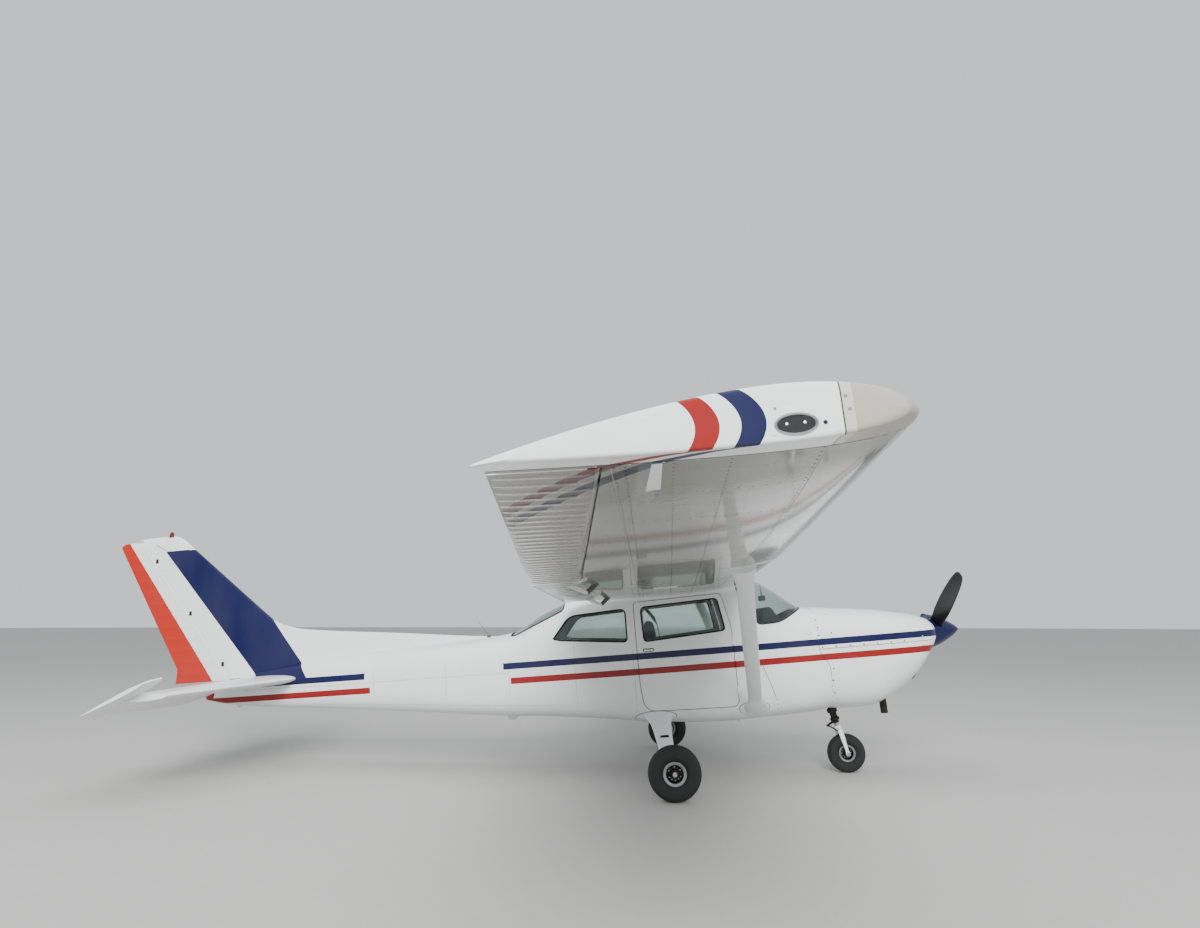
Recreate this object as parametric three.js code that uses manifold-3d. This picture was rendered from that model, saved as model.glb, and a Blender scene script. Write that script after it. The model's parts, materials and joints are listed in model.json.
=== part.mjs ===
// A four-seat light aircraft with a high braced wing, parked on its tricycle landing gear.
// Millimetres, with +X forward to the nose, +Y to port and +Z up. The origin is on the ground,
// below the middle of the whole aircraft. The airframe is drawn level, with x counted from the
// main wheels' axle and z from the ground, and then turned nose up about that axle.
import * as THREE from 'three';
import { mergeVertices } from 'three/addons/utils/BufferGeometryUtils.js';
import Module from 'manifold-3d';

const wasm = await Module();
wasm.setup();

// Stance
const PARKED_PITCH = THREE.MathUtils.degToRad(4.56);
const AXLE_Z = 210;
const MAIN_TYRE_R = 205;
const AXLE_X = 1436.65;

// Gaps: between pieces that touch, and round what moves
const SEAT = 0.3;
const CLEAR = 6;

// Fuselage and cowl sections, nose to tail
const WALL = 35;
const SKIN = 12;
const COWL_SKIN = 9;
const FIREWALL_X = 1450;
const CABIN_REAR_X = -1390;
const RING_POINTS = 24;
const SECTION = ['x', 'half', 'bottom', 'wide', 'top', 'lower', 'upper'];
const BODY = [
  [1450, 500, 465, 960, 1366, 3.2, 2.7],
  [1330, 510, 450, 960, 1374, 3.4, 2.6],
  [1200, 520, 445, 960, 1468, 3.6, 2.3],
  [1070, 530, 440, 960, 1572, 3.8, 2.3],
  [940, 540, 438, 960, 1660, 4.0, 2.6],
  [800, 548, 436, 980, 1738, 4.2, 3.4],
  [600, 555, 430, 990, 1778, 4.4, 5.0],
  [300, 558, 438, 990, 1792, 4.6, 6.0],
  [0, 556, 461, 990, 1784, 4.6, 6.0],
  [-300, 548, 490, 990, 1745, 4.4, 6.0],
  [-600, 530, 528, 990, 1680, 4.2, 5.5],
  [-840, 508, 553, 990, 1600, 4.0, 4.6],
  [-1100, 480, 578, 985, 1500, 3.8, 3.6],
  [-1390, 445, 598, 980, 1352, 3.6, 3.0],
  [-1650, 405, 621, 975, 1326, 3.4, 2.8],
  [-2200, 325, 678, 980, 1300, 3.0, 2.6],
  [-2800, 245, 742, 985, 1270, 2.8, 2.5],
  [-3400, 165, 803, 990, 1236, 2.6, 2.4],
  [-3900, 105, 848, 1000, 1192, 2.4, 2.3],
  [-4200, 66, 888, 1010, 1112, 2.2, 2.2],
  [-4450, 30, 945, 1005, 1060, 2.0, 2.0],
];
const COWL = [
  [1450, 500, 465, 960, 1366, 3.2, 2.7],
  [1600, 498, 455, 960, 1348, 3.2, 2.7],
  [1830, 486, 459, 970, 1321, 3.0, 2.7],
  [2000, 470, 520, 985, 1298, 2.8, 2.7],
  [2130, 450, 592, 1000, 1274, 2.7, 2.7],
  [2260, 424, 690, 1020, 1248, 2.6, 2.7],
  [2350, 395, 795, 1035, 1222, 2.6, 2.7],
  [2400, 370, 870, 1045, 1203, 2.6, 2.7],
  [2435, 340, 915, 1055, 1188, 2.6, 2.6],
  [2457, 300, 945, 1060, 1168, 2.5, 2.5],
];
const COWL_SPLIT_Z = 1000;
// Holes in the cowl: an air inlet's corners y, z, radius, the belly exit, and what passes through
const COWL_INLET = [[165, 1012, 25], [165, 1120, 25], [275, 1112, 30], [275, 1020, 30]];
const COWL_EXIT = { front: 1640, rear: 1440, half: 150, top: 560 };
const SHAFT_HOLE_R = 80;
const PIPE_CLEAR = 10;

// Engine, propeller and spinner
const THRUST_Z = 1065;
const ENGINE_LOW_Z = 590;
const ENGINE_BLOCKS = [
  { x: [1610, 2220], half: 305, z: [800, 1175] },
  { x: [1660, 2200], half: 400, z: [890, 1090] },
  { x: [1630, 1985], half: 240, z: [ENGINE_LOW_Z, 810] },
];
const ENGINE_MOUNT = {
  corners: [[-260, 860], [260, 860], [-260, 1120], [260, 1120]], radius: 16, converge: 0.9,
};
const CRANKSHAFT_R = 62;
const EXHAUST = { x: 1936, y: -185, low: 392, radius: 31, wall: 4 };
const SPINNER = { back: 2478, length: 300, radius: 162, wall: 4, plate: 6 };
const BLADE_SLOT = { chord: 10, thick: 12 };
const PROP = { hubRadius: 80, hubLength: 120, bladeX: 75, tilt: THREE.MathUtils.degToRad(60.9), pitch: 1346 };
const BLADE = [
  { r: 60, chord: 95, thick: 50 },
  { r: 190, chord: 112, thick: 32 },
  { r: 340, chord: 138, thick: 20 },
  { r: 520, chord: 150, thick: 14 },
  { r: 700, chord: 142, thick: 11 },
  { r: 850, chord: 118, thick: 8 },
  { r: 925, chord: 88, thick: 6 },
  { r: 952.5, chord: 52, thick: 4 },
];

// Windows and doors, as corners x, z, radius seen from the side
const DOOR_HINGE = { x: 625, y: 561, heights: [712, 1135], knuckle: 22, radius: 6 };
const BAGGAGE_HINGE = { x: -912, y: 510, heights: [800, 1090], knuckle: 22, radius: 6 };
const DOOR_LEAF = 34;
const DOOR_OUTLINE = [
  [-217, 1528, 25], [560, 1548, 25], [622, 1250, 40], [622, 578, 60], [-195, 592, 110], [-217, 900, 30],
];
const DOOR_WINDOW = [[-166, 1488, 55], [528, 1516, 40], [578, 1222, 45], [-156, 1176, 45]];
const SIDE_WINDOW = [[-292, 1486, 55], [-812, 1462, 70], [-975, 1262, 20], [-900, 1242, 30], [-292, 1186, 45]];
const BAGGAGE_DOOR = [[-915, 1190, 40], [-915, 700, 40], [-1300, 712, 40], [-1300, 1165, 40]];
const WINDSHIELD = [
  [800, 2000, 0], [800, 1672, 30], [700, 1592, 20], [752, 1403, 60], [868, 1246, 40], [1068, 1252, 60],
  [1340, 1384, 0], [1340, 2000, 0],
];
const REAR_WINDOW = [[-850, 2000, 0], [-850, 1512, 40], [-1330, 1318, 30], [-1385, 1318, 0], [-1385, 2000, 0]];
const DECK = [[770, 1242, 0], [1500, 1242, 0], [1500, 2000, 0], [770, 2000, 0]];
const GLASS_DEPTH = [5, 11];
const SILL_Z = 572;
const HEADER_Z = 1592;
const ROOF_FRONT_X = 800;
const ROOF_REAR_X = -850;

// Wing: leading edge, trailing edge and thickness at each station out from the root
const WING = [
  { y: 556, xLe: 805, zLe: 1662, xTe: -828, zTe: 1580, thick: 0.12, camber: 0.02 },
  { y: 2540, xLe: 805, zLe: 1732, xTe: -828, zTe: 1638, thick: 0.12, camber: 0.02 },
  { y: 5330, xLe: 692, zLe: 1846, xTe: -512, zTe: 1795, thick: 0.125, camber: 0.02 },
];
const TIP = [
  { out: 0, height: 1, droop: 0, front: 0, rear: 0 },
  { out: 60, height: 1.03, droop: 0.5, front: 14, rear: 8 },
  { out: 105, height: 1.07, droop: 4, front: 42, rear: 11 },
  { out: 138, height: 1.06, droop: 10, front: 66, rear: 12 },
  { out: 155, height: 0.93, droop: 17, front: 90, rear: 12 },
];
const AIRFOIL_STEPS = 10;
const BLADE_STEPS = 6;
const TAIL_SHELL = 8;
const FLAP = { inner: 606, outer: 2526, x: -505, brackets: [820, 2280] };
const AILERON = { inner: 2547, outer: 5290, xInner: -520, xOuter: -205, lugs: [2800, 3900, 5050] };
const SURFACE_END = 12;
const FLAP_PIVOT = { x: -490, drop: 95, eye: 9, round: 8 };
// Where a hanger under the wing and a flap's arm spread out on the skin, and how deep they sink in it
const HANGER_FOOT = [-390, -445];
const ARM_FOOT = [-575, -650];
const FOOT_DEPTH = 8;
const AILERON_LUG = { length: 70, half: 18 };

// Struts
const STRUT = {
  low: [765, 505, 542], high: [541, 2490, 1640], chord: 116, thick: 46, cuff: 1.6,
};

// Tail
const FIN = [
  { z: 1130, xLe: -3230, xTe: -4775, thick: 0.075 },
  { z: 1250, xLe: -3348, xTe: -4762, thick: 0.075 },
  { z: 2440, xLe: -4630, xTe: -5368, thick: 0.075 },
];
const FIN_CAP = [
  { z: 2440, xLe: -4630, xTe: -5368, thick: 0.075 },
  { z: 2520, xLe: -4712, xTe: -5408, thick: 0.072 },
  { z: 2560, xLe: -4768, xTe: -5330, thick: 0.058 },
  { z: 2584, xLe: -4830, xTe: -5110, thick: 0.040 },
];
const DORSAL = [
  [-1430, 1318, 20], [-1650, 1336, 28], [-2560, 1440, 36], [-3330, 1526, 44], [-3500, 1552, 46],
  [-3650, 1592, 48], [-3760, 1642, 50], [-3900, 1762, 50],
];
const RUDDER_HINGE = { low: [-4288, 1217], high: [-5064, 2363] };
const RUDDER_BOTTOM_Z = 1118;
const RUDDER_NOSE = { low: 36, high: 22, top: 2546 };
const FIN_LUG = { length: 70, half: 14 };
const BEACON = { x: -4876, z: 2577 };
const RUDDER_LUGS = [1300, 1835, 2360];
const STAB = [
  { y: 40, xLe: -3480, xTe: -4612, thick: 0.085 },
  { y: 220, xLe: -3510, xTe: -4606, thick: 0.085 },
  { y: 1560, xLe: -3850, xTe: -4520, thick: 0.085 },
  { y: 1660, xLe: -3880, xTe: -4500, thick: 0.080 },
  { y: 1712, xLe: -3930, xTe: -4450, thick: 0.055 },
];
const STAB_Z = 1086;
const ELEVATOR = {
  hinge: -4200, root: 78, horn: 1575, droop: THREE.MathUtils.degToRad(23), tube: 20,
  noseInner: 35.5, noseOuter: 24.5, lugs: [480, 1300],
};
const STAB_LUG = { length: 60, half: 16 };
const ELEVATOR_SLANT = [[-4245, 78], [-4650, 205]];
const TORQUE_TUBE_HALF = 90;
const LUG_HALF = 9;
const PIN_GAP = 0.8;

// Landing gear
const WHEEL_SIDES = 24;
const MAIN = { y: 1265, half: 75, rim: 78, flange: 90, axle: 18, bore: 18.5 };
const NOSE = { x: 1601, half: 60, tyre: 168, rim: 64, flange: 75, axle: 12, bore: 12.5 };
const LEG = {
  root: [-84, 380, 598], foot: [-24, 1182, 218], chordRoot: 156, chordFoot: 96, thickRoot: 50, thickFoot: 40,
};
const BRAKE = { disc: 62, thick: 7, caliper: [-118, -42], below: 45, above: 60 };
const STRUT_TOP = [1490, 560];
const STRUT_SOCKET = { half: 40, z: [500, 560] };
const NOSE_CYLINDER = {
  radius: 34, bore: 22.6, piston: 22, end: 0.43, sides: 24, collar: 46, lowerCollar: 42,
};
// The fork, with gaps beside the tyre and above it, and the torque links behind the piston
const FORK = { beside: 14, above: 16, crown: 17, stub: 18, sleeve: 30, link: 9, linkReach: 84 };

// Cabin fittings, as side outlines of corners x, z, radius
const PANEL = { x: [1015, 1060], half: 520, z: [900, 1285] };
const GLARESHIELD = [[1015, 1255, 0], [1290, 1235, 0], [1290, 1265, 0], [1015, 1292, 20]];
const HOOD = { half: 400, outline: [[920, 1268, 0], [938, 1392, 30], [1010, 1402, 40], [1085, 1262, 0]] };
const YOKE = {
  x: 800, y: 240, thick: 26, shaft: 13, shaftZ: 1085, half: 132, bar: [1092, 1112], grips: [120, 360],
};
const FRONT_SEAT = [
  [430, 800, 30], [440, 880, 40], [-20, 850, 20], [-38, 1200, 60], [-62, 1378, 38], [-142, 1378, 36],
  [-130, 800, 40],
];
const SEAT_PLACE = { y: 245, half: 205, rail: 150, railHalf: 14, x: [-60, 360], z: [480, 805] };
const BENCH = [
  [-400, 800, 30], [-395, 880, 40], [-800, 850, 20], [-900, 1290, 42], [-985, 1290, 38], [-900, 800, 40],
];
const BENCH_HALF = 425;
const BENCH_BASE = { x: [-840, -460], half: 420, z: [560, 805] };

// Aerials
const WHIP = { foot: [-1640, 0, 1300], tip: [-1741, 0, 1481], base: [-1645, 1320, 1348], baseRadius: 20 };
const KEEL = [[-1290, 640, 0], [-1500, 640, 0], [-1500, 560, 10], [-1440, 545, 10]];
const KEEL_HALF = 5;

const MATERIALS = {
  white: { color: 0xe6e9e8, roughness: 0.25, metalness: 0.0 },
  navy: { color: 0x101c4c, roughness: 0.3, metalness: 0.0 },
  red: { color: 0xb5301f, roughness: 0.3, metalness: 0.0 },
  black: { color: 0x15171a, roughness: 0.45, metalness: 0.0 },
  glass: { color: 0x9fbdb4, roughness: 0.05, metalness: 0.0, transparent: true, opacity: 0.45 },
  steel: { color: 0x8d9196, roughness: 0.35, metalness: 1.0 },
  alloy: { color: 0xb9bcc0, roughness: 0.35, metalness: 1.0 },
  iron: { color: 0x55575a, roughness: 0.6, metalness: 0.7 },
  rubber: { color: 0x17181a, roughness: 0.85, metalness: 0.0 },
  fabric: { color: 0x3a3d44, roughness: 0.9, metalness: 0.0 },
  lens: { color: 0xa01c20, roughness: 0.1, metalness: 0.0 },
};

// Geometry helpers

// Named rows out of a plain table.
function rows(columns, table) {
  return table.map((line) => Object.fromEntries(columns.map((name, i) => [name, line[i]])));
}

// A solid for cutting and joining; a mesh that was mirrored is turned right side out first.
function solid(geometry) {
  const plain = geometry.index ? geometry.toNonIndexed() : geometry.clone();
  plain.deleteAttribute('normal');
  plain.deleteAttribute('uv');
  const merged = mergeVertices(plain, 1e-4);
  const points = merged.attributes.position.array;
  const faces = Uint32Array.from(merged.index.array);
  const corner = (i) => new THREE.Vector3().fromArray(points, 3 * faces[i]);
  let volume = 0;
  for (let i = 0; i < faces.length; i += 3) {
    volume += corner(i).dot(corner(i + 1).cross(corner(i + 2)));
  }
  if (volume < 0) {
    for (let i = 0; i < faces.length; i += 3) {
      [faces[i], faces[i + 1]] = [faces[i + 1], faces[i]];
    }
  }
  const mesh = new wasm.Mesh({ numProp: 3, vertProperties: new Float32Array(points), triVerts: faces });
  return new wasm.Manifold(mesh);
}

function geometryOf(body) {
  const mesh = body.getMesh();
  const geometry = new THREE.BufferGeometry();
  geometry.setAttribute('position', new THREE.BufferAttribute(Float32Array.from(mesh.vertProperties), 3));
  geometry.setIndex(new THREE.BufferAttribute(Uint32Array.from(mesh.triVerts), 1));
  return geometry;
}

function join(first, ...others) {
  return others.reduce((sum, other) => sum.add(other), first);
}

function cut(first, ...others) {
  return others.reduce((sum, other) => sum.subtract(other), first);
}

function box(x0, x1, y0, y1, z0, z1) {
  const geometry = new THREE.BoxGeometry(x1 - x0, y1 - y0, z1 - z0);
  return solid(geometry.translate((x0 + x1) / 2, (y0 + y1) / 2, (z0 + z1) / 2));
}

// A round bar or cone from one point to another.
function rod(from, to, radius, endRadius = radius, sides = 12) {
  const start = new THREE.Vector3(...from);
  const run = new THREE.Vector3(...to).sub(start);
  const geometry = new THREE.CylinderGeometry(endRadius, radius, run.length(), sides);
  geometry.translate(0, run.length() / 2, 0);
  const turn = new THREE.Quaternion().setFromUnitVectors(new THREE.Vector3(0, 1, 0), run.clone().normalize());
  return solid(geometry.applyQuaternion(turn).translate(...from));
}

// A closed body through rings of equal length, each a flat list of points.
function loft(rings) {
  const count = rings[0].length;
  const points = rings.flat().flatMap((p) => [p.x, p.y, p.z]);
  const faces = [];
  for (let r = 0; r + 1 < rings.length; r += 1) {
    for (let i = 0; i < count; i += 1) {
      const a = r * count + i;
      const b = r * count + (i + 1) % count;
      faces.push(a, b, a + count, b, b + count, a + count);
    }
  }
  const last = (rings.length - 1) * count;
  for (const [a, b, c] of capFaces(rings[0])) faces.push(a, c, b);
  for (const [a, b, c] of capFaces(rings[rings.length - 1])) faces.push(last + a, last + b, last + c);
  const geometry = new THREE.BufferGeometry();
  geometry.setAttribute('position', new THREE.Float32BufferAttribute(points, 3));
  geometry.setIndex(faces);
  return geometry;
}

// Triangles over one flat ring, in the ring's own order of turning.
function capFaces(ring) {
  const normal = new THREE.Vector3();
  ring.forEach((p, i) => normal.add(p.clone().cross(ring[(i + 1) % ring.length])));
  normal.normalize();
  const across = ring[Math.floor(ring.length / 2)].clone().sub(ring[0]).normalize();
  const up = normal.clone().cross(across);
  const flat = ring.map((p) => new THREE.Vector2(p.dot(across), p.dot(up)));
  return THREE.ShapeUtils.triangulateShape(flat, []);
}

// A shape through corners, each rounded by its own radius.
function roundedShape(corners) {
  const shape = new THREE.Shape();
  corners.forEach(([x, z, radius], i) => {
    const here = new THREE.Vector2(x, z);
    const before = new THREE.Vector2(...corners.at(i - 1));
    const after = new THREE.Vector2(...corners[(i + 1) % corners.length]);
    const start = here.clone().add(before.sub(here).setLength(radius));
    const end = here.clone().add(after.sub(here).setLength(radius));
    if (i === 0) shape.moveTo(start.x, start.y);
    else shape.lineTo(start.x, start.y);
    if (radius > 0) shape.quadraticCurveTo(here.x, here.y, end.x, end.y);
  });
  shape.closePath();
  return shape;
}

// Corners moved outwards by a distance, or inwards by a negative one.
function grown(corners, distance) {
  const sense = Math.sign(THREE.ShapeUtils.area(corners.map(([x, z]) => new THREE.Vector2(x, z))));
  return corners.map(([x, z, radius], i) => {
    const here = new THREE.Vector2(x, z);
    const intoHere = here.clone().sub(new THREE.Vector2(...corners.at(i - 1))).normalize();
    const away = new THREE.Vector2(...corners[(i + 1) % corners.length]).sub(here).normalize();
    const outA = new THREE.Vector2(intoHere.y, -intoHere.x).multiplyScalar(sense);
    const outB = new THREE.Vector2(away.y, -away.x).multiplyScalar(sense);
    const half = outA.clone().add(outB);
    half.multiplyScalar(2 * distance / half.lengthSq());
    return [x + half.x, z + half.y, Math.max(0, radius + (radius > 0 ? distance : 0))];
  });
}

// A side outline, extruded across one side of the aircraft from y0 to y1.
function sidePrism(corners, y0, y1) {
  const geometry = new THREE.ExtrudeGeometry(roundedShape(corners), {
    depth: y1 - y0, bevelEnabled: false, curveSegments: 2,
  });
  return solid(geometry.rotateX(Math.PI / 2).translate(0, y1, 0));
}

// The same, for the side of the aircraft that a sign names.
function oneSide(corners, side, near = 60, far = 900) {
  return side > 0 ? sidePrism(corners, near, far) : sidePrism(corners, -far, -near);
}

function lathe(profile, segments = 32) {
  return new THREE.LatheGeometry(profile.map(([r, h]) => new THREE.Vector2(r, h)), segments);
}

// Fuselage sections

// One section: a squared ellipse with its own sharpness above and below its widest line.
function sectionRing(s, inset) {
  const ring = [];
  for (let i = 0; i < RING_POINTS; i += 1) {
    const angle = 2 * Math.PI * (i + 0.5) / RING_POINTS;
    const [c, n] = [Math.cos(angle), Math.sin(angle)];
    const power = 2 / (n > 0 ? s.upper : s.lower);
    const height = n > 0 ? s.top - s.wide - inset : s.wide - s.bottom - inset;
    ring.push(new THREE.Vector3(
      s.x,
      (s.half - inset) * Math.sign(c) * Math.abs(c) ** power,
      s.wide + height * Math.sign(n) * Math.abs(n) ** power,
    ));
  }
  return ring;
}

function bodyLoft(table, inset, from = Infinity, to = -Infinity) {
  const sections = rows(SECTION, table).filter((s) => s.x <= from && s.x >= to);
  return solid(loft(sections.map((s) => sectionRing(s, inset))));
}

// The space inside the skin over a stretch of its length, run on past both its ends.
function hollowLoft(table, inset, from, to, openFront, openRear) {
  const open = rows(SECTION, table).filter((s) => s.x <= from && s.x >= to);
  open[0] = { ...open[0], x: open[0].x + openFront };
  open[open.length - 1] = { ...open.at(-1), x: open.at(-1).x - openRear };
  return solid(loft(open.map((s) => sectionRing(s, inset))));
}

// The body between two depths under its skin, open at its ends.
function layer(table, outer, inner, from, to, openFront = 50, openRear = 50) {
  return cut(bodyLoft(table, outer, from, to), hollowLoft(table, inner, from, to, openFront, openRear));
}

// Aerofoil sections

// Half thickness and camber line at a share of the chord, for a four-digit section.
function aerofoil(share, thick, camber) {
  const half = 5 * thick * (0.2969 * Math.sqrt(share) - 0.126 * share - 0.3516 * share ** 2
    + 0.2843 * share ** 3 - 0.1036 * share ** 4);
  const peak = 0.4;
  const line = share < peak
    ? camber / peak ** 2 * (2 * peak * share - share ** 2)
    : camber / (1 - peak) ** 2 * (1 - 2 * peak + 2 * peak * share - share ** 2);
  return [half, line];
}

// A ring of points round a section: share of the chord and height in chords.
function aerofoilOutline(thick, camber, steps = AIRFOIL_STEPS) {
  const outline = [];
  for (let i = 0; i < 2 * steps; i += 1) {
    const share = (1 + Math.cos(Math.PI * i / steps)) / 2;
    const [half, line] = aerofoil(share, thick, camber);
    outline.push([share, i <= steps ? line + half : line - half]);
  }
  return outline;
}

// A wing section on one side, from its leading to its trailing edge.
function wingRing(s, side) {
  const chord = s.xLe - s.xTe;
  return aerofoilOutline(s.thick, s.camber ?? 0).map(([share, height]) => new THREE.Vector3(
    s.xLe - share * chord, side * s.y, (s.zLe ?? STAB_Z) + share * ((s.zTe ?? STAB_Z) - (s.zLe ?? STAB_Z))
    + height * chord,
  ));
}

// A fin section at one height.
function finRing(s) {
  const chord = s.xLe - s.xTe;
  return aerofoilOutline(s.thick, 0).map(([share, height]) => new THREE.Vector3(
    s.xLe - share * chord, height * chord, s.z,
  ));
}

// A wing station between the table's own.
function wingAt(y) {
  const i = y > WING[1].y ? 1 : 0;
  const t = (y - WING[i].y) / (WING[i + 1].y - WING[i].y);
  const mix = (key) => THREE.MathUtils.lerp(WING[i][key], WING[i + 1][key], t);
  return {
    y, xLe: mix('xLe'), zLe: mix('zLe'), xTe: mix('xTe'), zTe: mix('zTe'), thick: mix('thick'), camber: 0.02,
  };
}

// Middle height and half thickness of the wing at a place.
function wingMiddle(x, y) {
  const s = wingAt(y);
  const share = (s.xLe - x) / (s.xLe - s.xTe);
  const [half, line] = aerofoil(share, s.thick, s.camber);
  const chord = s.xLe - s.xTe;
  return { z: THREE.MathUtils.lerp(s.zLe, s.zTe, share) + line * chord, half: half * chord };
}

// The model

const model = new THREE.Group();
const airframe = new THREE.Group();
airframe.position.set(AXLE_X, 0, MAIN_TYRE_R);
airframe.rotation.y = -PARKED_PITCH;
const level = new THREE.Group();
level.position.z = -AXLE_Z;
airframe.add(level);
model.add(airframe);

const finish = Object.fromEntries(
  Object.entries(MATERIALS).map(([name, look]) => [name, new THREE.MeshStandardMaterial(look)]),
);

function piece(name, body, material, parent = level) {
  const mesh = new THREE.Mesh(geometryOf(body), finish[material]);
  mesh.name = name;
  parent.add(mesh);
  return mesh;
}

const SIDES = [['left', 1], ['right', -1]];

// One side of a door's hinge: two outer knuckles on the wall, or the middle one on the door.
function hinge({ x, y, knuckle, radius }, z, side, onWall) {
  const play = onWall ? 0 : PIN_GAP;
  return join(...(onWall ? [-1, 1] : [0]).map((place) => {
    const [z0, z1] = [z + (place - 0.5) * knuckle + play, z + (place + 0.5) * knuckle - play];
    const leafX = [x, x + (onWall ? DOOR_LEAF : -DOOR_LEAF)].sort((a, b) => a - b);
    const leafY = [side * (y - DOOR_LEAF * 0.75), side * y].sort((a, b) => a - b);
    return join(rod([x, side * y, z0], [x, side * y, z1], radius, radius, 8), box(...leafX, ...leafY, z0, z1));
  }));
}

// Cabin: floor, side walls, deck, roof, bulkheads and glass, cut from one shell

function cabin() {
  const shell = layer(BODY, 0, WALL, FIREWALL_X, CABIN_REAR_X);
  const pane = layer(BODY, ...GLASS_DEPTH, FIREWALL_X, CABIN_REAR_X);
  const windshield = sidePrism(WINDSHIELD, -900, 900);
  const rearWindow = sidePrism(REAR_WINDOW, -900, 900);
  const deck = sidePrism(DECK, -900, 900);
  const below = box(-5000, 5000, -900, 900, 0, SILL_Z);
  const roofZone = box(ROOF_REAR_X, ROOF_FRONT_X, -900, 900, HEADER_Z, 2000);

  piece('cabin_floor', shell.intersect(below), 'white');
  const roofBox = box(ROOF_REAR_X + SEAT, ROOF_FRONT_X - SEAT, -900, 900, HEADER_Z + SEAT, 2000);
  piece('cabin_roof', cut(shell.intersect(roofBox), windshield), 'white');
  const aboveSill = box(-5000, 5000, -900, 900, SILL_Z + SEAT, 2000);
  const deckShell = cut(shell.intersect(sidePrism(grown(DECK, -SEAT), -900, 900)), windshield, roofZone);
  piece('forward_deck', deckShell, 'white');

  const walls = cut(shell.intersect(aboveSill), windshield, rearWindow, deck, roofZone);
  for (const [name, side] of SIDES) {
    const half = side > 0 ? box(-5000, 5000, 0, 900, 0, 2000) : box(-5000, 5000, -900, 0, 0, 2000);
    const doorway = oneSide(grown(DOOR_OUTLINE, CLEAR), side);
    let wall = cut(walls.intersect(half), doorway, oneSide(SIDE_WINDOW, side));
    if (side > 0) {
      wall = join(
        cut(wall, oneSide(grown(BAGGAGE_DOOR, CLEAR), side)),
        ...BAGGAGE_HINGE.heights.map((z) => hinge(BAGGAGE_HINGE, z, side, true)),
      );
    }
    wall = join(wall, ...DOOR_HINGE.heights.map((z) => hinge(DOOR_HINGE, z, side, true)));
    piece(`cabin_side_${name}`, wall, 'white');
    piece(`side_window_${name}`, pane.intersect(oneSide(grown(SIDE_WINDOW, -SEAT), side)), 'glass');

    const door = cut(shell.intersect(oneSide(DOOR_OUTLINE, side)), oneSide(DOOR_WINDOW, side));
    const knuckles = DOOR_HINGE.heights.map((z) => hinge(DOOR_HINGE, z, side, false));
    piece(`cabin_door_${name}`, join(door, ...knuckles), 'white');
    piece(`door_window_${name}`, pane.intersect(oneSide(grown(DOOR_WINDOW, -SEAT), side)), 'glass');
  }
  piece('baggage_door', join(
    shell.intersect(oneSide(BAGGAGE_DOOR, 1)),
    ...BAGGAGE_HINGE.heights.map((z) => hinge(BAGGAGE_HINGE, z, 1, false)),
  ), 'white');
  piece('windshield', pane.intersect(sidePrism(grown(WINDSHIELD, -SEAT), -900, 900)), 'glass');
  piece('rear_window', pane.intersect(sidePrism(grown(REAR_WINDOW, -SEAT), -900, 900)), 'glass');

  const inside = hollowLoft(BODY, WALL + SEAT, FIREWALL_X, CABIN_REAR_X, 50, 50);
  const sheet = (x0, x1) => inside.intersect(box(x0, x1, -900, 900, 0, 2000));
  piece('firewall', sheet(FIREWALL_X - 11, FIREWALL_X - SEAT), 'steel');
  piece('baggage_bulkhead', sheet(CABIN_REAR_X + 10, CABIN_REAR_X + 22), 'white');
}

// Cowl: two shells parted at the side seam, with the air inlets beside the spinner

function cowl() {
  const sections = rows(SECTION, COWL);
  const outer = solid(loft(sections.map((s) => sectionRing(s, 0))));
  const hollow = [...sections.slice(0, -1), { ...sections.at(-1), x: sections.at(-1).x - COWL_SKIN }];
  hollow[0] = { ...hollow[0], x: hollow[0].x - 50 };
  const inner = solid(loft(hollow.map((s) => sectionRing(s, COWL_SKIN))));
  const shaftHole = rod([2300, 0, THRUST_Z], [2600, 0, THRUST_Z], SHAFT_HOLE_R);
  const inlets = SIDES.map(([, side]) => {
    const geometry = new THREE.ExtrudeGeometry(roundedShape(COWL_INLET.map(([y, z, r]) => [side * y, z, r])), {
      depth: 200, bevelEnabled: false, curveSegments: 3,
    });
    return solid(geometry.applyMatrix4(new THREE.Matrix4().set(
      0, 0, 1, 2350, 1, 0, 0, 0, 0, 1, 0, 0, 0, 0, 0, 1,
    )));
  });
  const exit = box(COWL_EXIT.rear, COWL_EXIT.front, -COWL_EXIT.half, COWL_EXIT.half, 300, COWL_EXIT.top);
  const pipeHole = rod([EXHAUST.x, EXHAUST.y, 380], [EXHAUST.x, EXHAUST.y, 640], EXHAUST.radius + PIPE_CLEAR);
  const shell = cut(outer, inner, shaftHole, exit, pipeHole, ...inlets)
    .intersect(box(FIREWALL_X + SEAT, 3000, -900, 900, 0, 2000));
  piece('cowl_upper', shell.intersect(box(0, 3000, -900, 900, COWL_SPLIT_Z + SEAT, 2000)), 'white');
  piece('cowl_lower', shell.intersect(box(0, 3000, -900, 900, 0, COWL_SPLIT_Z)), 'white');
}

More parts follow.
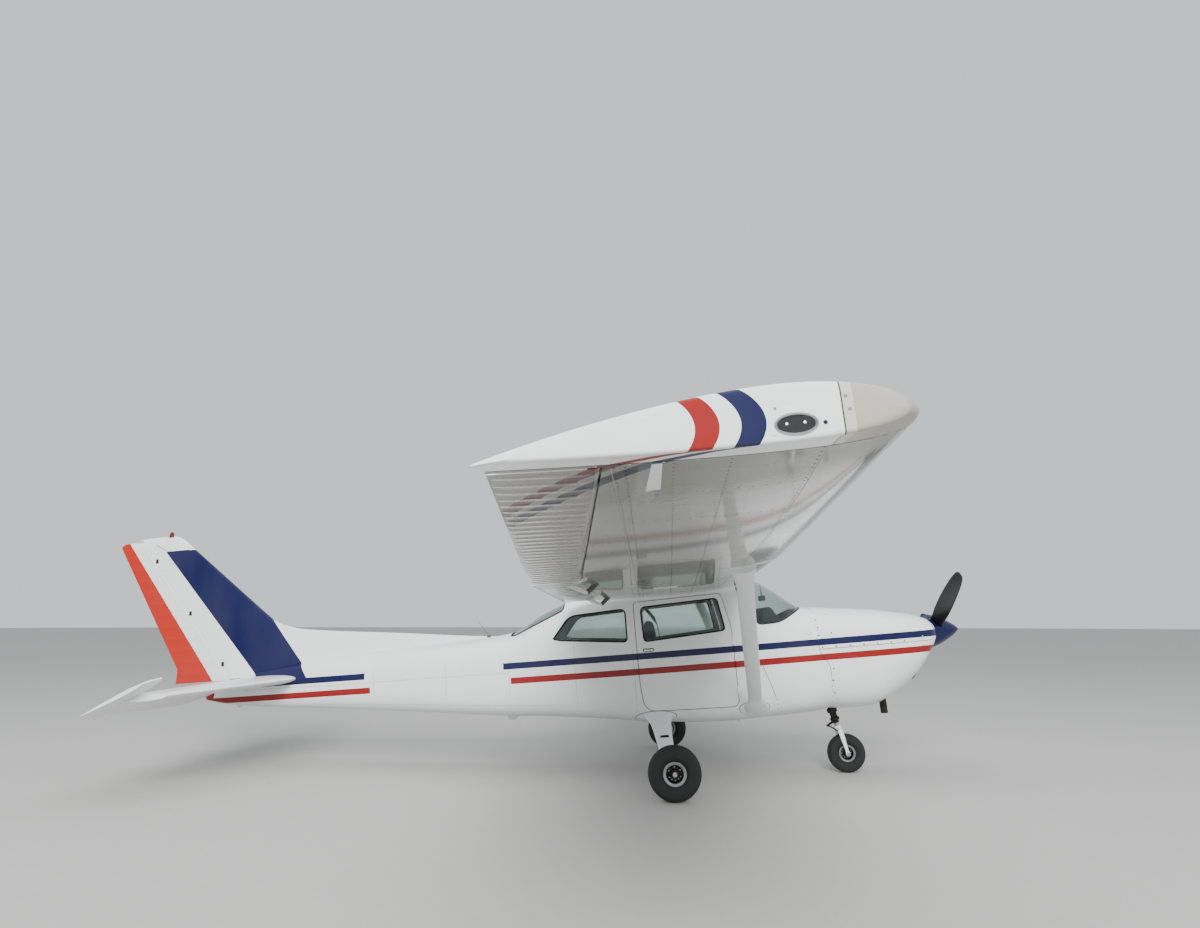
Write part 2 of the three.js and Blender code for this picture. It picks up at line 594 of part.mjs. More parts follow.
function engine() {
  const [rear, front] = ENGINE_BLOCKS[0].x;
  const block = join(
    ...ENGINE_BLOCKS.map(({ x, half, z }) => box(...x, -half, half, ...z)),
    rod([front - 30, 0, THRUST_Z], [SPINNER.back - 0.5, 0, THRUST_Z], CRANKSHAFT_R),
    ...ENGINE_MOUNT.corners.map(([y, z]) => (
      rod([FIREWALL_X - 20, y, z], [rear + 20, y * ENGINE_MOUNT.converge, z], ENGINE_MOUNT.radius)
    )),
  );
  piece('engine_block', cut(block, box(1300, FIREWALL_X, -900, 900, 0, 2000)), 'iron');
  const { x, y, low, radius, wall } = EXHAUST;
  const pipe = cut(
    rod([x, y, low], [x, y, ENGINE_LOW_Z - SEAT], radius, radius, 16),
    rod([x, y, low - 20], [x, y, ENGINE_LOW_Z - 3 * wall], radius - wall, radius - wall, 16),
  );
  piece('exhaust_pipe', pipe, 'steel');
}

// Propeller and spinner, turning together about the thrust line

function bladeRing({ r, chord, thick }, sign) {
  const out = new THREE.Vector3(0, -Math.sin(PROP.tilt), Math.cos(PROP.tilt)).multiplyScalar(sign);
  const forward = new THREE.Vector3(1, 0, 0);
  const lead = forward.clone().cross(out);
  const pitch = Math.min(Math.atan(PROP.pitch / (2 * Math.PI * r)), 0.95);
  const along = lead.clone().multiplyScalar(Math.cos(pitch)).addScaledVector(forward, Math.sin(pitch));
  const normal = forward.clone().multiplyScalar(Math.cos(pitch)).addScaledVector(lead, -Math.sin(pitch));
  const centre = new THREE.Vector3(SPINNER.back + PROP.bladeX, 0, THRUST_Z).addScaledVector(out, r);
  return aerofoilOutline(thick / chord, 0.02, BLADE_STEPS).map(([share, height]) => centre.clone()
    .addScaledVector(along, (0.4 - share) * chord).addScaledVector(normal, height * chord));
}

function propeller() {
  const { back, length, radius, wall, plate } = SPINNER;
  const profile = (inset) => [
    [0, 0], [radius - inset, 0],
    [radius * 0.87 - inset, length * 0.25], [radius * 0.55 - inset, length * 0.62],
    [Math.max(radius * 0.1 - inset, 2), length - 12 - inset], [0, length - 1.5 * inset],
  ];
  const cone = (inset, shift) => solid(lathe(profile(inset), 24).rotateX(Math.PI / 2).rotateY(Math.PI / 2)
    .translate(back + shift, 0, THRUST_Z));
  const blades = [1, -1].map((sign) => solid(loft(BLADE.map((b) => bladeRing(b, sign)))));
  const hub = join(
    cone(wall + SEAT, -0.5).intersect(box(back, back + plate, -200, 200, THRUST_Z - 200, THRUST_Z + 200)),
    rod([back + 5, 0, THRUST_Z], [back + 5 + PROP.hubLength, 0, THRUST_Z], PROP.hubRadius, PROP.hubRadius, 20),
  );
  piece('propeller', join(hub, ...blades), 'black');

  const slots = [1, -1].map((sign) => solid(loft(BLADE.slice(0, 3).map((b) => (
    bladeRing({ r: b.r, chord: b.chord + BLADE_SLOT.chord, thick: b.thick + BLADE_SLOT.thick }, sign)
  )))));
  piece('spinner', cut(cone(0, 0), cone(wall, -0.5), ...slots), 'navy');
}

// Wings: main surface, tip, flap and aileron on each side

// The part of the plan behind a line, between two distances out, for one side.
function behindLine(xInner, xOuter, inner, outer, side) {
  const plan = new THREE.Shape();
  plan.moveTo(xInner, side * inner);
  plan.lineTo(xOuter, side * outer);
  plan.lineTo(-1200, side * outer);
  plan.lineTo(-1200, side * inner);
  plan.closePath();
  return solid(new THREE.ExtrudeGeometry(plan, { depth: 1200, bevelEnabled: false }).translate(0, 0, 1200));
}

// A control surface's round nose, along its hinge line.
function surfaceNose(x0, y0, x1, y1, side, slack) {
  const [a, b] = [wingMiddle(x0, y0), wingMiddle(x1, y1)];
  return rod([x0, side * y0, a.z], [x1, side * y1, b.z], a.half + slack, b.half + slack, 24);
}

function wings() {
  for (const [name, side] of SIDES) {
    const full = solid(loft(WING.map((s) => wingRing(s, side))));
    const lane = (inner, outer, gap, flap) => {
      const at = (y) => (flap ? FLAP.x : THREE.MathUtils.mapLinear(
        y, AILERON.inner, AILERON.outer, AILERON.xInner, AILERON.xOuter,
      ));
      return {
        zone: behindLine(at(inner) + gap, at(outer) + gap, inner, outer, side),
        nose: surfaceNose(at(inner), inner, at(outer), outer, side, gap > 0 ? CLEAR : 0),
      };
    };
    const flapCut = lane(500, AILERON.inner, 2, true);
    const aileronCut = lane(AILERON.inner - SURFACE_END, AILERON.outer + SURFACE_END, 2, false);
    const main = cut(full, flapCut.zone, flapCut.nose, aileronCut.zone, aileronCut.nose);
    const hangers = FLAP.brackets.map((y) => flapBracket(y, side, true));
    const lugs = AILERON.lugs.map((y) => {
      const x = THREE.MathUtils.mapLinear(y, AILERON.inner, AILERON.outer, AILERON.xInner, AILERON.xOuter);
      const { z } = wingMiddle(x, y);
      const { length, half } = AILERON_LUG;
      const body = box(x, x + length, side * y - LUG_HALF, side * y + LUG_HALF, z - half, z + half);
      return cut(body, surfaceNose(AILERON.xInner, AILERON.inner, AILERON.xOuter, AILERON.outer, side, PIN_GAP));
    });
    piece(`wing_${name}`, join(main, ...hangers, ...lugs), 'white');

    const flap = lane(FLAP.inner, FLAP.outer, 0, true);
    const arms = FLAP.brackets.map((y) => flapBracket(y, side, false));
    piece(`flap_${name}`, join(full.intersect(flap.zone), flap.nose, ...arms), 'white');
    const aileron = lane(AILERON.inner, AILERON.outer, 0, false);
    piece(`aileron_${name}`, join(full.intersect(aileron.zone), aileron.nose), 'white');
    piece(`wing_tip_${name}`, wingTip(side), 'white');
  }
}

// A flap's hanger under the wing, or the flap's own arm beside it, meeting at the pivot.
function flapBracket(y, side, onWing) {
  const { x, drop, eye, round } = FLAP_PIVOT;
  const z = wingMiddle(x, y).z - drop;
  const feet = (onWing ? HANGER_FOOT : ARM_FOOT).map((footX) => {
    const { z: middle, half } = wingMiddle(footX, y);
    return [footX, middle - half + FOOT_DEPTH, 0];
  });
  const outline = onWing
    ? [[x - eye, z - eye, round], [x + 20, z - eye, round], ...feet, [x - eye, z + eye, round]]
    : [[x + eye, z - eye, round], [x + eye, z + eye, round], ...feet, [x - eye, z - eye, round]];
  const inner = onWing ? y - LUG_HALF : y + PIN_GAP;
  const [y0, y1] = [side * inner, side * (inner + LUG_HALF)].sort((a, b) => a - b);
  return sidePrism(outline, y0, y1);
}

// The tip: a full, blunt end whose nose sweeps back and whose lip droops a little.
function wingTip(side) {
  const end = WING.at(-1);
  const outline = aerofoilOutline(end.thick, end.camber);
  return solid(loft(TIP.map((t) => {
    const chord = end.xLe - end.xTe - t.front + t.rear;
    return outline.map(([share, height]) => {
      const [half, line] = aerofoil(share, end.thick, end.camber);
      const floor = line - half;
      return new THREE.Vector3(
        end.xLe - t.front - share * chord,
        side * (end.y + SEAT + t.out),
        THREE.MathUtils.lerp(end.zLe, end.zTe, share)
          + (floor + (height - floor) * t.height) * (end.xLe - end.xTe) - t.droop,
      );
    });
  })));
}

// Wing struts, cut to the body and the wing at their ends

function ovalRing(centre, along, chord, thick, count) {
  const forward = new THREE.Vector3(1, 0, 0);
  const across = along.clone().cross(forward).normalize();
  const face = across.clone().cross(along).normalize();
  return Array.from({ length: count }, (_, i) => {
    const angle = 2 * Math.PI * i / count;
    return centre.clone().addScaledVector(face, chord / 2 * Math.cos(angle))
      .addScaledVector(across, thick / 2 * Math.sin(angle));
  });
}

// An oval bar with its own chord and thickness at each share of its length.
function ovalBar(from, to, stations, sides = 16) {
  const start = new THREE.Vector3(...from);
  const run = new THREE.Vector3(...to).sub(start);
  const along = run.clone().normalize();
  return solid(loft(stations.map(([share, chord, thick]) => (
    ovalRing(start.clone().addScaledVector(run, share), along, chord, thick, sides)
  ))));
}

function struts() {
  const { chord, thick, cuff } = STRUT;
  const body = bodyLoft(BODY, -SEAT);
  for (const [name, side] of SIDES) {
    const low = [STRUT.low[0], side * STRUT.low[1], STRUT.low[2]];
    const high = [STRUT.high[0], side * STRUT.high[1], STRUT.high[2]];
    const bar = ovalBar(low, high, [
      [0, chord * cuff, thick * cuff], [0.045, chord * cuff, thick * cuff], [0.09, chord, thick],
      [0.9, chord, thick], [0.95, chord * 1.2, thick * 1.35], [1, chord * 1.45, thick * 1.8],
    ]);
    const wing = solid(loft(WING.map((s) => wingRing({ ...s, zLe: s.zLe - SEAT, zTe: s.zTe - SEAT }, side))));
    const above = solid(loft(WING.map((s) => wingRing({ ...s, zLe: s.zLe + 90, zTe: s.zTe + 90 }, side))));
    piece(`wing_strut_${name}`, cut(bar, body, wing, above), 'white');
  }
}

// Tail: body cone, fin with its dorsal ridge, rudder, stabiliser halves and elevator

function hingePoint(z) {
  const { low, high } = RUDDER_HINGE;
  return THREE.MathUtils.mapLinear(z, low[1], high[1], low[0], high[0]);
}

// The side view behind the rudder's hinge line, moved by a gap.
function behindHinge(gap) {
  const outline = [
    [hingePoint(900) + gap, 900, 0], [hingePoint(2900) + gap, 2900, 0], [-6500, 2900, 0], [-6500, 900, 0],
  ];
  return sidePrism(outline, -300, 300);
}

// The ridge that runs forward from the fin along the body's back.
function dorsalRidge(grow) {
  return solid(loft(DORSAL.map(([x, top, half]) => {
    const side = [[half, 1150], [half, 1230], [16, top - 30], [10, top - 6]];
    return [
      ...side.map(([y, z]) => new THREE.Vector3(x, y + grow, z + grow)), new THREE.Vector3(x, 0, top + grow),
      ...side.reverse().map(([y, z]) => new THREE.Vector3(x, -y - grow, z + grow)),
    ];
  })));
}

function fin() {
  const blade = join(solid(loft(FIN.map(finRing))), solid(loft(FIN_CAP.map(finRing))));
  const [bottom, top] = [RUDDER_BOTTOM_Z, RUDDER_NOSE.top];
  const radius = (z) => THREE.MathUtils.mapLinear(
    z, RUDDER_HINGE.low[1], RUDDER_HINGE.high[1], RUDDER_NOSE.low, RUDDER_NOSE.high,
  );
  const nose = (slack) => {
    const [low, high] = [bottom - 2 * slack, top + 2 * slack];
    const ends = [low, high].map((z) => [hingePoint(z), 0, z]);
    return rod(...ends, radius(low) + slack, radius(high) + slack, 24);
  };
  const lugs = join(...RUDDER_LUGS.map((z) => (
    box(hingePoint(z), hingePoint(z) + FIN_LUG.length, -FIN_LUG.half, FIN_LUG.half, z - LUG_HALF, z + LUG_HALF)
  )));
  const rudderZone = behindHinge(0);
  const rudderBox = box(-6500, 0, -400, 400, RUDDER_BOTTOM_Z, 2700);
  const rudder = join(blade.intersect(rudderZone), nose(0)).intersect(rudderBox);
  piece('rudder', rudder, 'red');

  const shell = solid(loft(FIN.map((s) => finRing({
    ...s, xLe: s.xLe - 3 * TAIL_SHELL, thick: s.thick - 2 * TAIL_SHELL / (s.xLe - s.xTe),
  }))));
  const hollow = cut(shell, behindHinge(RUDDER_NOSE.low + CLEAR + TAIL_SHELL));
  const fixed = cut(join(blade, dorsalRidge(0)), behindHinge(4), nose(CLEAR), hollow, bodyLoft(BODY, -SEAT));
  return join(fixed, cut(lugs, nose(PIN_GAP)));
}

function elevatorTurn(body) {
  const geometry = geometryOf(body).translate(-ELEVATOR.hinge, 0, -STAB_Z);
  return solid(geometry.rotateY(-ELEVATOR.droop).translate(ELEVATOR.hinge, 0, STAB_Z));
}

function tail() {
  const skin = layer(BODY, 0, SKIN, -1390, -4450, 50, -60);
  const tube = rod([ELEVATOR.hinge, -200, STAB_Z], [ELEVATOR.hinge, 200, STAB_Z], ELEVATOR.tube + CLEAR);
  const finBody = fin();
  const elevators = [];
  const stabs = [];
  for (const [, side] of SIDES) {
    const full = solid(loft(STAB.map((s) => wingRing(s, side))));
    const [y0, y1] = side > 0 ? [0, 2000] : [-2000, 0];
    const behind = (x) => box(-5200, x, y0, y1, 800, 1400);
    const horn = (gap) => {
      const [h0, h1] = side > 0 ? [ELEVATOR.horn - gap, 2000] : [-2000, -ELEVATOR.horn + gap];
      return box(-5200, -3700, h0, h1, 800, 1400);
    };
    const nose = (slack) => rod(
      [ELEVATOR.hinge, side * (ELEVATOR.root - slack), STAB_Z], [ELEVATOR.hinge, side * 1690, STAB_Z],
      ELEVATOR.noseInner + slack, ELEVATOR.noseOuter + slack, 24,
    );
    const lugs = join(...ELEVATOR.lugs.map((y) => {
      const [l0, l1] = [side * y - LUG_HALF, side * y + LUG_HALF];
      const { length, half } = STAB_LUG;
      return box(ELEVATOR.hinge, ELEVATOR.hinge + length, l0, l1, STAB_Z - half, STAB_Z + half);
    }));
    const shell = solid(loft(STAB.slice(0, 3).map((s) => wingRing({
      ...s, y: s.y - 20, xLe: s.xLe - 2 * TAIL_SHELL, thick: s.thick - 2 * TAIL_SHELL / (s.xLe - s.xTe),
    }, side))));
    const spar = ELEVATOR.hinge + ELEVATOR.noseInner + CLEAR + TAIL_SHELL;
    const hollow = cut(shell, behind(spar), horn(CLEAR + TAIL_SHELL));
    const fixed = cut(full, behind(ELEVATOR.hinge + 3), nose(CLEAR), horn(CLEAR), hollow, tube);
    stabs.push(join(fixed, cut(lugs, nose(PIN_GAP))));
    // The inner end slants away from the rudder.
    const slant = new THREE.Shape();
    const [[slantX, slantY], [endX, endY]] = ELEVATOR_SLANT;
    slant.moveTo(-3700, side * ELEVATOR.root);
    slant.lineTo(slantX, side * slantY);
    slant.lineTo(endX, side * endY);
    slant.lineTo(-5200, side * endY);
    slant.lineTo(-5200, side * 2000);
    slant.lineTo(-3700, side * 2000);
    const prism = new THREE.ExtrudeGeometry(slant, { depth: 600, bevelEnabled: false });
    const keep = solid(prism.translate(0, 0, 800));
    const moving = join(full.intersect(behind(ELEVATOR.hinge)), full.intersect(horn(0)), nose(0));
    elevators.push(elevatorTurn(moving.intersect(keep)));
  }
  const torque = rod(
    [ELEVATOR.hinge, -TORQUE_TUBE_HALF, STAB_Z], [ELEVATOR.hinge, TORQUE_TUBE_HALF, STAB_Z], ELEVATOR.tube,
  );
  piece('elevator', join(...elevators, torque), 'white');

  const cone = bodyLoft(BODY, -SEAT);
  SIDES.forEach(([name], i) => piece(`stabiliser_${name}`, cut(stabs[i], cone), 'white'));
  const slot = box(-4240, -4160, -200, 200, STAB_Z - 26, STAB_Z + 26);
  piece('tail_cone', cut(skin, tube, slot), 'white');
  piece('fin', cut(finBody, ...SIDES.map(([, side]) => (
    solid(loft(STAB.map((s) => wingRing({ ...s, y: s.y - 40, thick: s.thick + 0.001 }, side))))
  ))), 'white');
  const beacon = lathe([[0, 0], [26, 0], [26, 16], [21, 18], [21, 38], [14, 52], [0, 58]], 12);
  const lamp = solid(beacon.rotateX(Math.PI / 2).translate(BEACON.x, 0, BEACON.z));
  piece('beacon', cut(lamp, solid(loft(FIN_CAP.map((s) => finRing({ ...s, z: s.z + SEAT }))))), 'lens');
}

// Landing gear

function tyreProfile(outer, size) {
  const { rim, flange, half } = size;
  const wall = outer - flange;
  const side = [
    [rim, half * 0.6], [flange + 2, half * 0.6],
    [flange + wall * 0.14, half * 0.88], [flange + wall * 0.42, half],
    [flange + wall * 0.7, half * 0.9], [outer - 10, half * 0.6], [outer, half * 0.2],
  ];
  return [...side, ...side.map(([r, h]) => [r, -h]).reverse(), side[0]];
}

function rimProfile(size) {
  const { rim, flange, half } = size;
  const lip = half * 0.6 + SEAT;
  const side = [
    [size.bore, half * 0.62], [size.bore + 16, half * 0.62], [size.bore + 19, half * 0.25],
    [rim - 13, half * 0.25], [flange, lip + 6], [flange, lip], [rim - SEAT, lip],
  ];
  return [...side, ...side.map(([r, h]) => [r, -h]).reverse(), side[0]];
}

// A rim and its tyre, turned so that a flat side is at the very bottom, at the rolling radius.
function wheel(label, centre, rolling, size) {
  const halfStep = Math.PI / WHEEL_SIDES;
  const outer = rolling / Math.cos(halfStep);
  const place = (geometry) => solid(geometry.rotateY(PARKED_PITCH + halfStep).translate(...centre));
  piece(`${label}_rim`, place(lathe(rimProfile(size), WHEEL_SIDES)), 'alloy');
  piece(`${label}_tyre`, place(lathe(tyreProfile(outer, size), WHEEL_SIDES)), 'rubber');
}

function mainGear() {
  const body = bodyLoft(BODY, -SEAT);
  for (const [name, side] of SIDES) {
    const root = [LEG.root[0], side * LEG.root[1], LEG.root[2]];
    const foot = [LEG.foot[0], side * LEG.foot[1], LEG.foot[2]];
    const leg = ovalBar(root, foot, [
      [0, LEG.chordRoot * 1.6, LEG.thickRoot * 1.8], [0.22, LEG.chordRoot * 1.5, LEG.thickRoot * 1.5],
      [0.29, LEG.chordRoot, LEG.thickRoot], [1, LEG.chordFoot, LEG.thickFoot],
    ]);
    const inboard = side * (MAIN.y - MAIN.half);
    const yCut = [side * (MAIN.y - MAIN.half - 14), side * 1400].sort((a, b) => a - b);
    piece(`main_leg_${name}`, cut(leg, body, box(-300, 300, ...yCut, 0, 700)), 'white');
    const axleFrom = inboard - side * (14 - SEAT);
    const discTo = axleFrom + side * BRAKE.thick;
    const caliperY = [axleFrom, discTo].sort((a, b) => a - b);
    const axle = join(
      rod([0, axleFrom, AXLE_Z], [0, side * (MAIN.y + 62), AXLE_Z], MAIN.axle),
      rod([0, axleFrom, AXLE_Z], [0, discTo, AXLE_Z], BRAKE.disc, BRAKE.disc, 28),
      box(...BRAKE.caliper, ...caliperY, AXLE_Z - BRAKE.below, AXLE_Z + BRAKE.above),
    );
    piece(`main_axle_${name}`, axle, 'steel');
    wheel(`main_${name}`, [0, side * MAIN.y, AXLE_Z], MAIN_TYRE_R, MAIN);
  }
}

// Where a point on the parked aircraft lies in the level drawing.
function levelPoint(x, z) {
  const p = new THREE.Vector2(x, z - MAIN_TYRE_R).rotateAround(new THREE.Vector2(), -PARKED_PITCH);
  return [p.x, p.y + AXLE_Z];
}

function noseGear() {
  const [axleX, axleZ] = levelPoint(NOSE.x, NOSE.tyre);
  const top = new THREE.Vector3(STRUT_TOP[0], 0, STRUT_TOP[1]);
  const foot = new THREE.Vector3(axleX, 0, axleZ);
  const run = foot.clone().sub(top);
  const at = (share, back = 0, y = 0) => {
    const aft = new THREE.Vector3(run.z, 0, -run.x).normalize();
    return top.clone().addScaledVector(run, share).addScaledVector(aft, back).setY(y).toArray();
  };
  const { radius, bore, piston, end, sides, collar, lowerCollar } = NOSE_CYLINDER;
  const cylinder = cut(
    join(
      rod(at(-0.02), at(end), radius),
      rod(at(0.24), at(0.3), collar), rod(at(end - 0.04), at(end), lowerCollar),
      box(FIREWALL_X, STRUT_TOP[0], -STRUT_SOCKET.half, STRUT_SOCKET.half, ...STRUT_SOCKET.z),
    ),
    rod(at(0.3), at(end + 0.1), bore, bore, sides),
    bodyLoft(BODY, -SEAT),
  );
  piece('nose_strut', cylinder, 'white');

  const length = run.length();
  const crown = 1 - (NOSE.tyre + FORK.above) / length;
  const legY = NOSE.half + FORK.beside;
  const elbow = at(end + 0.06, FORK.linkReach);
  const parts = [
    rod(at(0.34), at(crown), piston, piston, sides),
    rod(at(crown - 0.055, 0, -legY - 9), at(crown - 0.055, 0, legY + 9), FORK.crown),
    rod(at(1, 0, -legY - FORK.stub), at(1, 0, legY + FORK.stub), NOSE.axle),
    rod(at(end + PIN_GAP / length), at(end + 0.05), FORK.sleeve),
    rod(at(end + 0.025, 18), elbow, FORK.link, FORK.link, 8),
    rod(elbow, at(crown - 0.05, 14), FORK.link, FORK.link, 8),
  ];
  for (const y of [-legY, legY]) {
    parts.push(ovalBar(at(crown - 0.07, 0, y), at(1.03, 0, y), [[0, 40, 16], [1, 34, 14]], 12));
  }
  piece('nose_fork', join(...parts), 'white');
  wheel('nose', [axleX, 0, axleZ], NOSE.tyre, NOSE);
}

// Cabin fittings

function cabinFittings() {
  const inside = bodyLoft(BODY, WALL + SEAT, FIREWALL_X, CABIN_REAR_X);
  const near = YOKE.x + YOKE.thick;
  const panel = join(
    box(...PANEL.x, -PANEL.half, PANEL.half, ...PANEL.z),
    sidePrism(GLARESHIELD, -PANEL.half, PANEL.half),
    sidePrism(HOOD.outline, -HOOD.half, HOOD.half),
    ...[-YOKE.y, YOKE.y].flatMap((y) => [
      rod([near - 6, y, YOKE.shaftZ], [PANEL.x[0] + 5, y, YOKE.shaftZ], YOKE.shaft, YOKE.shaft, 8),
      box(YOKE.x, near, y - YOKE.half, y + YOKE.half, ...YOKE.bar),
      box(YOKE.x, near, y - 18, y + 18, YOKE.shaftZ - 17, YOKE.shaftZ + 15),
    ]),
    ...SIDES.flatMap(([, side]) => YOKE.grips.map((y) => (
      box(YOKE.x, near, side * y - 12, side * y + 12, YOKE.bar[0] - 47, YOKE.bar[0] + 8)
    ))),
  );
  piece('instrument_panel', panel.intersect(inside), 'black');

  for (const [name, side] of SIDES) {
    const { half, rail, railHalf, x, z } = SEAT_PLACE;
    const y = side * SEAT_PLACE.y;
    const cushion = sidePrism(FRONT_SEAT, y - half, y + half);
    const legs = [y - rail, y + rail].map((railY) => box(...x, railY - railHalf, railY + railHalf, ...z));
    piece(`front_seat_${name}`, join(cushion, ...legs).intersect(inside), 'fabric');
  }
  const bench = sidePrism(BENCH, -BENCH_HALF, BENCH_HALF);
  const benchBase = box(...BENCH_BASE.x, -BENCH_BASE.half, BENCH_BASE.half, ...BENCH_BASE.z);
  piece('rear_bench', join(bench, benchBase).intersect(inside), 'fabric');
}

// Aerials on the tail cone's back and belly

function aerials() {
  const body = bodyLoft(BODY, -SEAT);
  const [baseX, baseLow, baseHigh] = WHIP.base;
  const whip = join(
    ovalBar(WHIP.foot, WHIP.tip, [[0, 46, 12], [0.4, 22, 8], [1, 12, 5]], 10),
    rod([baseX, 0, baseLow], [baseX, 0, baseHigh], WHIP.baseRadius),
  );
  const keel = sidePrism(KEEL, -KEEL_HALF, KEEL_HALF);
  piece('whip_aerial', cut(whip, body, dorsalRidge(SEAT)), 'white');
  piece('belly_aerial', cut(keel, body), 'white');
}

cabin();
cowl();
engine();
propeller();
wings();
struts();
tail();
mainGear();
noseGear();
cabinFittings();
aerials();

export default model;
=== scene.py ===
"""Finished look of a parked four-seat light aircraft with a high braced wing.

Pieces are drawn level and in millimetres, as the airframe is: x forward from the main wheels' axle,
y to port, z up from the ground. `deliver` then parks each one, nose up about that axle, in metres.
"""

import json
import logging
import math
from collections.abc import Callable, Iterator, Sequence
from contextlib import contextmanager
from dataclasses import dataclass, field
from enum import Enum

import bpy
import numpy as np
from mathutils import Matrix, Vector

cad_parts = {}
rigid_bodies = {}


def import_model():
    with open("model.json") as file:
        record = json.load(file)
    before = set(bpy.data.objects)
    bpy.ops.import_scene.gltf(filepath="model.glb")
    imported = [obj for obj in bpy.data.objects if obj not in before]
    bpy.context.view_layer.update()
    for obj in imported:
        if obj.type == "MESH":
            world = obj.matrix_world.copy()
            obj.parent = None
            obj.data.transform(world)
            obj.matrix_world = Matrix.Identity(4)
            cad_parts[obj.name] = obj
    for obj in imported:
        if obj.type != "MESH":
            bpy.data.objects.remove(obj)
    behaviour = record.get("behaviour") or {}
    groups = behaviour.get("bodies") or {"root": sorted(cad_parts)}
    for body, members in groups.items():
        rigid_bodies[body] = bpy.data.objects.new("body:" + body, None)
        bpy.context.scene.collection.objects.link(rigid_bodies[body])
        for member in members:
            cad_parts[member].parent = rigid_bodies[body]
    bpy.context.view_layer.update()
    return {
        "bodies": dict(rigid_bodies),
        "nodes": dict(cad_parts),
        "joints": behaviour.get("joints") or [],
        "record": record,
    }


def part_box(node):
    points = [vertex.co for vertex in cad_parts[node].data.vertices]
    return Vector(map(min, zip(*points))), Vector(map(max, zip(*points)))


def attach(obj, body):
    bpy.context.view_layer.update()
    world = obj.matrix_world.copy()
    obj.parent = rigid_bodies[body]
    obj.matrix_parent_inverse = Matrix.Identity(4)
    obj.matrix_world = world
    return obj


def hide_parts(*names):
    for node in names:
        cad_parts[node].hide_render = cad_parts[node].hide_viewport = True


LOG = logging.getLogger("light_aircraft")

Object = bpy.types.Object
Socket = bpy.types.NodeSocket
Corner = tuple[float, float, float]
Spot = tuple[Vector, Vector]

MM = 0.001
PARKED_PITCH = math.radians(4.56)
AXLE_X = 1436.65
AXLE_Z = 210.0
MAIN_TYRE_R = 205.0
PARK = (
    Matrix.Scale(MM, 4)
    @ Matrix.Translation((AXLE_X, 0, MAIN_TYRE_R))
    @ Matrix.Rotation(-PARKED_PITCH, 4, "Y")
    @ Matrix.Translation((0, 0, -AXLE_Z))
)
SIDES = {"left": 1, "right": -1}


# Workshop: selecting, drawing, cutting and joining


def only(*pieces: Object) -> None:
    """Selects these pieces alone, with the first one active.

    Args:
        pieces: what the next operator acts on.
    """
    if bpy.context.mode != "OBJECT":
        bpy.ops.object.mode_set(mode="OBJECT")
    bpy.ops.object.select_all(action="DESELECT")
    for piece in pieces:
        piece.select_set(True)
    bpy.context.view_layer.objects.active = pieces[0]


@contextmanager
def editing(piece: Object, select: str = "SELECT") -> Iterator[None]:
    """Opens a piece in edit mode for the lines inside.

    Args:
        piece: the piece to edit.
        select: what is selected first, SELECT for all of it or DESELECT for none.

    Yields:
        Nothing; edit mode ends with the block.
    """
    only(piece)
    bpy.ops.object.mode_set(mode="EDIT")
    bpy.ops.mesh.select_all(action=select)
    yield
    bpy.ops.object.mode_set(mode="OBJECT")


def wrap(name: str, rings: Sequence[Sequence[Vector]], ends: bool = True, around: bool = True) -> Object:
    """Lays a grid over rings of equal length, as a skin is laid over frames.

    Args:
        name: the new piece's name.
        rings: the points of each ring, ring after ring.
        ends: True closes the first and last ring with a face.
        around: True joins each ring's last point to its first.

    Returns:
        The piece, with its faces pointing out.
    """
    columns = len(rings[0])
    width = columns + 1 if around else columns
    bpy.ops.mesh.primitive_grid_add(x_subdivisions=width - 1, y_subdivisions=len(rings) - 1)
    piece = bpy.context.object
    piece.name = piece.data.name = name
    points = [axis for ring in rings for i in range(width) for axis in ring[i % columns]]
    piece.data.vertices.foreach_set("co", points)
    with editing(piece):
        bpy.ops.mesh.remove_doubles(threshold=0.01)
        if ends:
            bpy.ops.mesh.fill_holes(sides=0)
        bpy.ops.mesh.select_all(action="SELECT")
        bpy.ops.mesh.normals_make_consistent(inside=False)
    return piece


def prism(name: str, outline: Sequence[Vector], along: Sequence[float]) -> Object:
    """Extrudes a flat outline into a solid.

    Args:
        name: the new piece's name.
        outline: the flat outline's points, in order.
        along: how far and where to it is extruded.

    Returns:
        The solid.
    """
    bpy.ops.mesh.primitive_circle_add(vertices=len(outline), fill_type="NGON")
    piece = bpy.context.object
    piece.name = piece.data.name = name
    piece.data.vertices.foreach_set("co", [axis for point in outline for axis in point])
    with editing(piece):
        bpy.ops.mesh.extrude_region_move(TRANSFORM_OT_translate={"value": tuple(along)})
        bpy.ops.mesh.select_all(action="SELECT")
        bpy.ops.mesh.normals_make_consistent(inside=False)
    return piece


def block(name: str, low: Sequence[float], high: Sequence[float], bevel: float = 0.0) -> Object:
    """Adds a box between two corners, with its edges rounded where asked.

    Args:
        name: the new piece's name.
        low: the lowest corner.
        high: the highest corner.
        bevel: the radius of its edges.

    Returns:
        The box.
    """
    low, high = Vector(low), Vector(high)
    bpy.ops.mesh.primitive_cube_add(size=1, location=(low + high) / 2, scale=high - low)
    piece = bpy.context.object
    piece.name = piece.data.name = name
    bpy.ops.object.transform_apply(location=True, rotation=True, scale=True)
    return rounded_edges(piece, bevel) if bevel else piece


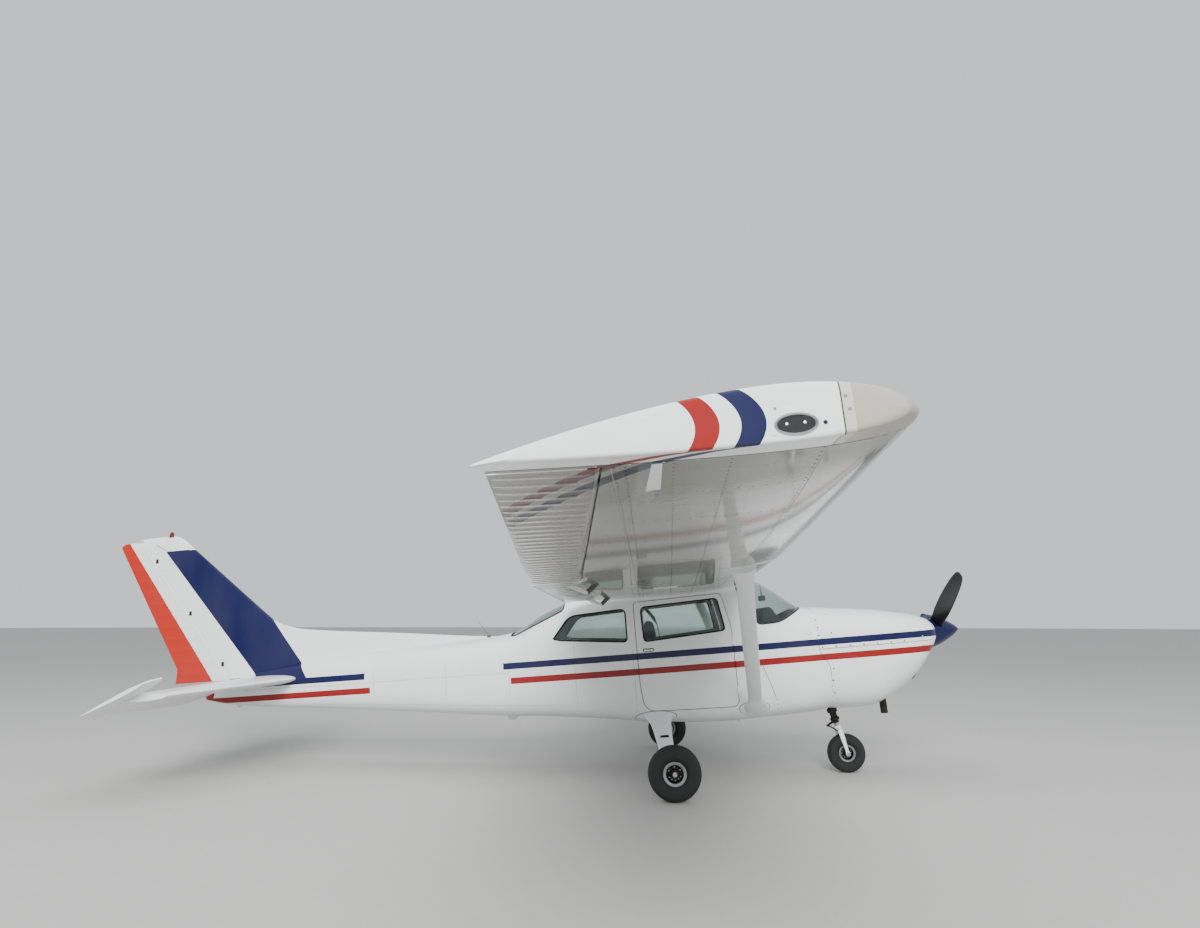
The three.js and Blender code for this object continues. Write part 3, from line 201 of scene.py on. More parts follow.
def rounded_edges(piece: Object, width: float, segments: int = 3, angle: float = 40.0) -> Object:
    """Rounds a piece's sharp edges.

    Args:
        piece: the piece to round.
        width: the bevel's width.
        segments: how many faces it has across.
        angle: the least angle, in degrees, of an edge that is rounded.

    Returns:
        The same piece.
    """
    modifier = piece.modifiers.new("round", "BEVEL")
    modifier.width = width
    modifier.segments = segments
    modifier.angle_limit = math.radians(angle)
    only(piece)
    bpy.ops.object.modifier_apply(modifier=modifier.name)
    return piece


def boolean(piece: Object, operation: str, *others: Object) -> Object:
    """Cuts, joins or trims a piece by others, which are used up.

    Args:
        piece: the piece that stays.
        operation: DIFFERENCE, UNION or INTERSECT.
        others: the solids that it is worked with.

    Returns:
        The same piece.
    """
    for other in others:
        modifier = piece.modifiers.new("cut", "BOOLEAN")
        modifier.operation = operation
        modifier.solver = "EXACT"
        modifier.object = other
        only(piece)
        bpy.ops.object.modifier_apply(modifier=modifier.name)
        bpy.data.objects.remove(other)
    return piece


def joined(name: str, pieces: Sequence[Object]) -> Object:
    """Joins pieces into one object.

    Args:
        name: the joined piece's name.
        pieces: what it is made of.

    Returns:
        The joined piece.
    """
    only(*pieces)
    if len(pieces) > 1:
        bpy.ops.object.join()
    pieces[0].name = pieces[0].data.name = name
    return pieces[0]


def frame_about(axis: Vector) -> tuple[Vector, Vector]:
    """Finds two directions square to an axis and to each other.

    Args:
        axis: the axis' direction.

    Returns:
        The two directions, each one unit long.
    """
    other = Vector((0, 0, 1)) if abs(axis.normalized().z) < 0.9 else Vector((1, 0, 0))
    first = axis.cross(other).normalized()
    return first, axis.cross(first).normalized()


def lathe(
    name: str,
    profile: Sequence[tuple[float, float]],
    centre: Sequence[float],
    axis: Sequence[float] = (0, 1, 0),
    steps: int = 48,
) -> Object:
    """Turns a profile about an axis.

    Args:
        name: the new piece's name.
        profile: points of radius and height along the axis, from the axis and back to it, or closed.
        centre: the point on the axis at height 0.
        axis: the axis' direction.
        steps: how many faces go round.

    Returns:
        The turned piece.
    """
    along = Vector(axis).normalized()
    first, second = frame_about(along)
    turns = [2 * math.pi * i / steps for i in range(steps)]
    ways = [first * math.cos(t) + second * math.sin(t) for t in turns]
    middle = Vector(centre)
    rings = [[middle + along * height + way * radius for way in ways] for radius, height in profile]
    return wrap(name, rings, ends=False)


def rod(
    name: str,
    start: Sequence[float],
    end: Sequence[float],
    radius: float,
    end_radius: float | None = None,
    steps: int = 20,
    edge: float = 0.0,
) -> Object:
    """Makes a round bar or cone from one point to another.

    Args:
        name: the new piece's name.
        start: the middle of its first end.
        end: the middle of its other end.
        radius: its radius at the start.
        end_radius: its radius at the end, the same where it isn't given.
        steps: how many faces go round.
        edge: the chamfer at both ends.

    Returns:
        The bar.
    """
    run = Vector(end) - Vector(start)
    last = radius if end_radius is None else end_radius
    length = run.length
    profile = [(0, 0), (radius - edge, 0), (radius, edge), (last, length - edge), (last - edge, length)]
    return lathe(name, [*profile, (0, length)], start, run, steps)


def sweep(
    name: str,
    frames: Sequence[tuple[Vector, Vector, Vector]],
    profile: Sequence[tuple[float, float]],
    closed: bool = False,
) -> Object:
    """Draws a profile along a path.

    Args:
        name: the new piece's name.
        frames: a point, the profile's first direction and its second direction at each step of the path.
        profile: the profile's points in those two directions.
        closed: True joins the path's end to its start.

    Returns:
        The swept piece.
    """
    rings = [[point + across * a + out * b for a, b in profile] for point, across, out in frames]
    return wrap(name, [*rings, rings[0]] if closed else rings, ends=not closed)


def circle(radius: float, steps: int = 10, flat: float = 1.0) -> list[tuple[float, float]]:
    """Lists the points of a circle, or of an oval that is flattened in its second direction."""
    turns = [2 * math.pi * i / steps for i in range(steps)]
    return [(radius * math.cos(t), radius * flat * math.sin(t)) for t in turns]


def tube(
    name: str, path: Sequence[Sequence[float]], radius: float, steps: int = 10, closed: bool = False
) -> Object:
    """Bends a round tube along points, with its section carried on without a twist.

    Args:
        name: the new piece's name.
        path: the points of its middle line.
        radius: its radius.
        steps: how many faces go round.
        closed: True joins its end to its start.

    Returns:
        The tube.
    """
    points = [Vector(p) for p in path]
    frames = []
    across = None
    for i, point in enumerate(points):
        before = points[i - 1] if i or closed else point
        after = points[(i + 1) % len(points)] if i + 1 < len(points) or closed else point
        along = (after - before).normalized()
        across = frame_about(along)[0] if across is None else across - along * across.dot(along)
        across.normalize()
        frames.append((point, across, along.cross(across)))
    return sweep(name, frames, circle(radius, steps), closed)


def studs(name: str, spots: Sequence[Spot], radius: float, height: float, sides: int = 8) -> Object:
    """Sets one domed head at each spot, all in one mesh.

    Args:
        name: the new piece's name.
        spots: each head's place and the way that it points.
        radius: a head's radius.
        height: how far it stands proud.
        sides: how many sides a head has.

    Returns:
        The heads.
    """
    bpy.ops.mesh.primitive_uv_sphere_add(segments=sides, ring_count=4, radius=1)
    model = bpy.context.object
    with editing(model):
        bpy.ops.mesh.bisect(plane_co=(0, 0, 0), plane_no=(0, 0, 1), use_fill=True, clear_inner=True)
    shape = np.array([v.co for v in model.data.vertices]) * (radius, radius, height)
    faces = [tuple(p.vertices) for p in model.data.polygons]
    bpy.data.objects.remove(model)
    points, polygons = [], []
    for count, (place, out) in enumerate(spots):
        first, second = frame_about(out)
        turn = np.array([first, second, out.normalized()])
        points.append(shape @ turn + np.array(place))
        polygons += [tuple(v + count * len(shape) for v in face) for face in faces]
    mesh = bpy.data.meshes.new(name)
    mesh.from_pydata(np.concatenate(points), [], polygons)
    piece = bpy.data.objects.new(name, mesh)
    bpy.context.scene.collection.objects.link(piece)
    with editing(piece):
        bpy.ops.mesh.normals_make_consistent(inside=False)
    return piece


def rounded(corners: Sequence[Corner], steps: int = 7) -> list[tuple[float, float]]:
    """Rounds the corners of an outline.

    Args:
        corners: each corner's two coordinates and its radius.
        steps: how many points a round corner has.

    Returns:
        The outline's points.
    """
    points = []
    for i, (x, z, radius) in enumerate(corners):
        here = Vector((x, z))
        if radius <= 0:
            points.append((x, z))
            continue
        before = Vector(corners[i - 1][:2])
        after = Vector(corners[(i + 1) % len(corners)][:2])
        start = here + (before - here).normalized() * radius
        end = here + (after - here).normalized() * radius
        for k in range(steps):
            t = k / (steps - 1)
            points.append(tuple(start * (1 - t) ** 2 + here * 2 * t * (1 - t) + end * t**2))
    return points


def grown(corners: Sequence[Corner], distance: float) -> list[Corner]:
    """Moves an outline's corners outwards, or inwards by a negative distance.

    Args:
        corners: the outline.
        distance: how far each edge moves.

    Returns:
        The moved outline.
    """
    flat = [Vector(c[:2]) for c in corners]
    turning = sum(a.x * b.y - b.x * a.y for a, b in zip(flat, flat[1:] + flat[:1]))
    sense = math.copysign(1, turning)
    moved = []
    for i, (x, z, radius) in enumerate(corners):
        into = (flat[i] - flat[i - 1]).normalized()
        away = (flat[(i + 1) % len(flat)] - flat[i]).normalized()
        half = Vector((into.y + away.y, -into.x - away.x)) * sense
        half *= 2 * distance / half.length_squared
        moved.append((x + half.x, z + half.y, max(0.0, radius + distance) if radius > 0 else 0.0))
    return moved


def side_prism(name: str, corners: Sequence[Corner], y0: float, y1: float) -> Object:
    """Extrudes a side outline across the aircraft from y0 to y1."""
    return prism(name, [Vector((x, y0, z)) for x, z in rounded(corners)], (0, y1 - y0, 0))


def half_prism(name: str, corners: Sequence[Corner], side: int) -> Object:
    """Extrudes a side outline through the wall on one side of the aircraft alone."""
    near, far = 60 * side, 900 * side
    return side_prism(name, corners, near, far)


def straight(x: float, x0: float, x1: float, y0: float, y1: float) -> float:
    """Reads a straight line through two points."""
    return y0 + (x - x0) / (x1 - x0) * (y1 - y0)


@dataclass
class Curve:
    """A smooth line through points, which never swings past them."""

    xs: Sequence[float]
    ys: Sequence[float]
    slopes: list[float] = field(init=False, default_factory=list)

    def __post_init__(self) -> None:
        """Sorts the points and works out the slope at each."""
        pairs = sorted(zip(self.xs, self.ys))
        self.xs, self.ys = [p[0] for p in pairs], [p[1] for p in pairs]
        runs = [b - a for a, b in zip(self.xs, self.xs[1:])]
        rises = [(b - a) / run for a, b, run in zip(self.ys, self.ys[1:], runs)]
        self.slopes = [rises[0]]
        for i in range(1, len(rises)):
            a, b = rises[i - 1], rises[i]
            weight = (2 * runs[i] + runs[i - 1], runs[i] + 2 * runs[i - 1])
            self.slopes.append(sum(weight) / (weight[0] / a + weight[1] / b) if a * b > 0 else 0.0)
        self.slopes.append(rises[-1])

    def __call__(self, x: float) -> float:
        """Reads the line, which keeps its end value outside its points.

        Args:
            x: where it is read.

        Returns:
            The line's value there.
        """
        x = min(max(x, self.xs[0]), self.xs[-1])
        i = next(k for k in range(len(self.xs) - 1) if x <= self.xs[k + 1])
        run = self.xs[i + 1] - self.xs[i]
        t = (x - self.xs[i]) / run
        return (
            (1 + 2 * t) * (1 - t) ** 2 * self.ys[i]
            + t * (1 - t) ** 2 * run * self.slopes[i]
            + t * t * (3 - 2 * t) * self.ys[i + 1]
            + t * t * (t - 1) * run * self.slopes[i + 1]
        )


# Finishes


def linear(code: str) -> tuple[float, float, float, float]:
    """Turns an sRGB hex code into the linear colour that a shader takes."""
    parts = [int(code[i : i + 2], 16) / 255 for i in (1, 3, 5)]
    return (*(c / 12.92 if c <= 0.04045 else ((c + 0.055) / 1.055) ** 2.4 for c in parts), 1.0)


def add_node(
    tree: bpy.types.NodeTree, kind: str, settings: dict | None = None, inputs: dict | None = None
) -> bpy.types.Node:
    """Adds a node with its settings and links.

    Args:
        tree: the node tree that it goes into.
        kind: the node's type.
        settings: its properties.
        inputs: a value or another node's output for each input, by name or number.

    Returns:
        The node.
    """
    node = tree.nodes.new(kind)
    for key, value in (settings or {}).items():
        setattr(node, key, value)
    for key, value in (inputs or {}).items():
        if isinstance(value, bpy.types.NodeSocket):
            tree.links.new(value, node.inputs[key])
        else:
            node.inputs[key].default_value = value
    return node


@dataclass(frozen=True)
class Finish:
    """A surface finish: its name, the record's slot for it, and in `build` what its shader is."""

    name: str
    slot: str

    def material(self) -> bpy.types.Material:
        """Builds the material once, and finds it again after that.

        Returns:
            The material.
        """
        made = bpy.data.materials.get(self.name)
        if made:
            return made
        made = bpy.data.materials.new(self.name)
        made.use_nodes = True
        made.node_tree.nodes.clear()
        shader = self.build(made.node_tree)
        add_node(made.node_tree, "ShaderNodeOutputMaterial", inputs={"Surface": shader.outputs[0]})
        return made

    def build(self, tree: bpy.types.NodeTree) -> bpy.types.Node:
        """Builds the shader and returns its last node."""
        raise NotImplementedError


def principled(tree: bpy.types.NodeTree, **values: object) -> bpy.types.Node:
    """Adds the surface shader; each value is named as its input is, with a low line for a space."""
    inputs = {key.replace("_", " "): value for key, value in values.items()}
    return add_node(tree, "ShaderNodeBsdfPrincipled", inputs=inputs)


def bumped(
    tree: bpy.types.NodeTree, height: Socket, strength: float, depth_mm: float, under: Socket | None = None
) -> Socket:
    """Adds a bump over a height, and over another bump where there is one, and gives its normal.

    Args:
        tree: the node tree.
        height: the height.
        strength: how much of the bump shows.
        depth_mm: how deep a height of 1 is.
        under: the bump that lies under it, if any.

    Returns:
        The bumped normal.
    """
    inputs = {"Strength": strength, "Distance": depth_mm * MM, "Height": height}
    if under is not None:
        inputs["Normal"] = under
    return add_node(tree, "ShaderNodeBump", inputs=inputs).outputs[0]


def spread(
    tree: bpy.types.NodeTree, value: Socket, low: float, high: float, start: float = 0.0, end: float = 1.0
) -> Socket:
    """Maps a value that lies between start and end to one between low and high."""
    inputs = {0: value, 1: start, 2: end, 3: low, 4: high}
    return add_node(tree, "ShaderNodeMapRange", inputs=inputs).outputs[0]


def grain(
    tree: bpy.types.NodeTree, size_mm: float, detail: float = 2.0, stretch: Sequence[float] = (1, 1, 1)
) -> bpy.types.Node:
    """Adds noise whose lumps are about a size across.

    Args:
        tree: the node tree.
        size_mm: the lumps' size in millimetres.
        detail: how much finer noise is mixed in.
        stretch: how much the lumps are drawn out along each axis.

    Returns:
        The noise node.
    """
    place = add_node(tree, "ShaderNodeTexCoord")
    scale = tuple(1 / s for s in stretch)
    mapped = add_node(tree, "ShaderNodeMapping", inputs={"Vector": place.outputs["Object"], "Scale": scale})
    inputs = {"Vector": mapped.outputs[0], "Scale": 1 / (size_mm * MM), "Detail": detail}
    return add_node(tree, "ShaderNodeTexNoise", inputs=inputs)


class Livery(Enum):
    """Which painted pattern a surface carries."""

    PLAIN = "plain"
    BODY = "body"
    RUDDER = "rudder"
    WING = "wing"
    TIP = "tip"


WHITE = "#e9ebeb"
NAVY = "#080f40"
RED = "#8a1413"
RUDDER_RED = "#b3281a"
NOSE_CAP = "#a8a499"
# A lighter strip along the nose cap's lip: a painted highlight on its step.
CAP_LIP_HIGHLIGHT = "#c3c0b8"
SLIT = "#3d3a36"
# Colour multiplied into down-facing paint: partly grime, partly painted shade and painted reflection of a
# dark ground.
UNDERSIDE_SHADE_AND_GRIME = "#7d7970"


def level_place(tree: bpy.types.NodeTree) -> bpy.types.NodeSocket:
    """Gives the place on the level drawing in metres, with z counted from the axle.

    Args:
        tree: the node tree.

    Returns:
        The place's socket.
    """
    place = add_node(tree, "ShaderNodeTexCoord")
    turn = {
        "Vector": place.outputs["Object"],
        "Location": (AXLE_X * MM, 0, MAIN_TYRE_R * MM),
        "Rotation": (0, -PARKED_PITCH, 0),
    }
    return add_node(tree, "ShaderNodeMapping", {"vector_type": "TEXTURE"}, turn).outputs[0]


def ahead_of(tree: bpy.types.NodeTree, place: Socket, low: Sequence[float], high: Sequence[float]) -> Socket:
    """Tells what lies ahead of a line on the side view.

    Args:
        tree: the node tree.
        place: the level place.
        low: the line's lower point, x and z in millimetres.
        high: its upper point.

    Returns:
        A socket that is 1 ahead of the line and 0 behind it.
    """
    lean = (high[0] - low[0]) / (high[1] - low[1])
    start = (low[0] - lean * (low[1] - AXLE_Z)) * MM
    reach = add_node(tree, "ShaderNodeVectorMath", {"operation": "DOT_PRODUCT"}, {0: place, 1: (1, 0, -lean)})
    return combine(tree, "GREATER_THAN", reach.outputs["Value"], start)


def combine(
    tree: bpy.types.NodeTree, operation: str, first: Socket | float, second: Socket | float
) -> Socket:
    """Works out one number from two sockets or values, by a Math node's operation."""
    return add_node(tree, "ShaderNodeMath", {"operation": operation}, {0: first, 1: second}).outputs[0]


def blended(tree: bpy.types.NodeTree, share: Socket, below: Socket | str, above: Socket | str) -> Socket:
    """Mixes two colours, each a socket or a hex code, by a share.

    Args:
        tree: the node tree.
        share: how much of the upper colour shows.
        below: the colour at 0.
        above: the colour at 1.

    Returns:
        The mixed colour's socket.
    """
    below = linear(below) if isinstance(below, str) else below
    above = linear(above) if isinstance(above, str) else above
    mix = add_node(tree, "ShaderNodeMix", {"data_type": "RGBA"}, {"Factor": share, "A": below, "B": above})
    return mix.outputs["Result"]


# Painted marks, in the level drawing's millimetres
NAVY_STRIPE = (1032.0, 1088.0)
RED_STRIPE = (903.0, 958.0)
NAVY_GAP = (-2791.0, -1440.0)
RED_GAP = (-2736.0, -1374.0)
RED_STRIPE_REAR = -4400.0
FIN_BAND_FRONT = ((-3403.0, 1109.0), (-3810.0, 1688.0))
FIN_BAND_REAR = ((-3947.0, 1160.0), (-4923.0, 2440.0))
RUDDER_SPLIT = ((-4390.0, 1127.0), (-5297.0, 2524.0))
TAIL_END_LINE = ((-4390.0, 900.0), (-4300.0, 1127.0))
TAIL_END_TOP = 1116.0
FIN_CAP_SEAM = 2428.0
TIP_BOW = 6.8
TIP_WAIST = 1.618
TIP_FACE = 5.47
TIP_RUN = 1.6
TIP_RED = (0.0725, 0.1365)
TIP_NAVY = (0.192, 0.257)
TIP_CAP = 0.455
TIP_CAP_LIP_HIGHLIGHT = (0.455, 0.483)
TIP_CAP_SLIT = 0.004
WING_RED = (5.4464, 0.6371, -1.0482)
WING_NAVY = (5.3478, 0.9479, -0.6923)
WING_STRIPE_HALF = 0.027


@dataclass(frozen=True)
class Paint(Finish):
    """Polyurethane enamel sprayed on aluminium sheet: an even gloss that wavers with the thin skin."""

    colour: str = WHITE
    livery: Livery = Livery.PLAIN
    roughness: float = 0.3
    coat: float = 0.12
    specular: float = 0.28
    waviness: float = 0.5
    # soil darkens the faces that look down: partly grime, partly painted shade.
    soil: float = 0.0

    def between(self, tree: bpy.types.NodeTree, value: Socket, low: float, high: float) -> Socket:
        """Gives 1 where a value lies between two levels."""
        above = combine(tree, "GREATER_THAN", value, low)
        return combine(tree, "MULTIPLY", above, combine(tree, "LESS_THAN", value, high))

    def body_colour(self, tree: bpy.types.NodeTree) -> Socket:
        """Draws the two side stripes, their bare gap and the band up the fin.

        Args:
            tree: the node tree.

        Returns:
            The colour's socket.
        """
        place = level_place(tree)
        axes = add_node(tree, "ShaderNodeSeparateXYZ", inputs={0: place})
        x, z = axes.outputs[0], axes.outputs[2]
        low, high = ((edge - AXLE_Z) * MM for edge in NAVY_STRIPE)
        stripe = self.between(tree, z, low, high)
        gap = self.between(tree, x, NAVY_GAP[0] * MM, NAVY_GAP[1] * MM)
        stripe = combine(tree, "MULTIPLY", stripe, combine(tree, "SUBTRACT", 1.0, gap))
        ahead_rear = ahead_of(tree, place, *FIN_BAND_REAR)
        stripe = combine(tree, "MULTIPLY", stripe, ahead_rear)
        band = combine(tree, "SUBTRACT", ahead_rear, ahead_of(tree, place, *FIN_BAND_FRONT))
        band = combine(tree, "MULTIPLY", band, self.between(tree, z, low, (FIN_CAP_SEAM - AXLE_Z) * MM))
        colour = blended(tree, combine(tree, "MAXIMUM", stripe, band), self.colour, NAVY)
        low, high = ((edge - AXLE_Z) * MM for edge in RED_STRIPE)
        red = self.between(tree, z, low, high)
        gap = self.between(tree, x, RED_GAP[0] * MM, RED_GAP[1] * MM)
        red = combine(tree, "MULTIPLY", red, combine(tree, "SUBTRACT", 1.0, gap))
        red = combine(tree, "MULTIPLY", red, combine(tree, "GREATER_THAN", x, RED_STRIPE_REAR * MM))
        tail_end = combine(tree, "SUBTRACT", 1.0, ahead_of(tree, place, *TAIL_END_LINE))
        low_down = combine(tree, "LESS_THAN", z, (TAIL_END_TOP - AXLE_Z) * MM)
        tail_end = combine(tree, "MULTIPLY", tail_end, low_down)
        return blended(tree, combine(tree, "MAXIMUM", red, tail_end), colour, RED)

    def rudder_colour(self, tree: bpy.types.NodeTree) -> Socket:
        """Draws the rudder red behind its slanting line."""
        return blended(tree, ahead_of(tree, level_place(tree), *RUDDER_SPLIT), RUDDER_RED, self.colour)

    def wing_colour(self, tree: bpy.types.NodeTree) -> Socket:
        """Draws the red and navy stripes that curve out and forward to each wing tip.

        Args:
            tree: the node tree.

        Returns:
            The colour's socket.
        """
        axes = add_node(tree, "ShaderNodeSeparateXYZ", inputs={0: level_place(tree)})
        x, out = axes.outputs[0], combine(tree, "ABSOLUTE", axes.outputs[1], 0.0)
        colour = self.colour
        for (start, slope, bend), code in ((WING_RED, RED), (WING_NAVY, NAVY)):
            bent = combine(tree, "MULTIPLY", x, bend)
            line = combine(tree, "MULTIPLY", x, combine(tree, "ADD", bent, slope))
            off = combine(tree, "SUBTRACT", combine(tree, "SUBTRACT", out, line), start)
            steep = combine(tree, "ADD", combine(tree, "MULTIPLY", bent, 2.0), slope)
            square = combine(tree, "ADD", combine(tree, "MULTIPLY", steep, steep), 1.0)
            length = combine(tree, "SQRT", square, 0.0)
            off = combine(tree, "DIVIDE", combine(tree, "ABSOLUTE", off, 0.0), length)
            colour = blended(tree, combine(tree, "LESS_THAN", off, WING_STRIPE_HALF), colour, code)
        return colour

    def tip_colour(self, tree: bpy.types.NodeTree) -> Socket:
        """Draws the tip's bands, its bare nose cap and a painted highlight along the cap's lip.

        Args:
            tree: the node tree.

        Returns:
            The colour's socket.
        """
        axes = add_node(tree, "ShaderNodeSeparateXYZ", inputs={0: level_place(tree)})
        rise = combine(tree, "SUBTRACT", axes.outputs[2], TIP_WAIST)
        bow = combine(tree, "MULTIPLY", combine(tree, "MULTIPLY", rise, rise), TIP_BOW)
        inboard = combine(tree, "SUBTRACT", TIP_FACE, combine(tree, "ABSOLUTE", axes.outputs[1], 0.0))
        run = combine(tree, "MULTIPLY", combine(tree, "MAXIMUM", inboard, 0.0), TIP_RUN)
        swept = combine(tree, "ADD", combine(tree, "ADD", axes.outputs[0], bow), run)
        colour = blended(tree, self.between(tree, swept, *TIP_RED), self.colour, RED)
        colour = blended(tree, self.between(tree, swept, *TIP_NAVY), colour, NAVY)
        colour = blended(tree, combine(tree, "GREATER_THAN", axes.outputs[0], TIP_CAP), colour, NOSE_CAP)
        # Painted highlight: a lighter strip just behind the cap's seam, where the lip's step catches the
        # light.
        colour = blended(tree, self.between(tree, axes.outputs[0], *TIP_CAP_LIP_HIGHLIGHT), colour, CAP_LIP_HIGHLIGHT)
        slit = self.between(tree, axes.outputs[0], TIP_CAP - TIP_CAP_SLIT, TIP_CAP)
        return blended(tree, slit, colour, SLIT)

    def build(self, tree: bpy.types.NodeTree) -> bpy.types.Node:
        """Builds the enamel, a little dulled and stained by weather; where soil is set, faces that look down
        are darkened, partly as grime and partly as painted shade and reflection of a dark ground.

        Args:
            tree: the node tree.

        Returns:
            The shader.
        """
        drawings = {
            Livery.BODY: self.body_colour,
            Livery.RUDDER: self.rudder_colour,
            Livery.WING: self.wing_colour,
            Livery.TIP: self.tip_colour,
        }
        colour = drawings[self.livery](tree) if self.livery in drawings else linear(self.colour)
        # Faces that look down are darkened: partly grime, partly painted shade and reflection of a dark
        # ground.
        if self.soil > 0:
            normal = add_node(tree, "ShaderNodeNewGeometry").outputs["Normal"]
            facing = add_node(tree, "ShaderNodeSeparateXYZ", inputs={0: normal}).outputs[2]
            under = combine(tree, "MULTIPLY", combine(tree, "LESS_THAN", facing, -0.4), self.soil)
            below = linear(colour) if isinstance(colour, str) else colour
            settings = {"data_type": "RGBA", "blend_type": "MULTIPLY"}
            underside_shade_mix = {"Factor": under, "A": below, "B": linear(UNDERSIDE_SHADE_AND_GRIME)}
            colour = add_node(tree, "ShaderNodeMix", settings, underside_shade_mix).outputs["Result"]
        weather = grain(tree, 420, 6.0, (1, 1, 2.5)).outputs[0]
        skin = bumped(tree, grain(tree, 260, 1.0, (1, 1, 0.8)).outputs[0], self.waviness, 4.0)
        return principled(
            tree,
            Base_Color=blended(tree, spread(tree, weather, 0.0, 0.07, 0.35, 0.8), colour, "#8b8a84"),
            Roughness=spread(tree, weather, self.roughness - 0.05, self.roughness + 0.07, 0.3, 0.7),
            Specular_IOR_Level=self.specular,
            Coat_Weight=self.coat,
            Coat_Roughness=0.06,
            Normal=bumped(tree, grain(tree, 4, 1.0).outputs[0], 0.06, 0.5, skin),
        )


@dataclass(frozen=True)
class Metal(Finish):
    """Bare metal, with fine scratches and uneven dulling that break up its shine."""

    colour: str = "#9a9c9e"
    roughness: float = 0.35
    grain_mm: float = 3.0
    soiled: str = "#4a4743"
    soil: float = 0.35

    def build(self, tree: bpy.types.NodeTree) -> bpy.types.Node:
        """Builds the metal with soil in uneven patches.

        Args:
            tree: the node tree.

        Returns:
            The shader.
        """
        patch = grain(tree, self.grain_mm * 14, 5.0).outputs[0]
        worn = spread(tree, patch, 0.0, self.soil, 0.45, 0.75)
        return principled(
            tree,
            Base_Color=blended(tree, worn, self.colour, self.soiled),
            Metallic=1.0,
            Roughness=spread(tree, patch, self.roughness - 0.08, self.roughness + 0.14),
            Normal=bumped(tree, grain(tree, self.grain_mm, 4.0).outputs[0], 0.18, 0.4),
        )


@dataclass(frozen=True)
class Rubber(Finish):
    """Vulcanised rubber or vinyl: near black, dull, and greyed by dust where it wears."""

    colour: str = "#191a1b"
    dust: str = "#5d5a55"
    dusty: float = 0.4
    roughness: float = 0.78
    grain_mm: float = 2.0

    def build(self, tree: bpy.types.NodeTree) -> bpy.types.Node:
        """Builds the rubber with its dust and fine pitting.

        Args:
            tree: the node tree.

        Returns:
            The shader.
        """
        patch = grain(tree, 60, 6.0).outputs[0]
        return principled(
            tree,
            Base_Color=blended(tree, spread(tree, patch, 0.0, self.dusty, 0.4, 0.8), self.colour, self.dust),
            Roughness=self.roughness,
            Specular_IOR_Level=0.2,
            Normal=bumped(tree, grain(tree, self.grain_mm, 3.0).outputs[0], 0.3, 0.6),
        )


@dataclass(frozen=True)
class Acrylic(Finish):
    """Cast acrylic sheet with a pale green tint, polished clear and lightly hazed by wiping."""

    tint: str = "#d5e2dc"
    clear: float = 1.0
    roughness: float = 0.02

    def build(self, tree: bpy.types.NodeTree) -> bpy.types.Node:
        """Builds the clear sheet.

        Args:
            tree: the node tree.

        Returns:
            The shader.
        """
        haze = grain(tree, 300, 4.0).outputs[0]
        return principled(
            tree,
            Base_Color=linear(self.tint),
            Transmission_Weight=self.clear,
            IOR=1.49,
            Roughness=spread(tree, haze, self.roughness, self.roughness + 0.04),
        )


@dataclass(frozen=True)
class Cloth(Finish):
    """Woven nylon seat cloth: a fine even weave with a soft sheen at grazing angles."""

    colour: str = "#33363b"
    light: str = "#4b4f55"
    thread_mm: float = 3.0

    def build(self, tree: bpy.types.NodeTree) -> bpy.types.Node:
        """Builds the weave; its threads are drawn three times their real width so that they show.

        Args:
            tree: the node tree.

        Returns:
            The shader.
        """
        place = add_node(tree, "ShaderNodeTexCoord").outputs["Object"]
        waves = []
        for direction in ("X", "Z"):
            settings = {"wave_type": "BANDS", "bands_direction": direction}
            inputs = {"Vector": place, "Scale": 1 / (self.thread_mm * MM * 2 * math.pi), "Distortion": 0.6}
            waves.append(add_node(tree, "ShaderNodeTexWave", settings, inputs).outputs["Fac"])
        weave = combine(tree, "MULTIPLY", *waves)
        return principled(
            tree,
            Base_Color=blended(tree, weave, self.colour, self.light),
            Roughness=0.9,
            Sheen_Weight=0.3,
            Normal=bumped(tree, weave, 0.35, 0.8),
        )


@dataclass(frozen=True)
class Plastic(Finish):
    """Moulded or painted plastic with a fine moulded grain."""

    colour: str = "#1b1c1e"
    shade: str = "#2b2c2f"
    roughness: float = 0.5
    grain_mm: float = 1.6

    def build(self, tree: bpy.types.NodeTree) -> bpy.types.Node:
        """Builds the plastic with its grain.

        Args:
            tree: the node tree.

        Returns:
            The shader.
        """
        return principled(
            tree,
            Base_Color=blended(tree, grain(tree, 90, 4.0).outputs[0], self.colour, self.shade),
            Roughness=self.roughness,
            Normal=bumped(tree, grain(tree, self.grain_mm, 2.0).outputs[0], 0.2, 0.4),
        )


BODY_PAINT = Paint("body_enamel", "white_paint", livery=Livery.BODY)
WHITE_PAINT = Paint("white_enamel", "white_paint")
# The wing's soil darkens its underside: partly grime, partly painted shade.
WING_PAINT = Paint(
    "wing_enamel", "white_paint", livery=Livery.WING, roughness=0.24, coat=0.7, waviness=2.4, soil=0.9
)
RUDDER_PAINT = Paint("rudder_enamel", "red_paint", livery=Livery.RUDDER)
TIP_PAINT = Paint("tip_enamel_over_glass_fibre", "tip_moulding", livery=Livery.TIP, waviness=0.15)
NAVY_PAINT = Paint("navy_enamel", "navy_paint", NAVY, waviness=0.1, roughness=0.22)
BLACK_PAINT = Paint(
    "black_blade_enamel", "black_blade", "#0b0c0d", roughness=0.4, coat=0.05, specular=0.2, waviness=0.1
)
STEEL = Metal("bare_steel", "bare_steel", "#8f9092", 0.38)
CHROME = Metal("hard_chrome", "bare_steel", "#c9cbcd", 0.12, 2.0, soil=0.1)
ALLOY = Metal("cast_alloy", "wheel_alloy", "#b4b6b8", 0.4)
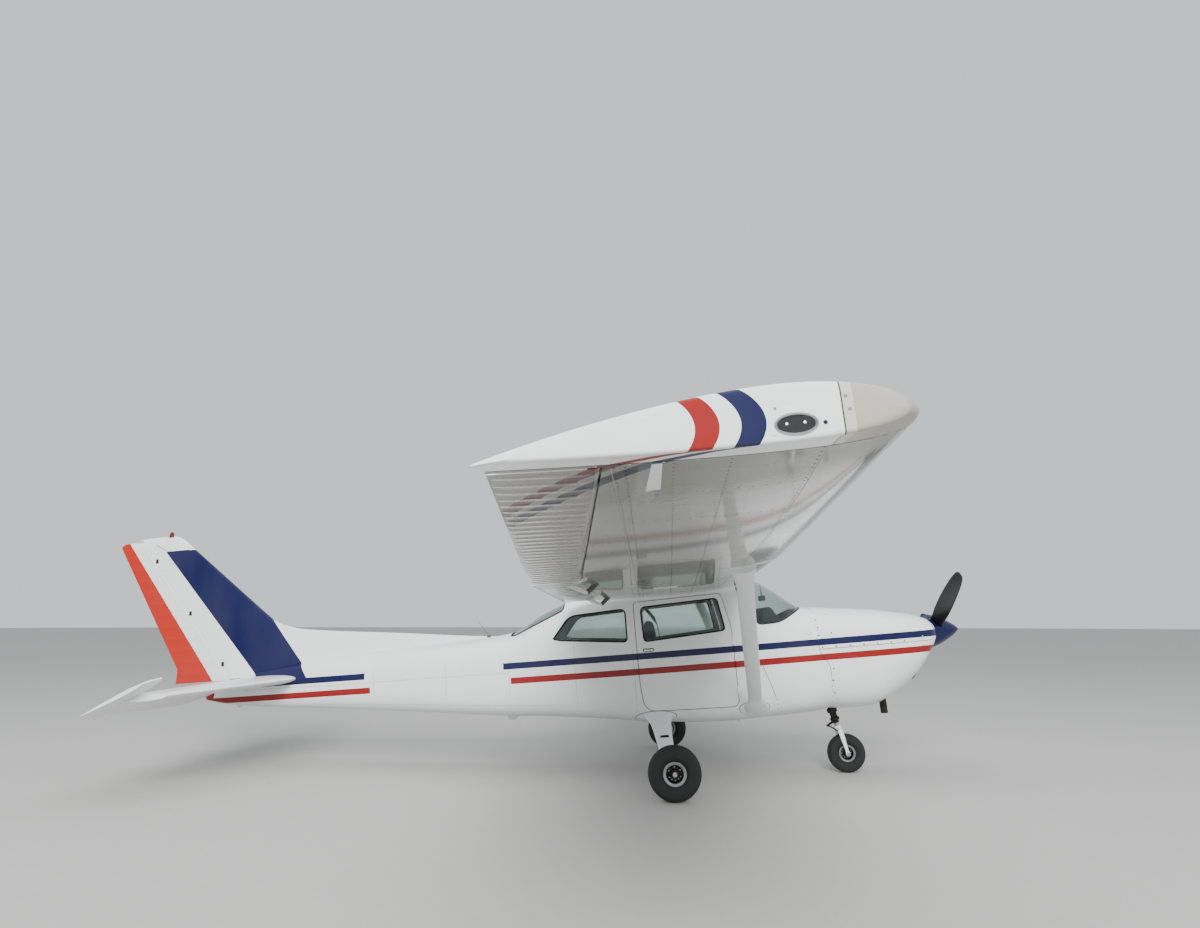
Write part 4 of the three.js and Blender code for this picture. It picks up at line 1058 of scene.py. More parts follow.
DARK_STEEL = Metal("dark_steel", "bare_steel", "#4a4642", 0.55, 4.0, "#1d1b19", 0.8)
IRON = Metal("cast_engine_alloy", "bare_steel", "#6d6e70", 0.6, 5.0)
TYRE_RUBBER = Rubber("tyre_rubber", "tyre_rubber", "#101011", dusty=0.14)
SEAL_RUBBER = Rubber("window_seal_rubber", "window_glass", "#16181a", dusty=0.15, roughness=0.55)
GLASS = Acrylic("tinted_acrylic", "window_glass")
LENS_RED = Acrylic("red_lens", "beacon_lens", "#7d0f14", 0.55, 0.05)
LENS_CLEAR = Acrylic("clear_lens", "window_glass", "#f2f5f6", 1.0, 0.0)
LINING = Plastic("cabin_lining_plastic", "panel_plastic", "#9a9b96", "#8b8c88", 0.7)
FRAME_GREY = Plastic("window_frame_plastic", "panel_plastic", "#565c59", "#474c4a", 0.55)
PANEL_BLACK = Plastic("panel_plastic", "panel_plastic", "#1a1b1d", "#242528", 0.6)
CARPET = Cloth("floor_carpet", "seat_fabric", "#3a3c40", "#52555a", 5.0)
SEAT_CLOTH = Cloth("seat_cloth", "seat_fabric")


def deliver(
    piece: Object,
    finish: Finish | Sequence[Finish],
    *nodes: str,
    body: str = "airframe",
    slot: str = "",
    angle: float = 35.0,
) -> Object:
    """Parks a finished piece, dresses it and hands it to the frame.

    Args:
        piece: the piece, drawn level in millimetres.
        finish: its finish, or one for each of its material numbers.
        nodes: the CAD nodes that it stands for.
        body: the CAD body that it rides on.
        slot: the record's material slot, where it isn't the finish's own; not used.
        angle: edges sharper than this, in degrees, stay sharp.

    Returns:
        The piece.
    """
    only(piece)
    bpy.ops.object.shade_smooth_by_angle(angle=math.radians(angle))
    piece.data.transform(PARK)
    finishes = [finish] if isinstance(finish, Finish) else list(finish)
    while len(piece.data.materials) < len(finishes):
        piece.data.materials.append(None)
    for i, each in enumerate(finishes):
        piece.data.materials[i] = each.material()
    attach(piece, body)
    if nodes:
        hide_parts(*nodes)
    LOG.info("%s on %s: %d faces", piece.name, body, len(piece.data.polygons))
    return piece


# Body sections


@dataclass(frozen=True)
class Section:
    """One section of a hull: a squared ellipse, sharper or rounder above and below its widest line."""

    half: float
    bottom: float
    wide: float
    top: float
    lower: float
    upper: float


@dataclass
class Hull:
    """A body drawn by its sections, nose to tail."""

    table: Sequence[tuple[float, ...]]
    ring_points: int = 132
    curves: list[Curve] = field(init=False, default_factory=list)

    def __post_init__(self) -> None:
        """Draws one smooth line through each column of the table."""
        columns = list(zip(*self.table))
        self.curves = [Curve(columns[0], column) for column in columns[1:]]

    def at(self, x: float) -> Section:
        """Gives the section at a place along the body."""
        return Section(*(curve(x) for curve in self.curves))

    def ring(self, x: float, inset: float = 0.0, place: float | None = None) -> list[Vector]:
        """Walks round a section in even steps, from the keel.

        Args:
            x: the section's place.
            inset: how far under the skin the ring lies.
            place: where along the body the ring is set, x where it isn't given.

        Returns:
            The ring's points.
        """
        s = self.at(x)
        fine = []
        for i in range(481):
            angle = 2 * math.pi * i / 480 - math.pi / 2
            c, n = math.cos(angle), math.sin(angle)
            power = 2 / (s.upper if n > 0 else s.lower)
            height = (s.top - s.wide if n > 0 else s.wide - s.bottom) - inset
            y = (s.half - inset) * math.copysign(abs(c) ** power, c)
            fine.append((y, s.wide + height * math.copysign(abs(n) ** power, n)))
        line = np.array(fine)
        steps = np.concatenate([[0], np.cumsum(np.hypot(*np.diff(line, axis=0).T))])
        even = np.linspace(0, steps[-1], self.ring_points + 1)[:-1]
        ys, zs = np.interp(even, steps, line[:, 0]), np.interp(even, steps, line[:, 1])
        return [Vector((x if place is None else place, y, z)) for y, z in zip(ys, zs)]

    def stations(self, front: float, rear: float, step: float = 42.0) -> list[float]:
        """Lists even places from front to rear, about a step apart."""
        count = max(2, round(abs(front - rear) / step))
        return [front + (rear - front) * i / count for i in range(count + 1)]

    def shell(self, name: str, front: float, rear: float, outer: float, inner: float) -> Object:
        """Makes the wall between two depths under the skin, open at both ends.

        Args:
            name: the new piece's name.
            front: where it starts.
            rear: where it ends.
            outer: the depth of its outer face.
            inner: the depth of its inner face.

        Returns:
            The wall.
        """
        places = self.stations(front, rear)
        rings = [self.ring(x, outer) for x in places] + [self.ring(x, inner) for x in reversed(places)]
        return wrap(name, [*rings, rings[0]], ends=False)

    def solid(self, name: str, front: float, rear: float, inset: float = 0.0) -> Object:
        """Makes the filled body over a stretch of its length."""
        return wrap(name, [self.ring(x, inset) for x in self.stations(front, rear)])

    def share(self, point: Vector, inset: float = 0.0) -> float:
        """Gives 1 on the skin, or on the surface an inset under it, less inside and more outside.

        Args:
            point: the point.
            inset: how far under the skin the surface lies.

        Returns:
            The share.
        """
        s = self.at(point.x)
        above = point.z > s.wide
        power, height = (s.upper, s.top - s.wide) if above else (s.lower, s.wide - s.bottom)
        across, up = abs(point.y) / (s.half - inset), abs(point.z - s.wide) / (height - inset)
        return across**power + up**power

    def half_at(self, x: float, z: float) -> float:
        """Gives the body's half width at a place along it and a height.

        Args:
            x: the place along the body.
            z: the height.

        Returns:
            The half width.
        """
        s = self.at(x)
        power, height = (s.upper, s.top - s.wide) if z > s.wide else (s.lower, s.wide - s.bottom)
        return s.half * max(0.0, 1 - (abs(z - s.wide) / height) ** power) ** (1 / power)

    def out(self, x: float, z: float, side: int) -> Vector:
        """Gives the way out of the skin on one side.

        Args:
            x: the place along the body.
            z: the height.
            side: 1 for port and -1 for starboard.

        Returns:
            A unit direction.
        """
        step = 4.0
        along = (self.half_at(x + step, z) - self.half_at(x - step, z)) / (2 * step)
        up = (self.half_at(x, z + step) - self.half_at(x, z - step)) / (2 * step)
        return Vector((-along, side, -up)).normalized()

    def on_side(self, x: float, z: float, side: int, proud: float = 0.0) -> Vector:
        """Gives a point on the skin on one side, or proud of it."""
        return Vector((x, side * self.half_at(x, z), z)) + self.out(x, z, side) * proud

    def crown(self, x: float, y: float, above: bool = True) -> Vector:
        """Gives the point of the back, or of the belly, over a place on the plan.

        Args:
            x: the place along the body.
            y: the place across it.
            above: False for the belly.

        Returns:
            The point.
        """
        s = self.at(x)
        power, height = (s.upper, s.top - s.wide) if above else (s.lower, s.wide - s.bottom)
        rise = height * max(0.0, 1 - (abs(y) / s.half) ** power) ** (1 / power)
        return Vector((x, y, s.wide + rise if above else s.wide - rise))


BODY = Hull(
    (
        (1450, 500, 465, 960, 1366, 3.2, 2.7),
        (1330, 510, 450, 960, 1374, 3.4, 2.6),
        (1200, 520, 445, 960, 1468, 3.6, 2.3),
        (1070, 530, 440, 960, 1572, 3.8, 2.3),
        (940, 540, 438, 960, 1660, 4.0, 2.6),
        (800, 548, 436, 980, 1738, 4.2, 3.4),
        (600, 555, 430, 990, 1778, 4.4, 5.0),
        (300, 558, 438, 990, 1792, 4.6, 6.0),
        (0, 556, 461, 990, 1784, 4.6, 6.0),
        (-300, 548, 490, 990, 1745, 4.4, 6.0),
        (-600, 530, 528, 990, 1680, 4.2, 5.5),
        (-840, 508, 553, 990, 1600, 4.0, 4.6),
        (-1100, 480, 578, 985, 1500, 3.8, 3.6),
        (-1390, 445, 598, 980, 1352, 3.6, 3.0),
        (-1650, 405, 621, 975, 1326, 3.4, 2.8),
        (-2200, 325, 678, 980, 1300, 3.0, 2.6),
        (-2800, 245, 742, 985, 1270, 2.8, 2.5),
        (-3400, 165, 803, 990, 1236, 2.6, 2.4),
        (-3900, 105, 848, 1000, 1192, 2.4, 2.3),
        (-4200, 66, 888, 1010, 1112, 2.2, 2.2),
        (-4450, 30, 945, 1005, 1060, 2.0, 2.0),
    )
)
COWL = Hull(
    (
        (1450, 500, 465, 960, 1366, 3.2, 2.7),
        (1600, 498, 455, 960, 1348, 3.2, 2.7),
        (1830, 486, 459, 970, 1321, 3.0, 2.7),
        (2000, 470, 520, 985, 1298, 2.8, 2.7),
        (2130, 450, 592, 1000, 1274, 2.7, 2.7),
        (2260, 424, 690, 1020, 1248, 2.6, 2.7),
        (2350, 395, 795, 1035, 1222, 2.6, 2.7),
        (2400, 370, 870, 1045, 1203, 2.6, 2.7),
        (2435, 340, 915, 1055, 1188, 2.6, 2.6),
        (2457, 300, 945, 1060, 1168, 2.5, 2.5),
    )
)
SEAT = 0.3
CLEAR = 6.0
FIREWALL_X = 1450.0
CABIN_REAR_X = -1390.0
TAIL_END_X = -4450.0


def line_inner_faces(piece: Object, hull: Hull, depth: float = 26.0) -> None:
    """Gives a wall's inner faces material number 1, for its lining.

    Args:
        piece: the wall.
        hull: the body that it was cut from.
        depth: the depth past which a face is inner.
    """
    while len(piece.data.materials) < 2:
        piece.data.materials.append(None)
    for face in piece.data.polygons:
        face.material_index = 1 if hull.share(face.center, depth) < 1 else 0


@dataclass
class Cabin:
    """The cabin: its thick shell, doors, hatch, windows and their frames."""

    wall: float = 35.0
    glass: tuple[float, float] = (5.0, 11.0)
    door: Sequence[Corner] = (
        (-217, 1528, 25), (560, 1548, 25), (622, 1250, 40), (622, 578, 60), (-195, 592, 110), (-217, 900, 30),
    )
    door_window: Sequence[Corner] = ((-166, 1488, 55), (528, 1516, 40), (578, 1222, 45), (-156, 1176, 45))
    side_window: Sequence[Corner] = (
        (-292, 1486, 55), (-812, 1462, 70), (-975, 1262, 20), (-900, 1242, 30), (-292, 1186, 45),
    )
    hatch: Sequence[Corner] = ((-915, 1190, 40), (-915, 700, 40), (-1300, 712, 40), (-1300, 1165, 40))
    windshield: Sequence[Corner] = (
        (800, 2000, 0), (800, 1672, 30), (700, 1592, 20), (752, 1403, 60), (868, 1246, 40), (1068, 1252, 60),
        (1340, 1384, 0), (1340, 2000, 0),
    )
    rear_window: Sequence[Corner] = (
        (-850, 2000, 0), (-850, 1512, 40), (-1330, 1318, 30), (-1385, 1318, 0), (-1385, 2000, 0),
    )

    def build(self) -> None:
        """Makes every piece of the cabin's shell."""
        self.build_shell()
        for label, side in SIDES.items():
            self.build_door(label, side)
            self.build_side_window(label, side)
        self.build_hatch()
        self.build_screens()

    def build_shell(self) -> None:
        """Cuts doorways, hatch and windows out of the wall."""
        shell = BODY.shell("cabin_shell", FIREWALL_X, CABIN_REAR_X, 0, self.wall)
        cutters = [half_prism("doorway", grown(self.door, CLEAR), side) for side in SIDES.values()]
        cutters += [half_prism("opening", self.side_window, side) for side in SIDES.values()]
        cutters.append(half_prism("hatchway", grown(self.hatch, CLEAR), 1))
        cutters.append(side_prism("screen", self.windshield, -900, 900))
        cutters.append(side_prism("rear_screen", self.rear_window, -900, 900))
        boolean(shell, "DIFFERENCE", *cutters)
        line_inner_faces(shell, BODY)
        nodes = ("cabin_floor", "cabin_roof", "forward_deck", "cabin_side_left", "cabin_side_right")
        deliver(shell, (BODY_PAINT, LINING), *nodes, angle=24)

    def pane(self, name: str, cutter: Object, front: float, rear: float) -> Object:
        """Cuts a pane of glass from the layer just under the skin."""
        sheet = BODY.shell(name, front, rear, *self.glass)
        return boolean(sheet, "INTERSECT", cutter)

    def band(
        self,
        name: str,
        corners: Sequence[Corner],
        side: int,
        layer: tuple[float, float],
        edges: tuple[float, float],
    ) -> Object:
        """Cuts a band that runs round a window out of a layer of the wall.

        Args:
            name: the new piece's name.
            corners: the window's opening.
            side: 1 for port, -1 for starboard and 0 for a screen that runs across.
            layer: the depths of the band's outer and inner faces.
            edges: how far its outer and inner edges lie outside the opening.

        Returns:
            The band.
        """
        xs = [corner[0] for corner in corners]
        ring = BODY.shell(name, max(xs) + 60, min(xs) - 60, *layer)
        outer, inner = (grown(corners, edge) for edge in edges)
        cut = (lambda c: half_prism("cut", c, side)) if side else (lambda c: side_prism("cut", c, -900, 900))
        boolean(ring, "INTERSECT", cut(outer))
        return boolean(ring, "DIFFERENCE", cut(inner))

    def edge_window(self, name: str, corners: Sequence[Corner], side: int, body: str) -> None:
        """Finishes a window with its black seal, the pale frame round it and the grey one inside.

        Args:
            name: the window's name.
            corners: its opening.
            side: 1 for port, -1 for starboard and 0 for a screen.
            body: the CAD body that it rides on.
        """
        seal = self.band(f"{name}_seal", corners, side, (-0.8, 4.8), (-0.3, -11))
        deliver(seal, SEAL_RUBBER, body=body, angle=24)
        lining = self.band(f"{name}_lining", corners, side, (11.4, 34), (-0.3, -13))
        deliver(lining, FRAME_GREY, body=body, angle=24)
        frame = self.band(f"{name}_frame", corners, side, (-2.2, -0.1), (17, 1))
        deliver(frame, BODY_PAINT, body=body, angle=24)

    def build_door(self, label: str, side: int) -> None:
        """Makes one door with its window and frame.

        Args:
            label: left or right.
            side: 1 for port and -1 for starboard.
        """
        body = f"door_{label}"
        door = BODY.shell(f"door_{label}_skin", 720, -300, 0, self.wall)
        boolean(door, "INTERSECT", half_prism("leaf", self.door, side))
        boolean(door, "DIFFERENCE", half_prism("light", self.door_window, side))
        line_inner_faces(door, BODY)
        deliver(door, (BODY_PAINT, LINING), f"cabin_door_{label}", body=body, angle=24)
        front = half_prism("glass", grown(self.door_window, -SEAT), side)
        pane = self.pane(f"door_{label}_glass", front, 720, -300)
        deliver(pane, GLASS, f"door_window_{label}", body=body, angle=24)
        self.edge_window(f"door_{label}_window", self.door_window, side, body)

    def build_side_window(self, label: str, side: int) -> None:
        """Makes one rear side window.

        Args:
            label: left or right.
            side: 1 for port and -1 for starboard.
        """
        cutter = half_prism("glass", grown(self.side_window, -SEAT), side)
        pane = self.pane(f"side_glass_{label}", cutter, -200, -1080)
        deliver(pane, GLASS, f"side_window_{label}", angle=24)
        self.edge_window(f"side_window_{label}", self.side_window, side, "airframe")

    def build_hatch(self) -> None:
        """Makes the baggage hatch on the port side."""
        hatch = BODY.shell("hatch_skin", -860, -1360, 0, self.wall)
        boolean(hatch, "INTERSECT", half_prism("leaf", self.hatch, 1))
        line_inner_faces(hatch, BODY)
        deliver(hatch, (BODY_PAINT, LINING), "baggage_door", body="baggage_hatch", angle=24)

    def build_screens(self) -> None:
        """Makes the windshield and the rear window."""
        screen = side_prism("cut", grown(self.windshield, -SEAT), -900, 900)
        pane = self.pane("windshield_glass", screen, 1400, 640)
        deliver(pane, GLASS, "windshield", angle=24)
        self.edge_window("windshield", self.windshield, 0, "airframe")
        screen = side_prism("cut", grown(self.rear_window, -SEAT), -900, 900)
        pane = self.pane("rear_window_glass", screen, -800, CABIN_REAR_X)
        deliver(pane, GLASS, "rear_window", angle=24)
        self.edge_window("rear_window", self.rear_window, 0, "airframe")


@dataclass
class Cowl:
    """The engine cowl in two halves, with its air inlets."""

    skin: float = 9.0
    front: float = 2457.0
    split_z: float = 1000.0
    inlet: Sequence[Corner] = ((165, 1012, 25), (165, 1120, 25), (275, 1112, 30), (275, 1020, 30))
    shaft_z: float = 1065.0
    shaft_hole: float = 80.0
    exit: tuple[float, float, float, float] = (1440, 1640, 150, 560)
    exhaust: tuple[float, float, float, float] = (1936, -185, 392, 31)

    def inlet_outline(self, side: int) -> list[Vector]:
        """Gives an inlet's outline on the cowl's face."""
        return [Vector((self.front, side * y, z)) for y, z in rounded(self.inlet, 9)]

    def build(self) -> None:
        """Makes both halves, cut for the inlets, the shaft, the air exit and the pipe."""
        places = COWL.stations(FIREWALL_X + SEAT, self.front, 36)
        inner = [x - self.skin if x == places[-1] else x for x in places]
        rings = [COWL.ring(x) for x in places]
        shell = wrap("cowl", rings)
        core = wrap("core", [COWL.ring(x, self.skin) for x in (inner[0] - 60, *inner)])
        shaft = rod("shaft", (2300, 0, self.shaft_z), (2600, 0, self.shaft_z), self.shaft_hole, steps=64)
        low, high, half, top = self.exit
        belly = block("exit", (low, -half, 300), (high, half, top))
        x, y, _, radius = self.exhaust
        pipe = rod("pipe", (x, y, 380), (x, y, 640), radius + 10, steps=40)
        inlets = [
            prism("inlet", [p - Vector((100, 0, 0)) for p in self.inlet_outline(side)], (200, 0, 0))
            for side in SIDES.values()
        ]
        boolean(shell, "DIFFERENCE", core, shaft, belly, pipe, *inlets)
        only(shell)
        bpy.ops.object.duplicate()
        lower = bpy.context.object
        upper_half = block("upper", (0, -900, self.split_z + SEAT), (3000, 900, 2000))
        lower_half = block("lower", (0, -900, 0), (3000, 900, self.split_z))
        boolean(shell, "INTERSECT", upper_half).name = "cowl_upper_skin"
        boolean(lower, "INTERSECT", lower_half).name = "cowl_lower_skin"
        deliver(shell, BODY_PAINT, "cowl_upper", angle=28)
        deliver(lower, BODY_PAINT, "cowl_lower", angle=28)


@dataclass(frozen=True)
class Station:
    """One station of a wing or tail surface: its edges, height and thickness in chords."""

    out: float
    x_le: float
    x_te: float
    thick: float
    z_le: float = 1086.0
    z_te: float = 1086.0
    camber: float = 0.0


def aerofoil(share: float, thick: float, camber: float) -> tuple[float, float]:
    """Gives the half thickness and the middle line of a four-digit section, in chords.

    Args:
        share: the place along the chord, 0 at the nose.
        thick: the greatest thickness.
        camber: the middle line's rise.

    Returns:
        Both heights.
    """
    share = min(max(share, 0.0), 1.0)
    powers = 0.2969 * math.sqrt(share)
    for power, factor in enumerate((-0.126, -0.3516, 0.2843, -0.1036), 1):
        powers += factor * share**power
    peak = 0.4
    if share < peak:
        line = camber / peak**2 * (2 * peak * share - share**2)
    else:
        line = camber / (1 - peak) ** 2 * (1 - 2 * peak + 2 * peak * share - share**2)
    return 5 * thick * powers, line


@dataclass
class Surface:
    """A wing or tail surface lofted through its stations, lying flat or standing up as a fin does."""

    stations: Sequence[Station]
    side: int = 1
    upright: bool = False

    def at(self, out: float) -> Station:
        """Gives the station at a distance out, on straight lines between the table's own.

        Args:
            out: the distance out.

        Returns:
            The station.
        """
        pairs = list(zip(self.stations, self.stations[1:]))
        low, high = next(((a, b) for a, b in pairs if out <= b.out), pairs[-1])
        t = (out - low.out) / (high.out - low.out)
        keys = ("x_le", "x_te", "thick", "z_le", "z_te", "camber")
        return Station(out, *(getattr(low, k) * (1 - t) + getattr(high, k) * t for k in keys))

    def place(self, out: float, x: float, height: float) -> Vector:
        """Sets a point of a section in the level drawing."""
        return Vector((x, height, out)) if self.upright else Vector((x, self.side * out, height))

    def middle(self, x: float, out: float) -> tuple[float, float]:
        """Gives the middle height and the half thickness at a place on the plan.

        Args:
            x: the place along the chord.
            out: the distance out.

        Returns:
            Both heights.
        """
        s = self.at(out)
        chord = s.x_le - s.x_te
        share = (s.x_le - x) / chord
        half, line = aerofoil(share, s.thick, s.camber)
        base = 0.0 if self.upright else s.z_le + share * (s.z_te - s.z_le)
        return base + line * chord, half * chord

    def on_skin(self, x: float, out: float, upper: bool, proud: float = 0.0) -> Spot:
        """Gives a point of the upper or lower skin and the way out of it.

        Args:
            x: the place along the chord.
            out: the distance out.
            upper: True for the upper skin.
            proud: how far off the skin the point stands.

        Returns:
            The point and the way out.
        """
        sense = 1 if upper else -1

        def at(px: float, po: float) -> Vector:
            """Gives the skin's point at a place on the plan."""
            middle, half = self.middle(px, po)
            return self.place(po, px, middle + sense * half)

        step = 3.0
        point = at(x, out)
        along = at(x + step, out) - at(x - step, out)
        span = at(x, out + step) - at(x, out - step)
        normal = along.cross(span).normalized()
        way = Vector((0, sense, 0)) if self.upright else Vector((0, 0, sense))
        normal = normal if normal.dot(way) > 0 else -normal
        return point + normal * proud, normal

    def ring(self, out: float, steps: int = 30) -> list[Vector]:
        """Walks round a whole section from its trailing edge over the top.

        Args:
            out: the distance out.
            steps: how many points each face has.

        Returns:
            The ring's points.
        """
        s = self.at(out)
        ring = []
        for i in range(2 * steps):
            share = (1 + math.cos(math.pi * i / steps)) / 2
            x = s.x_le - share * (s.x_le - s.x_te)
            middle, half = self.middle(x, out)
            ring.append(self.place(out, x, middle + half if i <= steps else middle - half))
        return ring

    def loft(self, name: str, outs: Sequence[float]) -> Object:
        """Lofts the whole section through distances out."""
        return wrap(name, [self.ring(out) for out in outs])

    def moving_ring(self, out: float, hinge: float, bead: float = 0.0) -> list[Vector]:
        """Walks round the part of a section behind its hinge, with a round nose.

        Args:
            out: the distance out.
            hinge: the hinge's x there.
            bead: how far a pressed rib lifts the skin there.

        Returns:
            The ring's points.
        """
        s = self.at(out)
        skin = []
        steps = 16
        for i in range(steps):
            x = s.x_te + (hinge - s.x_te) * (1 - math.cos(math.pi * i / steps)) / 2
            middle, half = self.middle(x, out)
            share = i / steps
            lift = bead * max(0.0, math.sin(math.pi * min(1.0, max(0.0, (share - 0.12) / 0.78)))) ** 0.4
            skin.append((x, middle, half + lift))
        middle, radius = self.middle(hinge, out)
        ring = [self.place(out, x, m + h) for x, m, h in skin]
        turns = [math.pi * (0.5 - k / 12) for k in range(13)]
        ring += [self.place(out, hinge + radius * math.cos(t), middle + radius * math.sin(t)) for t in turns]
        return ring + [self.place(out, x, m - h) for x, m, h in reversed(skin)]


def beaded_outs(inner: float, outer: float, pitch: float, height: float) -> list[tuple[float, float]]:
    """Lists stations across a surface with pressed ribs, each with how far the rib lifts the skin.

    Args:
        inner: the first station.
        outer: the last station.
        pitch: the distance between ribs.
        height: a rib's height.

    Returns:
        Pairs of distance out and lift.
    """
    ribs = max(1, round((outer - inner) / pitch))
    pitch = (outer - inner) / ribs
    rise = ((0.30, 0.0), (0.38, 0.35), (0.44, 0.85))
    shape = ((0.0, 0.0), *rise, (0.5, 1.0), *((1 - place, lift) for place, lift in reversed(rise)))
    pairs = [(inner + (i + place) * pitch, height * lift) for i in range(ribs) for place, lift in shape]
    return [*pairs, (outer, 0.0)]


WING_STATIONS = (
    Station(556, 805, -828, 0.12, 1662, 1580, 0.02),
    Station(2540, 805, -828, 0.12, 1732, 1638, 0.02),
    Station(5330, 692, -512, 0.125, 1846, 1795, 0.02),
)


@dataclass
class Wing:
    """One wing: its main surface, flap, aileron, drooped tip and strut."""

    label: str
    side: int
    surface: Surface = field(init=False)
    flap: tuple[float, float, float] = (606.0, 2526.0, -505.0)
    aileron: tuple[float, float, float, float] = (2547.0, 5290.0, -520.0, -205.0)
    end_gap: float = 12.0
    brackets: tuple[float, float] = (820.0, 2280.0)
    aileron_lugs: tuple[float, float, float] = (2800.0, 3900.0, 5050.0)
    pivot: tuple[float, float] = (-490.0, 95.0)
    lug_half: float = 9.0
    strut_low: tuple[float, float, float] = (765.0, 505.0, 542.0)
    strut_high: tuple[float, float, float] = (541.0, 2490.0, 1640.0)
    strut_size: tuple[float, float] = (116.0, 46.0)
    tip: Sequence[tuple[float, ...]] = (
        (0, 1, 0, 0, 0), (60, 1.03, 0.5, 14, 8), (105, 1.07, 4, 42, 11), (138, 1.06, 10, 66, 12),
        (155, 0.93, 17, 90, 12),
    )
    tip_face: float = 148.0
    tip_rim: float = 16.0

    def __post_init__(self) -> None:
        """Draws the wing's surface on its own side."""
        self.surface = Surface(WING_STATIONS, self.side)

    def build(self) -> None:
        """Makes every piece of this wing."""
        self.build_main()
        self.build_flap()
        self.build_aileron()
        self.build_tip()
        self.build_strut()

    def hinge_x(self, out: float) -> float:
        """Gives the aileron hinge's place along the chord."""
        inner, outer, x_inner, x_outer = self.aileron
        return straight(out, inner, outer, x_inner, x_outer)

    def bay(self, inner: float, outer: float, x_inner: float, x_outer: float) -> list[Object]:
        """Makes what cuts a bay for a moving surface: the part behind its line and its nose's room.

        Args:
            inner: the bay's inboard end.
            outer: its outboard end.
            x_inner: the hinge's x inboard.
            x_outer: its x outboard.

        Returns:
            The two cutters.
        """
        plan = [
            (x_inner + 2, inner), (x_outer + 2, outer), (-1200, outer), (-1200, inner),
        ]
        zone = prism("bay", [Vector((x, self.side * y, 1200)) for x, y in plan], (0, 0, 1200))
        (z0, r0), (z1, r1) = self.surface.middle(x_inner, inner), self.surface.middle(x_outer, outer)
        ends = ((x_inner, self.side * inner, z0), (x_outer, self.side * outer, z1))
        return [zone, rod("nose_room", *ends, r0 + CLEAR, r1 + CLEAR, 48)]

    def bracket(self, out: float, on_wing: bool) -> Object:
        """Makes a flap's hanger under the wing, or the flap's own arm beside it.

        Args:
            out: its distance out.
            on_wing: True for the hanger.

        Returns:
            The bracket.
        """
        x, drop = self.pivot
        z = self.surface.middle(x, out)[0] - drop
        feet = []
        for foot in (-390, -445) if on_wing else (-575, -650):
            middle, half = self.surface.middle(foot, out)
            feet.append((foot, middle - half + 8, 0))
        eye = 9
        if on_wing:
            outline = [(x - eye, z - eye, 8), (x + 20, z - eye, 8), *feet, (x - eye, z + eye, 8)]
        else:
            outline = [(x + eye, z - eye, 8), (x + eye, z + eye, 8), *feet, (x - eye, z - eye, 8)]
        inner = out - self.lug_half if on_wing else out + 0.8
        plate = side_prism("bracket", outline, self.side * inner, self.side * (inner + self.lug_half))
        return rounded_edges(plate, 1.5, 2)

    def build_main(self) -> None:
        """Makes the fixed wing with its two bays, hangers and lugs."""
        outs = [556, 1050, 1540, 2050, 2540, 3100, 3660, 4220, 4780, 5330]
        wing = self.surface.loft(f"wing_{self.label}_skin", outs)
        inner, outer, x_inner, x_outer = self.aileron
        flap_x = self.flap[2]
        cutters = self.bay(500, inner, flap_x, flap_x)
        gap = self.end_gap
        cutters += self.bay(inner - gap, outer + gap, self.hinge_x(inner - gap), self.hinge_x(outer + gap))
        boolean(wing, "DIFFERENCE", *cutters)
        parts = [wing]
        for out in self.aileron_lugs:
            x = self.hinge_x(out)
            middle, radius = self.surface.middle(x, out)
            ends = ((x + radius, self.side * out), (x + 70, self.side * out))
            low = (ends[0][0] + 1, ends[0][1] - self.lug_half, middle - 18)
            parts.append(block("lug", low, (ends[1][0], ends[1][1] + self.lug_half, middle + 18), 2))
        wing = joined(f"wing_{self.label}_skin", parts)
        deliver(wing, WING_PAINT, f"wing_{self.label}", angle=30)
        hangers = joined(f"flap_hangers_{self.label}", [self.bracket(out, True) for out in self.brackets])
        deliver(hangers, FRAME_GREY, slot="white_paint", angle=30)

    def build_flap(self) -> None:
        """Makes the flap, with its pressed ribs and its two arms."""
        inner, outer, hinge = self.flap
        pairs = beaded_outs(inner, outer, 148, 3.2)
        rings = [self.surface.moving_ring(out, hinge, lift) for out, lift in pairs]
        flap = wrap(f"flap_{self.label}_skin", rings)
        body = "flap_port" if self.side > 0 else "flap_starboard"
        deliver(flap, WING_PAINT, f"flap_{self.label}", body=body, angle=30)
        arms = joined(f"flap_arms_{self.label}", [self.bracket(out, False) for out in self.brackets])
        deliver(arms, WHITE_PAINT, body=body, angle=30)

    def build_aileron(self) -> None:
        """Makes the aileron, with its pressed ribs."""
        inner, outer, _, _ = self.aileron
        pairs = beaded_outs(inner, outer, 92, 3.2)
        rings = [self.surface.moving_ring(out, self.hinge_x(out), lift) for out, lift in pairs]
        aileron = wrap(f"aileron_{self.label}_skin", rings)
        body = "aileron_port" if self.side > 0 else "aileron_starboard"
        deliver(aileron, WING_PAINT, f"aileron_{self.label}", body=body, angle=30)

